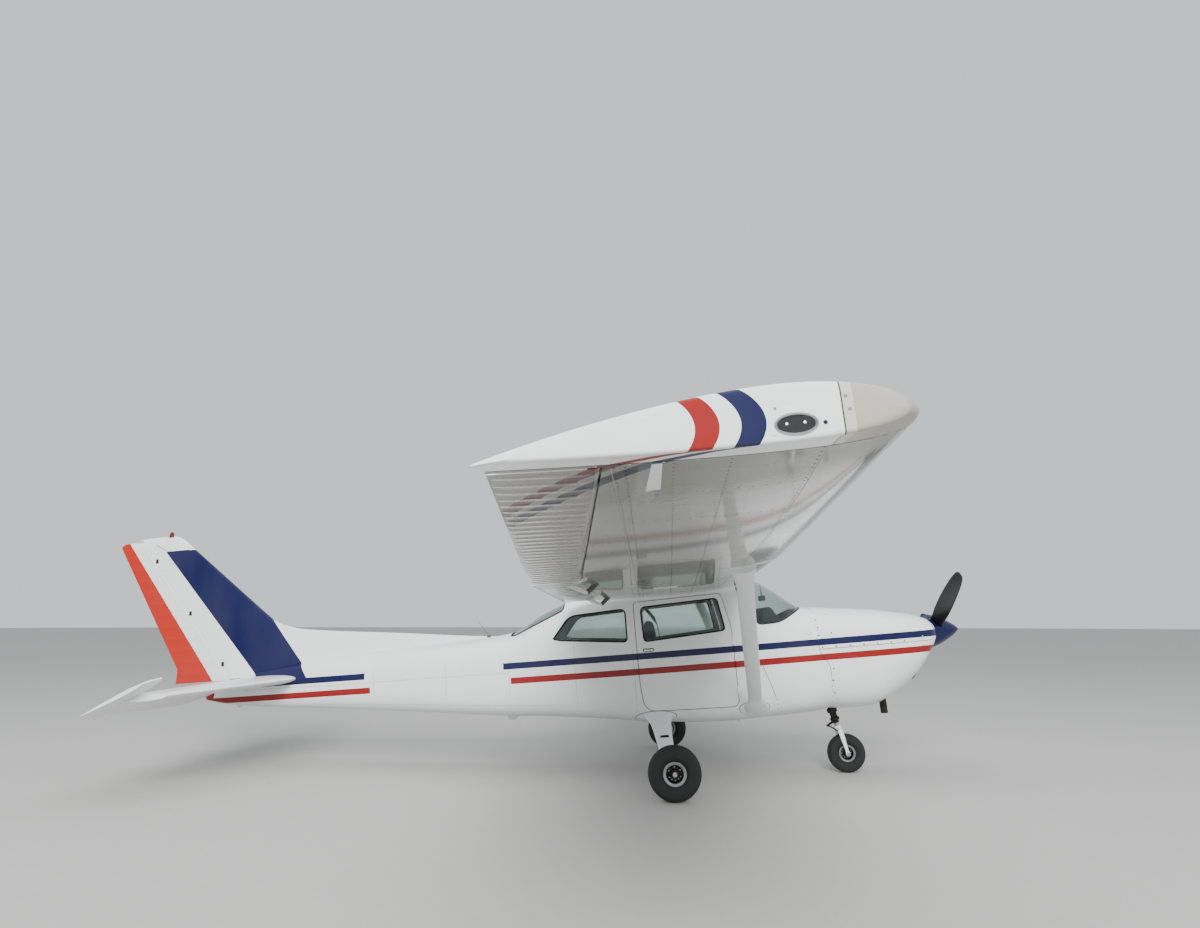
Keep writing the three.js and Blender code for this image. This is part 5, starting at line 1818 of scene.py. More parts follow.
    def build_tip(self) -> None:
        """Makes the tip: full and blunt, with its nose swept back and a rounded outer rim."""
        columns = list(zip(*self.tip))
        height, droop, front, rear = (Curve(columns[0], column) for column in columns[1:])
        end = WING_STATIONS[-1]
        chord = end.x_le - end.x_te
        face, rim = self.tip_face, self.tip_rim
        places = [((face - rim) * k / 10, 0.0) for k in range(10)]
        turns = [math.pi / 2 * k / 8 for k in range(9)]
        places += [(face - rim + rim * math.sin(t), rim * (1 - math.cos(t))) for t in turns]
        rings = []
        for out, inset in places:
            length = chord - front(out) + rear(out)
            ring = []
            for i in range(72):
                share = (1 + math.cos(math.pi * i / 36)) / 2
                half, line = aerofoil(share, end.thick, end.camber)
                floor = line - half
                level = line + half if i <= 36 else floor
                z = end.z_le + share * (end.z_te - end.z_le)
                z += (floor + (level - floor) * height(out)) * chord - droop(out)
                x = end.x_le - front(out) - share * length
                middle = end.z_le + share * (end.z_te - end.z_le) + line * chord - droop(out)
                z -= math.copysign(min(inset, 0.8 * abs(z - middle)), z - middle)
                x += inset * (2 * share - 1)
                ring.append(Vector((x, self.side * (end.out + SEAT + out), z)))
            rings.append(ring)
        tip = wrap(f"tip_{self.label}_moulding", rings)
        deliver(tip, TIP_PAINT, f"wing_tip_{self.label}", angle=40)

    def build_strut(self) -> None:
        """Makes the strut, a streamlined tube with a cuff at each end."""
        low = Vector((self.strut_low[0], self.side * self.strut_low[1], self.strut_low[2]))
        high = Vector((self.strut_high[0], self.side * self.strut_high[1], self.strut_high[2]))
        strut = streamlined(
            f"strut_{self.label}", low, high, self.strut_size,
            ((0, 1.6, 1.6), (0.045, 1.6, 1.6), (0.09, 1, 1), (0.9, 1, 1), (0.95, 1.2, 1.35), (1, 1.45, 1.8)),
        )
        boolean(strut, "DIFFERENCE", BODY.solid("body", 1000, 500, -SEAT))
        above = [self.lowered_ring(out) for out in (1800, 2540, 3200)]
        boolean(strut, "DIFFERENCE", wrap("wing", above))
        deliver(strut, WHITE_PAINT, f"wing_strut_{self.label}", angle=30)

    def lowered_ring(self, out: float) -> list[Vector]:
        """Gives a wing section a little low, with everything over it, to trim the strut."""
        ring = self.surface.ring(out)
        return [p + Vector((0, 0, -SEAT if i > 30 else 200)) for i, p in enumerate(ring)]


def streamlined(
    name: str,
    start: Vector,
    end: Vector,
    size: tuple[float, float],
    stations: Sequence[tuple[float, float, float]],
    steps: int = 40,
) -> Object:
    """Makes an oval bar whose chord and thickness change smoothly along it.

    Args:
        name: the new piece's name.
        start: the middle of its first end.
        end: the middle of its other end.
        size: its chord and thickness.
        stations: at each share of its length, how many times its chord and thickness it has.
        steps: how many points go round.

    Returns:
        The bar.
    """
    run = end - start
    along = run.normalized()
    across = along.cross(Vector((1, 0, 0))).normalized()
    face = across.cross(along).normalized()
    columns = list(zip(*stations))
    chord, thick = Curve(columns[0], columns[1]), Curve(columns[0], columns[2])
    rings = []
    for k in range(49):
        share = k / 48
        a, b = size[0] / 2 * chord(share), size[1] / 2 * thick(share)
        turns = [2 * math.pi * i / steps for i in range(steps)]
        rings.append([start + run * share + face * a * math.cos(t) + across * b * math.sin(t) for t in turns])
    return wrap(name, rings)


# Tail


FIN = Surface(
    (
        Station(1130, -3230, -4775, 0.075),
        Station(1250, -3348, -4762, 0.075),
        Station(2440, -4630, -5368, 0.075),
        Station(2520, -4712, -5408, 0.072),
        Station(2560, -4768, -5330, 0.058),
        Station(2584, -4830, -5110, 0.040),
    ),
    upright=True,
)


@dataclass
class Tail:
    """The tail: its cone, fin with the ridge ahead of it, rudder, stabiliser halves and elevator."""

    skin: float = 12.0
    hinge_low: tuple[float, float] = (-4288.0, 1217.0)
    hinge_high: tuple[float, float] = (-5064.0, 2363.0)
    rudder_bottom: float = 1118.0
    rudder_top: float = 2546.0
    nose_low: float = 36.0
    nose_high: float = 22.0
    ridge: Sequence[tuple[float, float, float]] = (
        (-1430, 1318, 20), (-1650, 1336, 28), (-2560, 1440, 36), (-3330, 1526, 44), (-3500, 1552, 46),
        (-3650, 1592, 48), (-3760, 1642, 50), (-3900, 1762, 50),
    )
    ridge_foot: float = 1200.0
    stabiliser: Sequence[Station] = (
        Station(40, -3480, -4612, 0.085),
        Station(220, -3510, -4606, 0.085),
        Station(1560, -3850, -4520, 0.085),
        Station(1660, -3880, -4500, 0.080),
        Station(1712, -3930, -4450, 0.055),
    )
    stab_z: float = 1086.0
    elevator_hinge: float = -4200.0
    elevator_root: float = 78.0
    horn: float = 1575.0
    droop: float = math.radians(23)
    elevator_nose: tuple[float, float] = (35.5, 24.5)
    tube: float = 20.0

    def build(self) -> None:
        """Makes every piece of the tail."""
        self.build_cone()
        self.build_fin()
        self.build_rudder()
        for label, side in SIDES.items():
            self.build_stabiliser(label, side)
        self.build_elevator()
        self.build_beacon()

    def hinge_x(self, z: float) -> float:
        """Gives the rudder hinge's place at a height."""
        return straight(z, self.hinge_low[1], self.hinge_high[1], self.hinge_low[0], self.hinge_high[0])

    def nose_radius(self, z: float) -> float:
        """Gives the rudder nose's radius at a height."""
        return straight(z, self.hinge_low[1], self.hinge_high[1], self.nose_low, self.nose_high)

    def build_cone(self) -> None:
        """Makes the tail cone, slotted for the elevator's tube."""
        cone = BODY.shell("tail_cone_skin", CABIN_REAR_X, TAIL_END_X + 2, 0, self.skin)
        tube = rod(
            "room", (self.elevator_hinge, -200, self.stab_z), (self.elevator_hinge, 200, self.stab_z),
            self.tube + CLEAR, steps=32,
        )
        boolean(cone, "DIFFERENCE", tube)
        cap = wrap("cap", [BODY.ring(TAIL_END_X + 14, 2), BODY.ring(TAIL_END_X + 2, 2)])
        cone = joined("tail_cone_skin", [cone, cap])
        deliver(cone, BODY_PAINT, "tail_cone", angle=28)

    def nose_cutter(self, slack: float) -> Object:
        """Makes the room that the rudder's round nose turns in.

        Args:
            slack: how much room is left round the nose.

        Returns:
            The cutter.
        """
        low, high = self.rudder_bottom - 2 * slack, self.rudder_top + 2 * slack
        ends = [(self.hinge_x(z), 0, z) for z in (low, high)]
        return rod("nose", *ends, self.nose_radius(low) + slack, self.nose_radius(high) + slack, 48)

    def build_fin(self) -> None:
        """Makes the fin and the ridge that runs forward from it."""
        outs = [1130, 1250, 1560, 1860, 2150, 2440, 2480, 2520, 2545, 2560, 2575, 2584]
        fin = FIN.loft("fin_skin", outs)
        boolean(fin, "UNION", self.ridge_solid())
        lean = [(self.hinge_x(z) + 4, z, 0) for z in (900, 2900)]
        behind = side_prism("behind", [*lean, (-6500, 2900, 0), (-6500, 900, 0)], -300, 300)
        body = BODY.solid("body", CABIN_REAR_X + 10, TAIL_END_X, -SEAT)
        boolean(fin, "DIFFERENCE", behind, self.nose_cutter(CLEAR), body)
        deliver(fin, BODY_PAINT, "fin", angle=30)

    def ridge_solid(self) -> Object:
        """Makes the ridge along the body's back, narrow at its top.

        Returns:
            The ridge.
        """
        columns = list(zip(*self.ridge))
        top, half = Curve(columns[0], columns[1]), Curve(columns[0], columns[2])
        rings = []
        for k in range(61):
            x = self.ridge[0][0] + (self.ridge[-1][0] - self.ridge[0][0]) * k / 60
            high, wide = top(x), half(x)
            side = [(wide, self.ridge_foot - 50), (wide, self.ridge_foot)]
            for i in range(1, 13):
                t = i / 12
                out = wide * (1 - t) ** 1.25 + 9 * t * (1 - t)
                side.append((out, self.ridge_foot + (high - self.ridge_foot) * (1 - (1 - t) ** 1.5)))
            ring = [Vector((x, y, z)) for y, z in side[:-1]] + [Vector((x, 0, high))]
            rings.append(ring + [Vector((x, -y, z)) for y, z in reversed(side[:-1])])
        return wrap("ridge", rings)

    def build_rudder(self) -> None:
        """Makes the rudder with its pressed ribs."""
        ribs = beaded_outs(self.rudder_bottom + 20, 2440, 118, 2.6)
        plain = [(z, 0.0) for z in (2480, 2510, 2530, self.rudder_top)]
        rings = [self.rudder_ring(z, lift) for z, lift in [(self.rudder_bottom, 0.0), *ribs, *plain]]
        rudder = wrap("rudder_skin", rings)
        deliver(rudder, RUDDER_PAINT, "rudder", body="rudder_blade", angle=30)

    def rudder_ring(self, z: float, bead: float) -> list[Vector]:
        """Walks round the rudder at a height, with its nose's own radius.

        Args:
            z: the height.
            bead: how far a pressed rib lifts the skin.

        Returns:
            The ring's points.
        """
        s = FIN.at(z)
        hinge, radius = self.hinge_x(z), self.nose_radius(z)
        skin = []
        steps = 16
        for i in range(steps):
            x = s.x_te + (hinge - s.x_te) * (1 - math.cos(math.pi * i / steps)) / 2
            half = FIN.middle(x, z)[1]
            share = i / steps
            blend = max(0.0, (share - 0.8) / 0.2)
            lift = bead * max(0.0, math.sin(math.pi * min(1.0, max(0.0, (share - 0.1) / 0.8)))) ** 0.4
            skin.append((x, half * (1 - blend) + radius * blend + lift))
        ring = [Vector((x, h, z)) for x, h in skin]
        turns = [math.pi * (0.5 - k / 12) for k in range(13)]
        ring += [Vector((hinge + radius * math.cos(t), radius * math.sin(t), z)) for t in turns]
        return ring + [Vector((x, -h, z)) for x, h in reversed(skin)]

    def build_stabiliser(self, label: str, side: int) -> None:
        """Makes one fixed half of the tailplane.

        Args:
            label: left or right.
            side: 1 for port and -1 for starboard.
        """
        surface = Surface(self.stabiliser, side)
        outs = [40, 220, 500, 850, 1200, 1560, 1610, 1660, 1690, 1712]
        half = surface.loft(f"stabiliser_{label}_skin", outs)
        hinge, z = self.elevator_hinge, self.stab_z
        y_horn, y_far = side * (self.horn - CLEAR), side * 2000
        low, high = min(0, y_far), max(0, y_far)
        root, end = (self.elevator_nose[i] + CLEAR for i in (0, 1))
        ends = ((hinge, side * (self.elevator_root - CLEAR), z), (hinge, side * 1690, z))
        boolean(
            half,
            "DIFFERENCE",
            block("behind", (-5200, low, 800), (hinge + 3, high, 1400)),
            rod("nose_room", *ends, root, end, 48),
            block("horn_room", (-5200, min(y_horn, y_far), 800), (-3700, max(y_horn, y_far), 1400)),
            BODY.solid("body", -3300, TAIL_END_X, -SEAT),
        )
        deliver(half, WHITE_PAINT, f"stabiliser_{label}", angle=30)

    def build_elevator(self) -> None:
        """Makes both halves of the elevator on their tube, drooped as they hang."""
        hinge = self.elevator_hinge
        parts = []
        for side in SIDES.values():
            surface = Surface(self.stabiliser, side)
            ribs = beaded_outs(self.elevator_root + 4, self.horn - 10, 112, 2.6)
            pairs = [(self.elevator_root, 0.0), *ribs]
            moving = wrap("moving", [surface.moving_ring(out, hinge, lift) for out, lift in pairs])
            slant = [(-3700, 0), (-4245, self.elevator_root), (-4650, 205), (-5200, 205), (-5200, 0)]
            corner = prism("slant", [Vector((x, side * y, 800)) for x, y in slant], (0, 0, 600))
            boolean(moving, "DIFFERENCE", corner)
            tip_outs = [self.horn - 10, self.horn + 20, 1600, 1660, 1690, 1712]
            horn = surface.loft("horn", tip_outs)
            inboard = block(
                "trim", (hinge + 20, min(0, side * self.horn), 800), (-3000, max(0, side * self.horn), 1400)
            )
            boolean(horn, "DIFFERENCE", inboard)
            parts += [moving, horn]
        parts.append(rod("tube", (hinge, -90, self.stab_z), (hinge, 90, self.stab_z), self.tube, steps=32))
        elevator = joined("elevator_skin", parts)
        turn = Matrix.Translation((hinge, 0, self.stab_z)) @ Matrix.Rotation(-self.droop, 4, "Y")
        elevator.data.transform(turn @ Matrix.Translation((-hinge, 0, -self.stab_z)))
        deliver(elevator, WHITE_PAINT, "elevator", body="elevator_pair", angle=30)

    def build_beacon(self) -> None:
        """Makes the red beacon on the fin's cap."""
        profile = [(0, 0), (26, 0), (26, 8), (22, 11)]
        turns = [math.pi / 2 * k / 8 for k in range(9)]
        profile += [(21 * math.cos(t), 20 + 36 * math.sin(t)) for t in turns]
        lamp = lathe("beacon_lens", profile, (-4876, 0, 2577), (0, 0, 1), 32)
        deliver(lamp, LENS_RED, "beacon", angle=50)


# Power plant


@dataclass
class PowerPlant:
    """The propeller, its spinner and the exhaust pipe."""

    back: tuple[float, float, float] = (2478.0, 0.0, 1065.0)
    spinner: Sequence[tuple[float, float]] = ((0, 162), (75, 141), (186, 89), (288, 16), (300, 0))
    wall: float = 4.0
    hub: tuple[float, float] = (80.0, 120.0)
    blade_x: float = 75.0
    tilt: float = math.radians(60.9)
    pitch: float = 1346.0
    blade: Sequence[tuple[float, float, float]] = (
        (60, 95, 50), (190, 112, 32), (340, 138, 20), (520, 150, 14), (700, 142, 11), (850, 118, 8),
        (925, 88, 6), (952.5, 52, 4),
    )
    slot: tuple[float, float] = (10.0, 12.0)
    exhaust: tuple[float, float, float] = (1936.0, -185.0, 589.7)
    exhaust_low: float = 392.0
    exhaust_radius: float = 31.0

    def build(self) -> None:
        """Makes the spinner, the propeller and the pipe."""
        self.build_spinner()
        self.build_propeller()
        self.build_exhaust()

    def blade_ring(
        self, radius: float, sign: int, more_chord: float = 0.0, more_thick: float = 0.0
    ) -> list[Vector]:
        """Walks round a blade's section.

        Args:
            radius: the section's distance from the shaft.
            sign: 1 for the upper blade and -1 for the lower one.
            more_chord: what is added to its chord.
            more_thick: what is added to its thickness.

        Returns:
            The section's points.
        """
        columns = list(zip(*self.blade))
        chord = Curve(columns[0], columns[1])(radius) + more_chord
        thick = Curve(columns[0], columns[2])(radius) + more_thick
        forward = Vector((1, 0, 0))
        out = Vector((0, -math.sin(self.tilt), math.cos(self.tilt))) * sign
        lead = forward.cross(out)
        turn = min(math.atan(self.pitch / (2 * math.pi * radius)), 0.95)
        along = lead * math.cos(turn) + forward * math.sin(turn)
        normal = forward * math.cos(turn) - lead * math.sin(turn)
        centre = Vector(self.back) + forward * self.blade_x + out * radius
        ring = []
        for i in range(32):
            share = (1 + math.cos(math.pi * i / 16)) / 2
            half, line = aerofoil(share, thick / chord, 0.02)
            height = line + half if i <= 16 else line - half
            ring.append(centre + along * (0.4 - share) * chord + normal * height * chord)
        return ring

    def build_spinner(self) -> None:
        """Turns the spinner, cuts its two slots and sets its screws."""
        height, radius = zip(*self.spinner)
        line = Curve(height, radius)
        steps = [height[-1] * math.sin(math.pi / 2 * k / 30) for k in range(31)]
        outer = [(line(h), h) for h in steps]
        inner = [(line(h) - self.wall, h) for h in reversed(steps) if line(h) > 3 * self.wall]
        shell = lathe("spinner_shell", [*outer, (0, inner[0][1]), *inner, outer[0]], self.back, (1, 0, 0), 96)
        for sign in (1, -1):
            slot = [self.blade_ring(r, sign, *self.slot) for r in (62, 100, 140, 190, 230)]
            boolean(shell, "DIFFERENCE", wrap("slot", slot))
        face = (self.back[0] + 6, 0, self.back[2])
        plate = rod("plate", self.back, face, radius[0] - 2 * self.wall, steps=96)
        deliver(joined("spinner_shell", [shell, plate]), NAVY_PAINT, "spinner", body="propeller_and_spinner")
        spots = []
        for k in range(12):
            turn = 2 * math.pi * (k + 0.5) / 12
            way = Vector((0, math.cos(turn), math.sin(turn)))
            spots.append((Vector(self.back) + Vector((14, 0, 0)) + way * (line(14) - 0.5), way))
        deliver(studs("spinner_screws", spots, 5, 2, 10), STEEL, body="propeller_and_spinner")

    def build_propeller(self) -> None:
        """Makes the hub with its two twisted blades."""
        radius, length = self.hub
        start = (self.back[0] + 7, 0, self.back[2])
        parts = [rod("hub", start, (start[0] + length - 5, 0, start[2]), radius, steps=48, edge=6)]
        reach = [60, 80, 110, 150, 190, 250, 310, 370, 440, 520, 600, 680, 750, 810, 860]
        reach += [900, 930, 945, 952.5]
        for sign in (1, -1):
            parts.append(wrap("blade", [self.blade_ring(r, sign) for r in reach]))
        propeller = joined("propeller_blades", parts)
        deliver(propeller, BLACK_PAINT, "propeller", body="propeller_and_spinner", angle=50)

    def build_exhaust(self) -> None:
        """Turns the pipe, with its rolled end."""
        x, y, top = self.exhaust
        length, radius = top - self.exhaust_low, self.exhaust_radius
        outer = [(radius, 0), (radius, length - 10), (radius + 2.5, length - 3), (radius + 1, length)]
        inner = [(radius - 3, length), (radius - 4, length - 10), (radius - 4, 0), (radius, 0)]
        pipe = lathe("exhaust_stack", outer + inner, (x, y, top), (0, 0, -1), 40)
        deliver(pipe, DARK_STEEL, "exhaust_pipe")


# Landing gear


def centre_of(node: str) -> Vector:
    """Gives the middle of a CAD node on the level drawing, in millimetres."""
    low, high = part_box(node)
    return PARK.inverted() @ ((low + high) / 2)


@dataclass(frozen=True)
class Wheel:
    """A wheel: its ribbed tyre, its pale rim and the hub inside, dark partly with grease and partly as
    painted shade in the wheel's recess.
    """

    name: str
    body: str
    radius: float
    half: float
    flange: float
    axle: float
    bulge: float = 2.6

    def build(self) -> None:
        """Turns the tyre, the rim and the hub about the CAD wheel's middle."""
        centre = centre_of(f"{self.name}_tyre")
        tyre = lathe(f"{self.name}_tyre_tread", self.tyre_profile(), centre, steps=96)
        deliver(tyre, TYRE_RUBBER, f"{self.name}_tyre", body=self.body, angle=50)
        rim = lathe(f"{self.name}_rim_lip", self.scaled(self.rim_profile()), centre, steps=64)
        deliver(rim, ALLOY, f"{self.name}_rim", body=self.body)
        self.build_hub(centre)

    def scaled(self, shares: Sequence[tuple[float, float]]) -> list[tuple[float, float]]:
        """Turns shares of the flange's radius and the half width into a closed profile on both sides."""
        points = [(r * self.flange, h * self.half) for r, h in shares]
        return [*points, *((r, -h) for r, h in reversed(points)), points[0]]

    def rim_profile(self) -> list[tuple[float, float]]:
        """Draws the rim's outer side from inside its barrel to the tyre's seat."""
        outside = [(0.70, 0.0), (0.72, 0.50), (0.76, 0.61), (0.86, 0.66), (0.97, 0.68), (1.0, 0.66)]
        return [*outside, (0.98, 0.62), (0.88, 0.58), (0.86, 0.50), (0.86, 0.0)]

    def tyre_profile(self) -> list[tuple[float, float]]:
        """Draws the tyre's section: its round carcass with four grooves round the tread.

        Returns:
            The section's points, closed.
        """
        middle = (self.radius + self.flange) / 2
        rise = self.radius - middle

        def crown(h: float) -> float:
            """Gives the carcass' radius at a distance across."""
            return middle + rise * (1 - abs(h / self.half) ** self.bulge) ** (1 / self.bulge)

        depth, width = 5.0, 3.5
        tread = [0.0]
        for groove in (0.16, 0.5):
            edge = groove * self.half
            tread += [edge - width, edge - width + 1, edge + width - 1, edge + width]
        tread = sorted({-h for h in tread} | set(tread))
        grooved = [g * self.half for g in (-0.5, -0.16, 0.16, 0.5)]
        points = []
        for h in tread:
            sunk = any(abs(h - g) < width - 0.5 for g in grooved)
            points.append((crown(h) - (depth if sunk else 0), h))
        side = []
        for k in range(13):
            turn = math.radians(38 + 105 * k / 12)
            c, s = math.cos(turn), math.sin(turn)
            power = 2 / self.bulge
            side.append((middle + rise * math.copysign(abs(c) ** power, c), self.half * abs(s) ** power))
        bead = [(self.flange * 0.985, self.half * 0.60), (self.flange * 0.87, self.half * 0.57)]
        right = side + bead
        return [*((r, -h) for r, h in reversed(right)), *points, *right, (right[-1][0], -right[-1][1])]

    def build_hub(self, centre: Vector) -> None:
        """Makes the web with its holes, the hub and the bolts.

        Args:
            centre: the wheel's middle.
        """
        axle = self.axle + 3
        web = [(axle / self.flange, 0.42), (0.37, 0.42), (0.40, 0.38), (0.42, 0.22), (0.66, 0.16)]
        hub = lathe("web", self.scaled([*web, (0.695, 0.30), (0.695, 0.0)]), centre, steps=64)
        holes = []
        for k in range(6):
            turn = 2 * math.pi * k / 6
            place = centre + Vector((math.cos(turn), 0, math.sin(turn))) * self.flange * 0.54
            along = Vector((0, self.half, 0))
            holes.append(rod("hole", place - along, place + along, self.flange * 0.085, steps=16))
        boolean(hub, "DIFFERENCE", *holes)
        # The web takes the dark steel finish: partly grease, partly painted shade in the wheel's recess.
        deliver(hub, DARK_STEEL, body=self.body, slot="wheel_alloy")
        spots = []
        for side in (1, -1):
            for k in range(6):
                turn = 2 * math.pi * (k + 0.5) / 6
                way = Vector((math.cos(turn), 0, math.sin(turn))) * self.flange * 0.54
                spots.append((centre + way + Vector((0, side * self.half * 0.185, 0)), Vector((0, side, 0))))
        deliver(studs(f"{self.name}_bolts", spots, self.flange * 0.07, 6, 6), STEEL, body=self.body)


@dataclass
class MainGear:
    """A sprung main leg in its fairing, with the brake line down its back."""

    label: str
    side: int
    root: tuple[float, float, float] = (-84.0, 380.0, 598.0)
    foot: tuple[float, float, float] = (-24.0, 1182.0, 218.0)
    size: tuple[float, float] = (156.0, 50.0)
    end_y: float = 1176.0
    taper: Sequence[tuple[float, float, float]] = (
        (0, 1.75, 1.8), (0.10, 1.7, 1.7), (0.14, 1.62, 1.5), (0.18, 1.42, 1.28), (0.24, 1.22, 1.12),
        (0.29, 1.10, 0.94), (1, 0.66, 0.8),
    )
    strap: float = 0.53

    def point(self, share: float, forward: float = 0.0, off: float = 0.0) -> Vector:
        """Gives a point beside the leg's middle line: forward of it and out of its upper face.

        Args:
            share: how far down the leg.
            forward: how far forward of its middle line.
            off: how far out of its upper face.

        Returns:
            The point.
        """
        root, foot = (Vector((p[0], self.side * p[1], p[2])) for p in (self.root, self.foot))
        run = foot - root
        up = run.normalized().cross(Vector((1, 0, 0))).normalized()
        up = up if up.z > 0 else -up
        return root + run * share + Vector((forward, 0, 0)) + up * off

    def build(self) -> None:
        """Makes the leg, its strap and its brake line."""
        ends = self.point(0), self.point(1)
        leg = streamlined(f"leg_{self.label}", *ends, self.size, self.taper, 56)
        y0, y1 = sorted((self.side * self.end_y, self.side * (self.end_y + 200)))
        beyond = block("end", (-400, y0, 0), (400, y1, 600))
        boolean(leg, "DIFFERENCE", BODY.solid("body", 400, -600, -SEAT), beyond)
        deliver(leg, WHITE_PAINT, f"main_leg_{self.label}", angle=40)
        strap = block(f"leg_{self.label}_strap", (-13, -35, -4), (13, 35, 4), 3)
        along = (ends[1] - ends[0]).normalized()
        forward = Vector((1, 0, 0))
        up = along.cross(forward).normalized() * (1 if along.cross(forward).z > 0 else -1)
        turn = Matrix((along, forward, up)).transposed().to_4x4()
        strap.data.transform(Matrix.Translation(self.point(self.strap, 4, 23.5)) @ turn)
        deliver(strap, SEAL_RUBBER, slot="tyre_rubber", angle=50)
        path = [self.point(0.16 + 0.76 * k / 12, -62 + 24 * k / 12, -27 + 5 * k / 12) for k in range(13)]
        line = tube(f"leg_{self.label}_brake_line", path, 4)
        deliver(line, SEAL_RUBBER, slot="tyre_rubber")


@dataclass
class NoseGear:
    """The nose strut: its dark cylinder, bright piston, torque links and white fork."""

    top: tuple[float, float, float] = (1490.0, 0.0, 560.0)
    bore: float = 23.0
    piston: float = 21.5
    fork_y: float = 74.0
    crown: float = 0.649
    elbow: tuple[float, float] = (0.49, 84.0)

    def __post_init__(self) -> None:
        """Lays the strut's line from its top to the CAD wheel's axle."""
        self.start = Vector(self.top)
        self.run = centre_of("nose_tyre") - self.start

    def at(self, share: float, back: float = 0.0, y: float = 0.0) -> Vector:
        """Gives a point beside the strut's line: behind it, and to port."""
        aft = Vector((self.run.z, 0, -self.run.x)).normalized()
        return self.start + self.run * share + aft * back + Vector((0, y, 0))

    def build(self) -> None:
        """Makes the fixed and the turning parts."""
        self.build_cylinder()
        self.build_fork()
        self.build_links()

    def build_cylinder(self) -> None:
        """Makes the cylinder with its collars, and the bars that hold it."""
        length = self.run.length
        steps = [(0, -10), (30, -10), (34, 0), (34, 118), (46, 122), (46, 154), (36, 158), (31, 164)]
        steps += [(31, 200), (42, 205), (42, 225), (self.bore + 2, 225.3), (self.bore, 224), (self.bore, 150)]
        steps.append((0, 150))
        cylinder = lathe("nose_cylinder", steps, self.start, self.run, 40)
        parts = [cylinder]
        for side in (1, -1):
            bolt = self.at(138 / length, 0, side * 50)
            parts.append(rod("bolt", self.at(138 / length, 0, side * 30), bolt, 8, steps=6))
            parts.append(rod("brace", bolt, (1462, side * 105, 500), 7, steps=12))
        strut = joined("nose_cylinder", parts)
        boolean(strut, "DIFFERENCE", BODY.solid("body", FIREWALL_X, 1200, -SEAT))
        deliver(strut, DARK_STEEL, "nose_strut", angle=40)

    def build_fork(self) -> None:
        """Makes the piston, the crown, the two legs and the axle."""
        piston = rod("nose_piston", self.at(0.345), self.at(self.crown), self.piston, steps=40)
        deliver(piston, CHROME, "nose_fork", body="nose_steering")
        low = self.crown - 0.055
        crown = [(0, -34), (27, -34), (31, -28), (31, 10), (26, 22), (0, 26)]
        parts = [lathe("crown", crown, self.at(low), self.run, 40)]
        taper = ((0, 1.1, 1.3), (0.3, 1.0, 1.1), (0.8, 0.72, 0.95), (0.93, 0.95, 1), (1, 0.8, 1))
        for y in (self.fork_y, -self.fork_y):
            bends = [(0.012 * k * k / 16, y * math.sin(math.pi / 8 * k)) for k in range(5)]
            parts.append(tube("shoulder", [self.at(low + drop, 0, across) for drop, across in bends], 19, 20))
            parts.append(streamlined("leg", self.at(low, 0, y), self.at(1.03, 0, y), (40, 14), taper, 28))
        legs = joined("nose_fork_legs", parts)
        deliver(legs, WHITE_PAINT, body="nose_steering", slot="white_steel", angle=50)
        parts = [rod("axle", self.at(1, 0, -89), self.at(1, 0, 89), 11.5, steps=24, edge=1)]
        for side in (1, -1):
            ends = self.at(1, 0, side * 81.5), self.at(1, 0, side * 90)
            parts.append(rod("nut", *ends, 16, steps=6, edge=1.5))
        deliver(joined("nose_axle", parts), STEEL, body="nose_steering", angle=30)

    def build_links(self) -> None:
        """Makes the torque links, which bow out behind the strut, and their collar."""
        share, reach = self.elbow
        upper, lower = self.at(0.455, 26), self.at(self.crown - 0.05, 22)
        parts = [rod("collar", self.at(0.4345), self.at(0.48), 30, steps=40, edge=2)]
        for start in (upper, lower):
            elbow = self.at(share, reach)
            for side in (1, -1):
                bow = self.at(share + (-0.02 if start is upper else 0.02), reach * 0.72)
                first, last = start + Vector((0, side * 22, 0)), elbow + Vector((0, side * 10, 0))
                bow += Vector((0, side * 18, 0))
                shares = [k / 8 for k in range(9)]
                path = [first * (1 - t) ** 2 + bow * 2 * t * (1 - t) + last * t * t for t in shares]
                parts.append(tube("link", path, 6, 12))
            parts.append(rod("pin", start + Vector((0, 28, 0)), start - Vector((0, 28, 0)), 8, steps=16))
        parts.append(rod("elbow", self.at(share, reach, 20), self.at(share, reach, -20), 8, steps=16))
        deliver(joined("nose_torque_links", parts), DARK_STEEL, body="nose_steering", angle=50)


# Cabin fittings


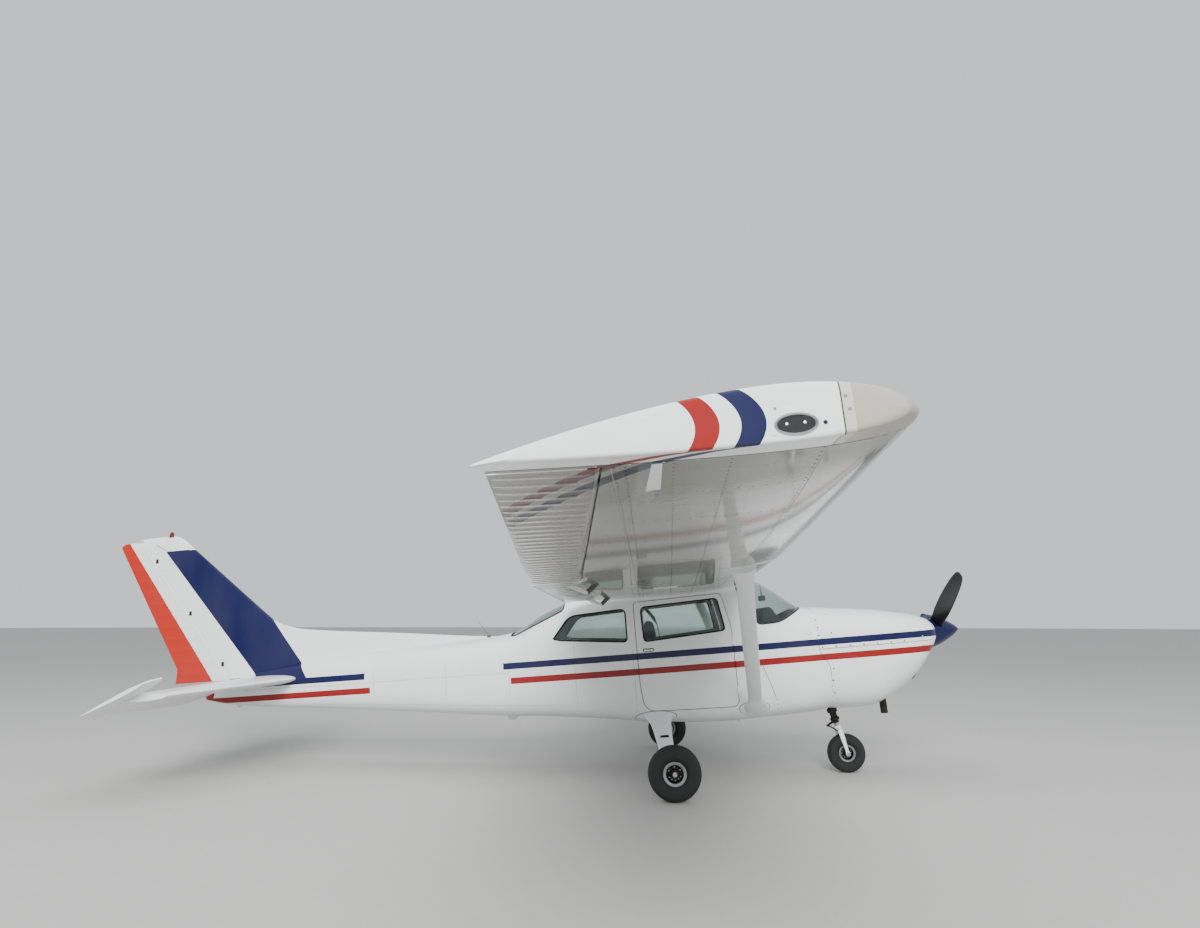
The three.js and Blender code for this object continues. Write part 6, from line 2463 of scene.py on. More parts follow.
@dataclass
class Cushion:
    """A foam cushion under cloth: blown up by a simulation between its edges, then drawn in at its seams."""

    voxel: float = 0.008
    pressure: float = 4.0
    frames: int = 18
    cap: float = 0.012
    shrink: float = 8.0
    seam_depth: float = 6.0
    seam_width: float = 9.0

    def make(self, name: str, outline: Sequence[Corner], y0: float, y1: float, seams: int) -> Object:
        """Makes one cushion.

        Args:
            name: the new piece's name.
            outline: its side view.
            y0: its starboard side.
            y1: its port side.
            seams: how many sewn channels run along it.

        Returns:
            The cushion, level and in millimetres.
        """
        inner = [(x, z, max(r, 16.0)) for x, z, r in grown(outline, -self.shrink)]
        pad = side_prism(name, inner, y0 + self.shrink, y1 - self.shrink)
        rounded_edges(pad, 22, 4, 50)
        pad.data.transform(Matrix.Scale(MM, 4))
        pad.data.remesh_voxel_size = self.voxel
        only(pad)
        bpy.ops.object.voxel_remesh()
        self.blow_up(pad)
        pad.data.transform(Matrix.Scale(1 / MM, 4))
        middle = sum((v.co for v in pad.data.vertices), Vector()) / len(pad.data.vertices)
        lines = [y0 + (y1 - y0) * (k + 1) / (seams + 1) for k in range(seams)]
        for vertex in pad.data.vertices:
            near = min((abs(vertex.co.y - line) for line in lines), default=1e9)
            sunk = self.seam_depth * math.exp(-((near / self.seam_width) ** 2))
            vertex.co += (middle - vertex.co).normalized() * sunk
        return pad

    def blow_up(self, pad: Object) -> None:
        """Runs the cloth simulation and keeps its result, with no point moved further than the cap.

        Args:
            pad: the cushion, in metres.
        """
        rest = np.array([v.co for v in pad.data.vertices])
        cloth = pad.modifiers.new("cloth", "CLOTH")
        cloth.settings.use_pressure = True
        cloth.settings.uniform_pressure_force = self.pressure
        cloth.settings.effector_weights.gravity = 0
        cloth.settings.quality = 4
        cloth.point_cache.frame_start, cloth.point_cache.frame_end = 1, self.frames
        for frame in range(1, self.frames + 1):
            bpy.context.scene.frame_set(frame)
        shaped = pad.evaluated_get(bpy.context.evaluated_depsgraph_get()).to_mesh()
        moved = np.array([v.co for v in shaped.vertices]) - rest
        pad.modifiers.remove(cloth)
        bpy.context.scene.frame_set(1)
        length = np.linalg.norm(moved, axis=1, keepdims=True)
        moved *= np.minimum(1, self.cap / np.maximum(length, 1e-9))
        pad.data.vertices.foreach_set("co", (rest + moved).ravel())
        pad.data.update()


@dataclass
class Seats:
    """Two front seats on rails and a rear bench."""

    front_base: Sequence[Corner] = ((430, 800, 30), (440, 880, 40), (-20, 850, 20), (-60, 780, 20))
    front_back: Sequence[Corner] = (
        (-30, 862, 24), (-38, 1200, 60), (-62, 1378, 38), (-142, 1378, 36), (-128, 830, 30),
    )
    front_y: float = 245.0
    front_half: float = 205.0
    bench_base: Sequence[Corner] = ((-400, 800, 30), (-395, 880, 40), (-800, 850, 20), (-830, 790, 20))
    bench_back: Sequence[Corner] = ((-815, 862, 22), (-900, 1290, 36), (-978, 1290, 34), (-892, 820, 30))
    bench_half: float = 425.0
    bench_box: tuple[Sequence[float], Sequence[float]] = ((-820, -405, 500), (-440, 405, 792))
    floor: float = 35.5
    rail_off: float = 150.0
    rail: tuple[Sequence[float], Sequence[float]] = ((-120, -12, 440), (420, 12, 548))
    posts: tuple[float, float] = (-20.0, 330.0)
    pan: tuple[Sequence[float], Sequence[float]] = ((-70, -180, 780), (400, 180, 800))
    shoulder_belt: Sequence[tuple[float, float, float]] = (
        (-186, 470, 1545), (-138, 400, 1500), (-80, 345, 1432), (-44, 320, 1380), (-18, 305, 1325),
        (-2, 270, 1180), (20, 200, 1010), (60, 140, 900),
    )
    belt_size: tuple[float, float] = (44.0, 1.6)

    def build(self) -> None:
        """Makes the cushions, what carries them, the belts and the carpet."""
        self.build_cushions()
        self.build_frames()
        self.build_belts()
        carpet = BODY.shell("cabin_carpet", 1380, -1000, self.floor - 0.2, 40)
        boolean(carpet, "INTERSECT", block("low", (-1020, -600, 400), (1400, 600, 610)))
        deliver(carpet, CARPET)

    def build_cushions(self) -> None:
        """Makes the front seats' cushions, the right ones from the left, and the bench's."""
        cushion = Cushion()
        for part, outline in (("base", self.front_base), ("back", self.front_back)):
            low, high = self.front_y - self.front_half, self.front_y + self.front_half
            left = cushion.make(f"seat_left_{part}", outline, low, high, 3)
            right = bpy.data.objects.new(f"seat_right_{part}", left.data.copy())
            bpy.context.scene.collection.objects.link(right)
            right.data.transform(Matrix.Translation((0, -2 * self.front_y, 0)))
            for pad, label in ((left, "left"), (right, "right")):
                nodes = (f"front_seat_{label}",) if part == "base" else ()
                deliver(pad, SEAT_CLOTH, *nodes, angle=60)
        for part, outline in (("base", self.bench_base), ("back", self.bench_back)):
            pad = cushion.make(f"bench_{part}", outline, -self.bench_half, self.bench_half, 5)
            nodes = ("rear_bench",) if part == "base" else ()
            deliver(pad, SEAT_CLOTH, *nodes, angle=60)

    def build_frames(self) -> None:
        """Makes the rails, posts and pans, and the box under the bench, down to the floor's skin."""
        parts = []
        top = self.rail[1][2] - 2
        for side in SIDES.values():
            middle = side * self.front_y
            for y in (middle - self.rail_off, middle + self.rail_off):
                low, high = (Vector(corner) + Vector((0, y, 0)) for corner in self.rail)
                rail = block("rail", low, high, 3)
                parts.append(boolean(rail, "INTERSECT", BODY.solid("inside", 520, -220, self.floor)))
                parts += [rod("post", (x, y, top), (x, y, self.pan[1][2]), 11, steps=14) for x in self.posts]
            low, high = (Vector(corner) + Vector((0, middle, 0)) for corner in self.pan)
            parts.append(block("pan", low, high, 5))
        bench = block("bench_box", *self.bench_box, 12)
        parts.append(boolean(bench, "INTERSECT", BODY.solid("inside", -340, -920, self.floor)))
        deliver(joined("seat_frames", parts), PANEL_BLACK, angle=40)

    def build_belts(self) -> None:
        """Lays a belt over each front seat, from the roof's side down its front."""
        ways = [Vector((0.4, 0.6, 0.6)).normalized()] * 4 + [Vector((1, 0, 0.2)).normalized()] * 4
        belts = []
        for side in SIDES.values():
            mirror = Vector((1, side, 1))
            spots = [(Vector(p) * mirror, way * mirror) for p, way in zip(self.shoulder_belt, ways)]
            belts.append(strip("belt", spots, *self.belt_size))
        deliver(joined("seat_belts", belts), SEAL_RUBBER, slot="seat_fabric", angle=60)


@dataclass
class Panel:
    """The instrument panel with its dials, radios and control wheels, under a padded ledge."""

    x: tuple[float, float] = (1015.0, 1060.0)
    z: tuple[float, float] = (900.0, 1285.0)
    ledge: Sequence[Corner] = ((1015, 1255, 8), (1290, 1235, 0), (1290, 1265, 0), (1015, 1292, 14))
    hood: Sequence[Corner] = ((920, 1268, 10), (938, 1392, 30), (1010, 1402, 40), (1085, 1262, 10))
    yoke_x: float = 812.0
    yoke_y: float = 240.0
    yoke_z: float = 1085.0
    half: float = 520.0
    hood_half: float = 400.0
    inset: float = 37.0
    dials: Sequence[Corner] = (
        (130, 1130, 39), (130, 1218, 39), (218, 1130, 39), (218, 1218, 39), (306, 1130, 39), (306, 1218, 39),
        (-330, 1215, 34), (-250, 1215, 34), (394, 1120, 24), (394, 1175, 24), (394, 1230, 24),
    )
    radios: Sequence[float] = (1235.0, 1183.0, 1131.0, 1079.0)
    radio_y: tuple[float, float] = (-165.0, 0.0)
    switches: tuple[float, float, float, int] = (400.0, -62.0, 960.0, 9)

    def build(self) -> None:
        """Makes the board, the ledge, the dials and the wheels."""
        board = block("panel_board", (self.x[0], -self.half, self.z[0]), (self.x[1], self.half, self.z[1]))
        ledge = side_prism("ledge", self.ledge, -self.half, self.half)
        boolean(board, "UNION", ledge)
        boolean(board, "INTERSECT", BODY.solid("inside", 1350, 900, self.inset))
        deliver(board, PANEL_BLACK, "instrument_panel", angle=30)
        hood = rounded_edges(side_prism("panel_hood", self.hood, -self.hood_half, self.hood_half), 14, 4)
        boolean(hood, "INTERSECT", BODY.solid("inside", 1350, 900, self.inset))
        deliver(hood, PANEL_BLACK, angle=30)
        self.build_dials()
        compass = [rounded_edges(block("case", (972, -34, 1462), (1032, 34, 1512), 10), 3, 2)]
        compass.append(rod("stem", (1002, 0, 1508), (1002, 0, 1612), 7, steps=14))
        deliver(joined("compass", compass), PANEL_BLACK, angle=40)
        for side in SIDES.values():
            self.build_yoke(side)

    def build_dials(self) -> None:
        """Makes round dials with bezels and hands, radios and a row of knobs."""
        bezels, faces, hands = [], [], []
        x = self.x[0]
        for y, z, radius in self.dials:
            at = (x, y, z)
            rim = [(radius, 0), (radius, 5), (radius - 3, 7), (radius - 5, 3)]
            bezels.append(lathe("bezel", [(radius - 5, 0), *rim, (radius - 5, 0)], at, (-1, 0, 0), 32))
            faces.append(rod("face", at, (x - 1.5, y, z), radius - 5, steps=32))
            turn = math.radians((y * 7 + z * 3) % 300)
            tip = Vector((x - 2.5, y + math.sin(turn) * radius * 0.6, z + math.cos(turn) * radius * 0.6))
            hands.append(rod("hand", (x - 2.5, y, z), tip, 1.8, 0.8, 8))
            for k in range(12):
                way = Vector((0, math.sin(k * math.pi / 6), math.cos(k * math.pi / 6)))
                mark = Vector((x - 1.6, y, z)) + way * radius * 0.68
                hands.append(rod("mark", mark, mark + way * radius * 0.13, 0.9, steps=4))
        y0, y1 = self.radio_y
        for z in self.radios:
            bezels.append(block("radio", (x - 9, y0, z - 22), (x + 1, y1, z + 22), 3))
            faces.append(block("window", (x - 10, y0 + 25, z - 8), (x - 8, y1 - 25, z + 12)))
            for y in (y0 + 10, y1 - 10):
                hands.append(rod("knob", (x - 8, y, z - 8), (x - 20, y, z - 8), 6, steps=12))
        first, step, z, count = self.switches
        for y in (first + step * k for k in range(count)):
            hands.append(rod("switch", (x, y, z), (x - 22, y, z), 7, 9, 14))
        deliver(joined("panel_bezels", bezels), FRAME_GREY)
        deliver(joined("panel_faces", faces), BLACK_PAINT, slot="panel_plastic")
        deliver(joined("panel_marks", hands), LINING)

    def build_yoke(self, side: int) -> None:
        """Bends one control wheel and sets it on its shaft.

        Args:
            side: 1 for port and -1 for starboard.
        """
        x, y, z = self.yoke_x, side * self.yoke_y, self.yoke_z
        half = [(0, 12), (60, 12), (95, 16), (116, 30), (124, 52), (122, 80), (114, 104)]
        path = [(x, y - a, z + b) for a, b in reversed(half)] + [(x, y + a, z + b) for a, b in half[1:]]
        smooth = []
        for p, q in zip(path, path[1:]):
            smooth += [Vector(p).lerp(Vector(q), k / 3) for k in range(3)]
        parts = [tube("wheel", [*smooth, Vector(path[-1])], 10.5, 12)]
        parts.append(rod("shaft", (self.x[0] - 0.3, y, z), (x, y, z), 12, steps=20))
        parts.append(block("boss", (x - 10, y - 42, z - 16), (x + 12, y + 42, z + 22), 8))
        name = "yoke_left" if side > 0 else "yoke_right"
        deliver(joined(name, parts), PANEL_BLACK, angle=50)


# Trim


Skin = Callable[[float, float], Spot]
Line = Sequence[tuple[float, float]]


def body_skin(side: int) -> Skin:
    """Gives the skin of the body and cowl on one side, by x and z.

    Args:
        side: 1 for port and -1 for starboard.

    Returns:
        The skin.
    """

    def spot(x: float, z: float) -> Spot:
        """Gives the skin's point and the way out of it."""
        hull = BODY if x < FIREWALL_X else COWL
        return hull.on_side(x, z, side), hull.out(x, z, side)

    return spot


def back_skin(above: bool) -> Skin:
    """Gives the skin of the back, or of the belly, by x and y.

    Args:
        above: False for the belly.

    Returns:
        The skin.
    """

    def spot(x: float, y: float) -> Spot:
        """Gives the skin's point and the way out of it."""
        hull = BODY if x < FIREWALL_X else COWL
        place = hull.crown(x, y, above)
        along = hull.crown(x + 4, y, above) - hull.crown(x - 4, y, above)
        across = hull.crown(x, y + 4, above) - hull.crown(x, y - 4, above)
        out = along.cross(across).normalized()
        return place, out if (out.z > 0) == above else -out

    return spot


def surface_skin(surface: Surface, upper: bool) -> Skin:
    """Gives one face of a wing or tail surface, by x and the distance out."""
    return lambda x, out: surface.on_skin(x, out, upper)


def paced(line: Line, pitch: float) -> Line:
    """Walks along a line through points in even steps of about a pitch.

    Args:
        line: the points that it passes.
        pitch: about how long a step is.

    Returns:
        The steps' ends.
    """
    flat = np.array(line, float)
    steps = np.concatenate([[0], np.cumsum(np.hypot(*np.diff(flat, axis=0).T))])
    even = np.linspace(0, steps[-1], max(2, round(steps[-1] / pitch) + 1))
    return list(zip(np.interp(even, steps, flat[:, 0]), np.interp(even, steps, flat[:, 1])))


def oval(x: float, z: float, a: float, b: float, steps: int = 32) -> Line:
    """Lists the points of an oval round a place."""
    turns = [2 * math.pi * k / steps for k in range(steps)]
    return [(x + a * math.cos(t), z + b * math.sin(t)) for t in turns]


def strip(name: str, spots: Sequence[Spot], width: float = 3.6, proud: float = 0.5) -> Object:
    """Lays a thin strip along a skin, as a seam's dark gap or a lap's edge shows.

    Args:
        name: the new piece's name.
        spots: the places along it, each with the way out of the skin.
        width: its width.
        proud: how far it stands out of the skin.

    Returns:
        The strip.
    """
    frames = []
    for i, (place, out) in enumerate(spots):
        after, before = spots[min(i + 1, len(spots) - 1)][0], spots[max(i - 1, 0)][0]
        frames.append((place, (after - before).cross(out).normalized(), out))
    half = width / 2
    return sweep(name, frames, [(-half, -1.2), (half, -1.2), (half, proud), (-half, proud)])


def seams(name: str, skin: Skin, lines: Sequence[Line], width: float = 3.6, proud: float = 0.5) -> Object:
    """Lays a strip along each of several lines on one skin."""
    return joined(name, [strip("seam", [skin(*p) for p in paced(line, 45)], width, proud) for line in lines])


def rows(skin: Skin, lines: Sequence[Line], pitch: float) -> list[Spot]:
    """Lists evenly spaced places along lines on a skin, for rivets or screws."""
    return [skin(*p) for line in lines for p in paced(line, pitch)]


def plate(name: str, skin: Skin, outline: Line, proud: float, dome: float = 0.0) -> Object:
    """Lays a plate on a skin.

    Args:
        name: the new piece's name.
        skin: the skin that it lies on.
        outline: its outline, in the skin's own two directions.
        proud: its thickness.
        dome: how much higher its middle stands.

    Returns:
        The plate.
    """
    a0 = sum(a for a, _ in outline) / len(outline)
    b0 = sum(b for _, b in outline) / len(outline)
    rings = []
    levels = ((1, -2), (1, proud * 0.6), (0.97, proud), (0.6, proud + 0.7 * dome), (0.2, proud + dome))
    for share, lift in levels:
        spots = [skin(a0 + (a - a0) * share, b0 + (b - b0) * share) for a, b in outline]
        rings.append([place + out * lift for place, out in spots])
    return wrap(name, rings)


def soft_box(x: float, z: float, a: float, b: float, radius: float) -> Line:
    """Lists the points of a rounded rectangle round a place, by its half sizes."""
    corners = ((-a, -b), (a, -b), (a, b), (-a, b))
    return rounded([(x + right, z + up, radius) for right, up in corners])


def beside(line: Line, off: float) -> Line:
    """Moves a line aft or along, and down or across too where it runs along the body."""
    lengthwise = abs(line[0][0] - line[1][0]) > 100
    return [(x + off, other + (off if lengthwise else 0)) for x, other in line]


SEAM = Rubber("seam_shadow", "panel_plastic", "#2a2c2e", dusty=0.5, roughness=0.8)
BODY_LAP = Paint("body_lap_enamel", "white_paint", "#a2a5a5", livery=Livery.BODY, waviness=0.0)
LAP = Paint("lap_edge_enamel", "white_paint", "#8d9090", waviness=0.0)
RIVET = (3.0, 1.1, 6)
SEAM_SIZE = (4.4, 0.4)
SCREW = (4.5, 1.6, 8)


@dataclass
class BodyTrim:
    """The body's seams, laps, rivets and fasteners, its hinges and handles."""

    cowl_edge: Line = (
        (1385, 1300), (1385, 1247), (1377, 1114), (1371, 983), (1406, 928), (1449, 850), (1446, 500),
    )
    cowl_split: Line = ((1372, 999), (1449, 1000), (2430, 1000))
    door_seam: Line = ((862, 898), (963, 579), (964, 480))
    side_laps: Sequence[Line] = (
        ((-258, 560), (-258, 1120)), ((-782, 610), (-782, 1200)), ((-1392, 660), (-1392, 1270)),
        ((-1990, 720), (-1990, 1250)), ((-2700, 770), (-2700, 1220)), ((-3400, 830), (-3400, 1190)),
        ((-1400, 1002), (-3390, 1004)), ((-1000, 690), (-3390, 846)), ((-3410, 1010), (-4050, 1012)),
    )
    fasteners: tuple[float, float, float, int] = (1402.0, 2126.0, 1013.0, 7)
    hinges: Sequence[tuple[float, float]] = ((622, 1133), (622, 712))
    hatch_hinges: Sequence[tuple[float, float]] = ((-915, 1090), (-915, 800))
    handle: tuple[float, float] = (-118.0, 1109.0)
    screws: Line = ((1474, 830), (1464, 622), (1500, 1290), (1500, 1130), (1460, 730))
    sills: Sequence[Line] = (((-200, 545), (560, 522)), ((-250, 1560), (-640, 1540)))
    vent_bump: tuple[float, float, float, float] = (1304.0, 1148.0, 24.0, 15.0)
    flanges: Sequence[tuple[str, float, float, float, float]] = (
        ("strut", 754.0, 551.0, 129.0, 58.0), ("leg", -104.0, 534.0, 178.0, 52.0),
    )
    latch: tuple[float, float] = (-1250.0, 945.0)
    back_laps: Line = ((-1392, 240), (-1990, 170), (-2700, 130), (-3400, 80))
    belly_laps: Line = ((1000, 330), (240, 360), (-258, 350), (-782, 320), (-1392, 250))
    belly_stringer: tuple[float, float, float] = (1380.0, -1380.0, 240.0)
    cowl_top: Line = ((1386, -300), (1392, 0), (1386, 300))
    screen_foot: Line = ((1170, -400), (1320, -180), (1345, 0), (1320, 180), (1170, 400))
    cowl_row: Line = ((1404, -290), (1410, 0), (1404, 290))
    drain: tuple[float, float] = (626.0, -300.0)
    whip_foot: tuple[float, float, float] = (-1645.0, 0.0, 1326.0)
    whip: tuple[Sequence[float], Sequence[float]] = ((-1645, 0, 1340), (-1741, 0, 1479))
    tie_down: tuple[float, float, float] = (-4120.0, 874.0, 17.0)

    def build(self) -> None:
        """Makes the trim on both sides, on the back and on the belly."""
        for label, side in SIDES.items():
            self.build_side(label, side)
            self.build_door(label, side)
            self.build_cuffs(label, side)
        self.build_hatch()
        self.build_back()
        self.build_nose()

    def build_side(self, label: str, side: int) -> None:
        """Lays seams, lap edges, rivets and fasteners along one side.

        Args:
            label: left or right.
            side: 1 for port and -1 for starboard.
        """
        skin = body_skin(side)
        lines = (self.cowl_edge, self.cowl_split, self.door_seam)
        dark = seams(f"body_seams_{label}", skin, lines, *SEAM_SIZE)
        deliver(dark, SEAM)
        deliver(seams(f"body_laps_{label}", skin, self.side_laps, 3.0), BODY_LAP)
        lines = [beside(line, 14) for line in self.side_laps]
        lines += [[(x + 16, z) for x, z in self.door_seam], *self.sills]
        deliver(studs(f"body_rivets_{label}", rows(skin, lines, 44), *RIVET), BODY_PAINT)
        first, last, z, count = self.fasteners
        spots = rows(skin, [((first, z), (last, z))], (last - first) / (count - 1))
        spots += rows(skin, [((1392, 1250), (1385, 1050))], 66) + [skin(x, z) for x, z in self.screws]
        deliver(studs(f"cowl_fasteners_{label}", spots, 7.0, 1.6, 10), DARK_STEEL)
        bump = plate(f"vent_bump_{label}", skin, oval(*self.vent_bump), 3, 7)
        deliver(bump, WHITE_PAINT, angle=50)

    def hinge(self, x: float, z: float, side: int) -> list[Object]:
        """Makes a hinge's pin and its three knuckles.

        Args:
            x: its place along the body.
            z: its height.
            side: 1 for port and -1 for starboard.

        Returns:
            The pin and the knuckles.
        """
        place, out = body_skin(side)(x, z)
        middle = place + out * 5
        up = Vector((0, 0, 1))
        parts = [rod("pin", middle - up * 34, middle + up * 34, 3.2, steps=10)]
        for k in (-1, 0, 1):
            ends = middle + up * (k * 21 - 10), middle + up * (k * 21 + 10)
            parts.append(rod("knuckle", *ends, 6.4, steps=16, edge=1))
        return parts

    def build_door(self, label: str, side: int) -> None:
        """Makes a door's hinges and its handle in its pan.

        Args:
            label: left or right.
            side: 1 for port and -1 for starboard.
        """
        skin = body_skin(side)
        parts = [part for x, z in self.hinges for part in self.hinge(x + 2, z, side)]
        parts += [plate("leaf", skin, soft_box(x + 34, z, 26, 26, 6), 2.2) for x, z in self.hinges]
        deliver(joined(f"door_{label}_hinges", parts), WHITE_PAINT, angle=40)
        leaves = [plate("leaf", skin, soft_box(x - 36, z, 26, 12, 6), 2.2) for x, z in self.hinges]
        deliver(joined(f"door_{label}_hinge_leaves", leaves), WHITE_PAINT, body=f"door_{label}", angle=40)
        x, z = self.handle
        pan = plate(f"door_{label}_handle_pan", skin, soft_box(x, z, 50, 15, 14), 0.9)
        deliver(pan, FRAME_GREY, body=f"door_{label}")
        lever = plate("lever", skin, soft_box(x + 2, z, 41, 8, 7), 7, 2)
        lock = plate("lock", skin, oval(x - 66, z - 2, 8, 8, 16), 2.4)
        deliver(joined(f"door_{label}_handle", [lever, lock]), CHROME, body=f"door_{label}", angle=40)

    def build_hatch(self) -> None:
        """Makes the baggage hatch's hinges and latch."""
        skin = body_skin(1)
        parts = [part for x, z in self.hatch_hinges for part in self.hinge(x + 3, z, 1)]
        parts += [plate("leaf", skin, soft_box(x + 30, z, 20, 24, 6), 2) for x, z in self.hatch_hinges]
        deliver(joined("hatch_hinges", parts), WHITE_PAINT, angle=40)
        latch = [plate("pan", skin, soft_box(*self.latch, 32, 20, 14), 1.5)]
        latch.append(plate("lever", skin, soft_box(*self.latch, 24, 7, 6), 6, 1))
        deliver(joined("hatch_latch", latch), CHROME, body="baggage_hatch", angle=40)

    def build_cuffs(self, label: str, side: int) -> None:
        """Makes the flanges where the strut and the main leg leave the body, with their screws and a painted
        shadow line round each.

        Args:
            label: left or right.
            side: 1 for port and -1 for starboard.
        """
        skin = body_skin(side)
        for name, x, z, a, b in self.flanges:
            flange = plate(f"{name}_flange_{label}", skin, oval(x, z, a, b, 48), 7)
            deliver(flange, WHITE_PAINT, angle=40)
            # A dark line round each flange: painted shadow under its edge.
            rim = oval(x, z, a + 2, b + 2, 64)
            flange_shadow_line = strip(f"{name}_gasket_{label}", [skin(*p) for p in [*rim, rim[0]]], 5, 1.2)
            deliver(flange_shadow_line, SEAM)
            spots = [skin(p, q) for p, q in oval(x, z, a * 0.88, b * 0.84, 8)]
            spots = [(place + out * 6.8, out) for place, out in spots]
            deliver(studs(f"{name}_screws_{label}", spots, 5.5, 2, 8), STEEL)

    def build_back(self) -> None:
        """Lays the back's laps and the screen's fasteners, and sets the whip aerial."""
        back = back_skin(True)
        deliver(seams("back_laps", back, [((x, -y), (x, y)) for x, y in self.back_laps], 3.0), LAP)
        deliver(seams("cowl_seam_top", back, [self.cowl_top], *SEAM_SIZE), SEAM)
        spots = rows(back, [self.screen_foot], 62) + rows(back, [self.cowl_row], 75)
        deliver(studs("screen_fasteners", spots, *SCREW), STEEL)
        self.build_belly()
        foot = [(0, -8), (20, -8), (20, 12), (13, 20), (6, 22), (0, 22)]
        base = lathe("base", foot, self.whip_foot, (-0.2, 0, 1), 24)
        mast = joined("whip_aerial_mast", [base, rod("whip", *self.whip, 3.4, 1.7, 12, 0.4)])
        deliver(mast, FRAME_GREY, "whip_aerial", slot="white_paint", angle=40)
        x, z, radius = self.tie_down
        turns = [k * math.pi / 12 for k in range(24)]
        ring = [(x + radius * math.cos(t), 0, z + radius * math.sin(t)) for t in turns]
        deliver(tube("tail_tie_down", ring, 4, 10, True), STEEL, angle=60)

    def build_belly(self) -> None:
        """Lays the belly's laps and rivets and sets its drain."""
        belly = back_skin(False)
        front, rear, out = self.belly_stringer
        lines = [((x, -y), (x, y)) for x, y in self.belly_laps]
        lines += [((front, y), (rear, 0.7 * y)) for y in (-out, out)]
        deliver(seams("belly_laps", belly, lines, 3.0), LAP)
        spots = rows(belly, [beside(line, 14) for line in lines], 48)
        deliver(studs("belly_rivets", spots, *RIVET), WHITE_PAINT)
        place, down = belly(*self.drain)
        deliver(rod("fuel_drain", place - down * 3, place + down * 16, 7, 4, 12, 1), STEEL)

    def build_nose(self) -> None:
        """Rings the inlets with their lips and dots the cowl's face."""
        lips = []
        for side in SIDES.values():
            outline = Cowl().inlet_outline(side)
            lips.append(tube("lip", [p + Vector((-3, 0, 0)) for p in outline], 5.5, 12, True))
        deliver(joined("inlet_lips", lips), WHITE_PAINT, angle=60)
        skin = body_skin(-1)
        dot = COWL.crown(1919, -330)
        spots = [(dot, Vector((0, -0.5, 1)).normalized()), skin(2300, 1040), skin(2300, 960)]
        deliver(studs("cowl_buttons", spots, 8, 2, 10), STEEL)


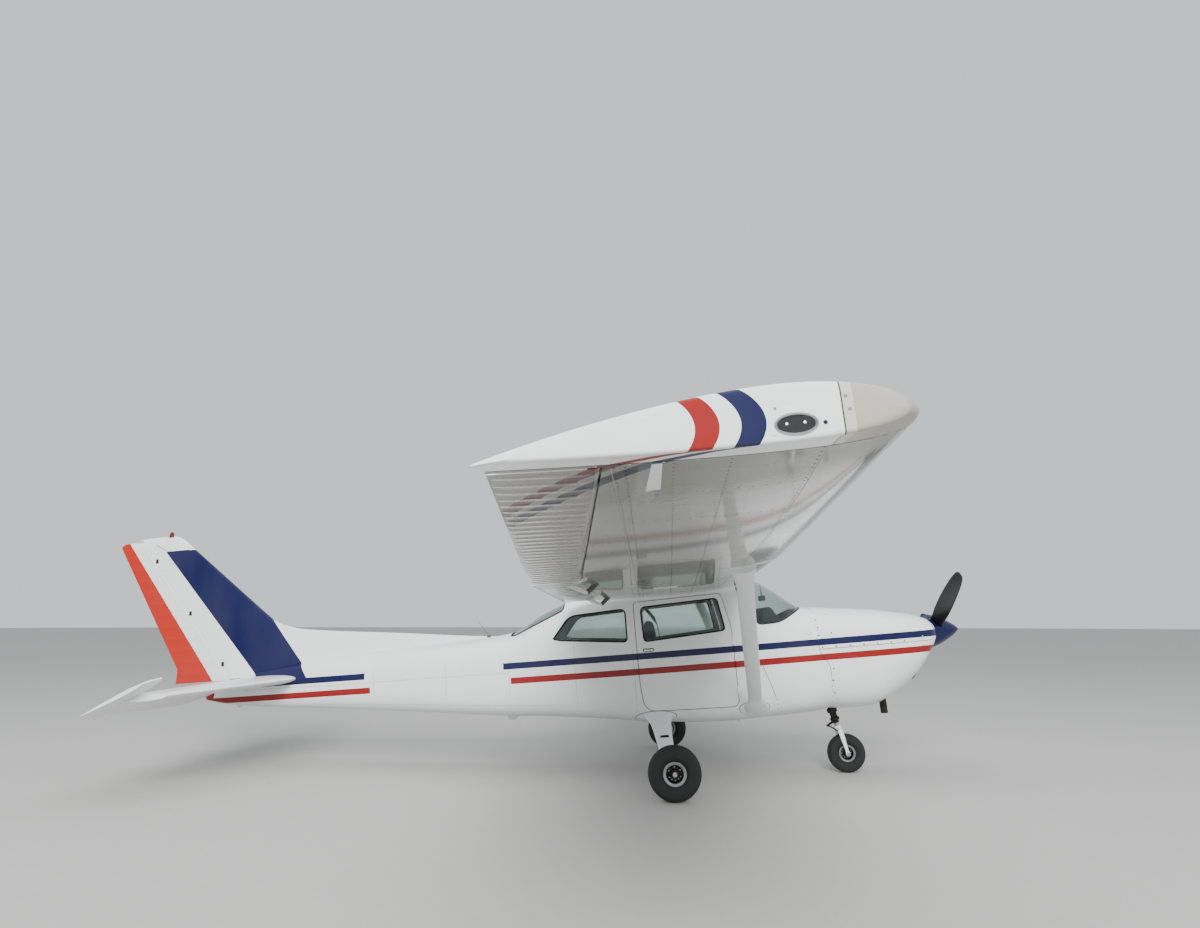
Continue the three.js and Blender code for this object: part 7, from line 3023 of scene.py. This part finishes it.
@dataclass
class WingTrim:
    """One wing's rivets, laps, filler cap, strut plate and light at its tip."""

    label: str
    side: int
    ribs: tuple[float, float, int] = (4915.0, 475.0, 9)
    spans: Sequence[Line] = (
        ((-150, 620), (-150, 5290)), ((-118, 620), (-118, 5290)),
        ((120, 620), (18, 5300)), ((300, 620), (182, 5300)),
    )
    lap: Line = ((540, 620), (527, 3195), (517, 3830), (485, 4675), (447, 5318))
    end_seam: Line = ((690, 5328.5), (-500, 5328.5))
    end_screws: Line = ((660, 5314), (-200, 5314))
    mount: tuple[float, float] = (596.0, 2490.0)
    filler: tuple[float, float] = (330.0, 1180.0)
    flap_cover: tuple[float, float] = (60.0, 1500.0)
    hinge_cover: Line = ((-43, 5305), (-13, 5305), (-15, 4990), (-64, 4975))
    light: tuple[float, float] = (331.0, 1813.0)
    light_y: float = 5478.0
    fairing: Sequence[Corner] = (
        (262, 1786, 14), (262, 1862, 26), (330, 1862, 30), (392, 1812, 12), (330, 1782, 20),
    )
    light_screws: Line = ((282, 1858), (465, 1876), (471, 1840))
    hole: tuple[float, float] = (405.0, 1811.0)
    pitot: tuple[float, float] = (600.0, 2950.0)

    def build(self) -> None:
        """Makes the trim of both faces and the tip."""
        surface = Surface(WING_STATIONS, self.side)
        start, pitch, count = self.ribs
        ribs = []
        for k in range(count):
            out = start - k * pitch
            # The four outer ribs stop short, because the aileron's bay comes forward there
            ribs.append([(470, out), (-470 if k > 3 else -120, out)])
        for upper in (False, True):
            skin = surface_skin(surface, upper)
            name = f"{'upper' if upper else 'lower'}_{self.label}"
            spots = rows(skin, [*ribs, *self.spans, [(x - 12, y) for x, y in self.lap]], 46)
            # The underside's rivet heads take the dark seam finish: painted shade.
            heads = WHITE_PAINT if upper else SEAM
            deliver(studs(f"wing_rivets_{name}", spots, 3.4, 1.0, 6), heads, slot="white_paint")
            rear_lap = [(x - 9, y) for x, y in self.spans[0]]
            deliver(seams(f"wing_laps_{name}", skin, [self.lap, rear_lap], 3.0), LAP)
            deliver(seams(f"tip_seam_{name}", skin, [self.end_seam], 3.4, 0.4), SEAM)
            screws = rows(skin, [self.end_screws], 95)
            deliver(studs(f"tip_screws_{name}", screws, *SCREW), STEEL)
        under, over = surface_skin(surface, False), surface_skin(surface, True)
        mount = [plate("mount", under, soft_box(*self.mount, 165, 40, 36), 5)]
        mount.append(plate("cap", over, oval(*self.filler, 52, 52, 40), 3, 1))
        mount.append(plate("flap_cover", under, soft_box(*self.flap_cover, 95, 70, 14), 1.6))
        mount.append(plate("hinge_cover", under, self.hinge_cover, 2))
        deliver(joined(f"wing_plates_{self.label}", mount), WHITE_PAINT, angle=40)
        cap = [plate("grip", over, soft_box(*self.filler, 34, 7, 6), 9, 1)]
        cap.append(plate("ring", over, oval(*self.filler, 40, 40), 4.4))
        deliver(joined(f"filler_cap_{self.label}", cap), STEEL, angle=40)
        self.build_light(surface)

    def face(self, x: float, z: float) -> Spot:
        """Gives the tip's outer face, which is flat."""
        return Vector((x, self.side * self.light_y, z)), Vector((0, self.side, 0))

    def build_light(self, surface: Surface) -> None:
        """Makes the light in its fairing, and the pitot tube under the port wing.

        Args:
            surface: the wing's surface.
        """
        x, z = self.light
        deliver(plate(f"light_fairing_{self.label}", self.face, rounded(self.fairing), 1.6), TIP_PAINT)
        path = [Vector((a, self.side * (self.light_y + 2.6), b)) for a, b in oval(x, z, 54, 27, 40)]
        deliver(tube(f"light_ring_{self.label}", path, 3.6, 10, True), CHROME, angle=60)
        inside = plate(f"light_inside_{self.label}", self.face, oval(x, z, 50, 24), 2.0)
        deliver(inside, PANEL_BLACK)
        bulbs = [(place + out * 2, out) for place, out in (self.face(x + a, z + 1) for a in (-24, 22))]
        deliver(studs(f"light_bulbs_{self.label}", bulbs, 6, 2.4, 12), CHROME)
        lens = plate(f"light_lens_{self.label}", self.face, oval(x, z, 51, 25, 40), 2.6, 3.2)
        deliver(lens, LENS_CLEAR, angle=60)
        # The hole is a dark disc on the face: painted shade for its hollow.
        hole = plate(f"tip_hole_{self.label}", self.face, oval(*self.hole, 6, 6, 14), 0.8)
        deliver(hole, PANEL_BLACK)
        screws = [self.face(*p) for p in self.light_screws]
        screws = [(place + out * 1.2, out) for place, out in screws]
        deliver(studs(f"light_screws_{self.label}", screws, 5, 1.6, 8), STEEL)
        if self.side < 0:
            return
        foot, out = surface.on_skin(*self.pitot, False)
        bends = ((-4, 0), (40, 0), (78, 8), (88, 34), (90, 170))
        path = [foot + out * down + Vector((forward, 0, 0)) for down, forward in bends]
        deliver(tube("pitot_tube", path, 8, 16), STEEL, angle=50)


@dataclass
class TailTrim:
    """The fin's cap seam, hinge notches and rivets, and the tailplane's rivets."""

    cap: Line = ((-4635, 2431), (-4892, 2427), (-5052, 2528))
    notches: Sequence[float] = (1275.0, 1790.0, 2340.0)
    fin_spar: Line = ((-3640, 1300), (-4540, 2400))
    fin_hinge_row: Line = ((70, 1260), (60, 2400))
    fin_ribs: Line = ((1640, 470), (2020, 340))
    cap_row: Line = ((-4660, 2416), (-4880, 2412))
    stabiliser_spars: Sequence[Line] = (
        ((-3620, 300), (-3880, 1540)), ((-3900, 200), (-4000, 1560)), ((-4120, 180), (-4130, 1560)),
    )
    stabiliser_ribs: Sequence[float] = (420.0, 760.0, 1100.0, 1440.0)

    def build(self) -> None:
        """Makes the trim of the fin and the tailplane."""
        tail = Tail()
        for label, side in SIDES.items():
            skin = surface_skin(FIN, side > 0)
            deliver(seams(f"fin_cap_seam_{label}", skin, [self.cap], 4.2, 0.5), SEAM)
            lines = [self.fin_spar, [(tail.hinge_x(z) + off, z) for off, z in self.fin_hinge_row]]
            lines += [[(tail.hinge_x(z) + off, z) for off in (70, reach)] for z, reach in self.fin_ribs]
            spots = rows(skin, [*lines, self.cap_row], 46)
            deliver(studs(f"fin_rivets_{label}", spots, *RIVET), BODY_PAINT)
            # Each hinge notch is a dark plate on the skin: painted shade for the notch's hollow.
            parts = []
            for z in self.notches:
                x = tail.hinge_x(z) + 44
                parts.append(plate("notch", skin, soft_box(x, z, 15, 22, 4), 0.8))
            deliver(joined(f"fin_notches_{label}", parts), SEAM)
            surface = Surface(tail.stabiliser, side)
            ribs = [[(-3640 - 0.21 * y, y), (-4110, y)] for y in self.stabiliser_ribs]
            lines = [*self.stabiliser_spars, *ribs]
            spots = [spot for top in (True, False) for spot in rows(surface_skin(surface, top), lines, 46)]
            deliver(studs(f"stabiliser_rivets_{label}", spots, 3.0, 1.0, 6), WHITE_PAINT)


# Stage


@dataclass
class Stage:
    """The camera at the photograph's place, a pale floor and soft light."""

    camera_place: tuple[float, float, float] = (1.2567, -7.362, 1.332)
    yaw: float = -3.68
    pitch: float = 11.93
    roll: float = -0.06
    lens: float = 22.455
    sensor: float = 36.0

    def build_camera(self) -> None:
        """Sets the camera."""
        camera = bpy.data.cameras.new("camera")
        camera.lens = self.lens
        camera.sensor_width = self.sensor
        camera.clip_end = 500
        holder = bpy.data.objects.new("camera", camera)
        holder.location = self.camera_place
        holder.rotation_euler = [math.radians(a) for a in (90 + self.pitch, self.roll, -self.yaw)]
        bpy.context.scene.collection.objects.link(holder)
        bpy.context.scene.camera = holder

    def build_floor(self) -> None:
        """Lays the studio floor."""
        bpy.ops.mesh.primitive_circle_add(vertices=96, radius=200, fill_type="NGON", location=(0, 0, 0))
        floor = bpy.context.object
        floor.name = "studio_floor"
        paint = Plastic("floor_paint", "panel_plastic", "#b1b0ad", "#b8b7b4", 0.75, 8.0)
        floor.data.materials.append(paint.material())

    def build_light(self) -> None:
        """Hangs the lights."""
        world = bpy.data.worlds.new("studio")
        world.use_nodes = True
        background = world.node_tree.nodes["Background"]
        background.inputs["Color"].default_value = linear("#dfe4e8")
        background.inputs["Strength"].default_value = 1.1
        bpy.context.scene.world = world
        lamps = (
            ("overhead", (0.5, -2.0, 11.0), (0.0, 0.0, 0.0), 14.0, 700.0, True),
            ("front", (2.0, -24.0, 13.0), (62.0, 0.0, 5.0), 12.0, 9500.0, False),
        )
        for name, place, turn, size, power, mirrored in lamps:
            lamp = bpy.data.lights.new(name, "AREA")
            lamp.size = size
            lamp.energy = power
            holder = bpy.data.objects.new(name, lamp)
            holder.location = place
            holder.rotation_euler = [math.radians(a) for a in turn]
            holder.visible_glossy = mirrored
            bpy.context.scene.collection.objects.link(holder)


def dress_frame(nodes: dict[str, Object]) -> None:
    """Gives every CAD node that still shows its own finish.

    Args:
        nodes: the CAD nodes by name.
    """
    finishes = {
        "firewall": STEEL,
        "baggage_bulkhead": LINING,
        "engine_block": IRON,
        "main_axle_left": STEEL,
        "main_axle_right": STEEL,
    }
    for name, node in nodes.items():
        node.data.materials.clear()
        node.data.materials.append(finishes.get(name, WHITE_PAINT).material())


def main() -> None:
    """Builds the aircraft round its frame, piece by piece."""
    logging.basicConfig(level=logging.INFO, format="%(name)s: %(message)s")
    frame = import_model()
    stage = Stage()
    stage.build_camera()
    stage.build_floor()
    stage.build_light()
    dress_frame(frame["nodes"])
    Cabin().build()
    Cowl().build()
    for label, side in SIDES.items():
        Wing(label, side).build()
        MainGear(label, side).build()
        Wheel(f"main_{label}", f"main_wheel_{label}", 205, 75, 90, 18).build()
    Tail().build()
    PowerPlant().build()
    NoseGear().build()
    Wheel("nose", "nose_wheel", 168, 60, 75, 12).build()
    Seats().build()
    Panel().build()
    BodyTrim().build()
    for label, side in SIDES.items():
        WingTrim(label, side).build()
    TailTrim().build()


if __name__ == "__main__":
    main()
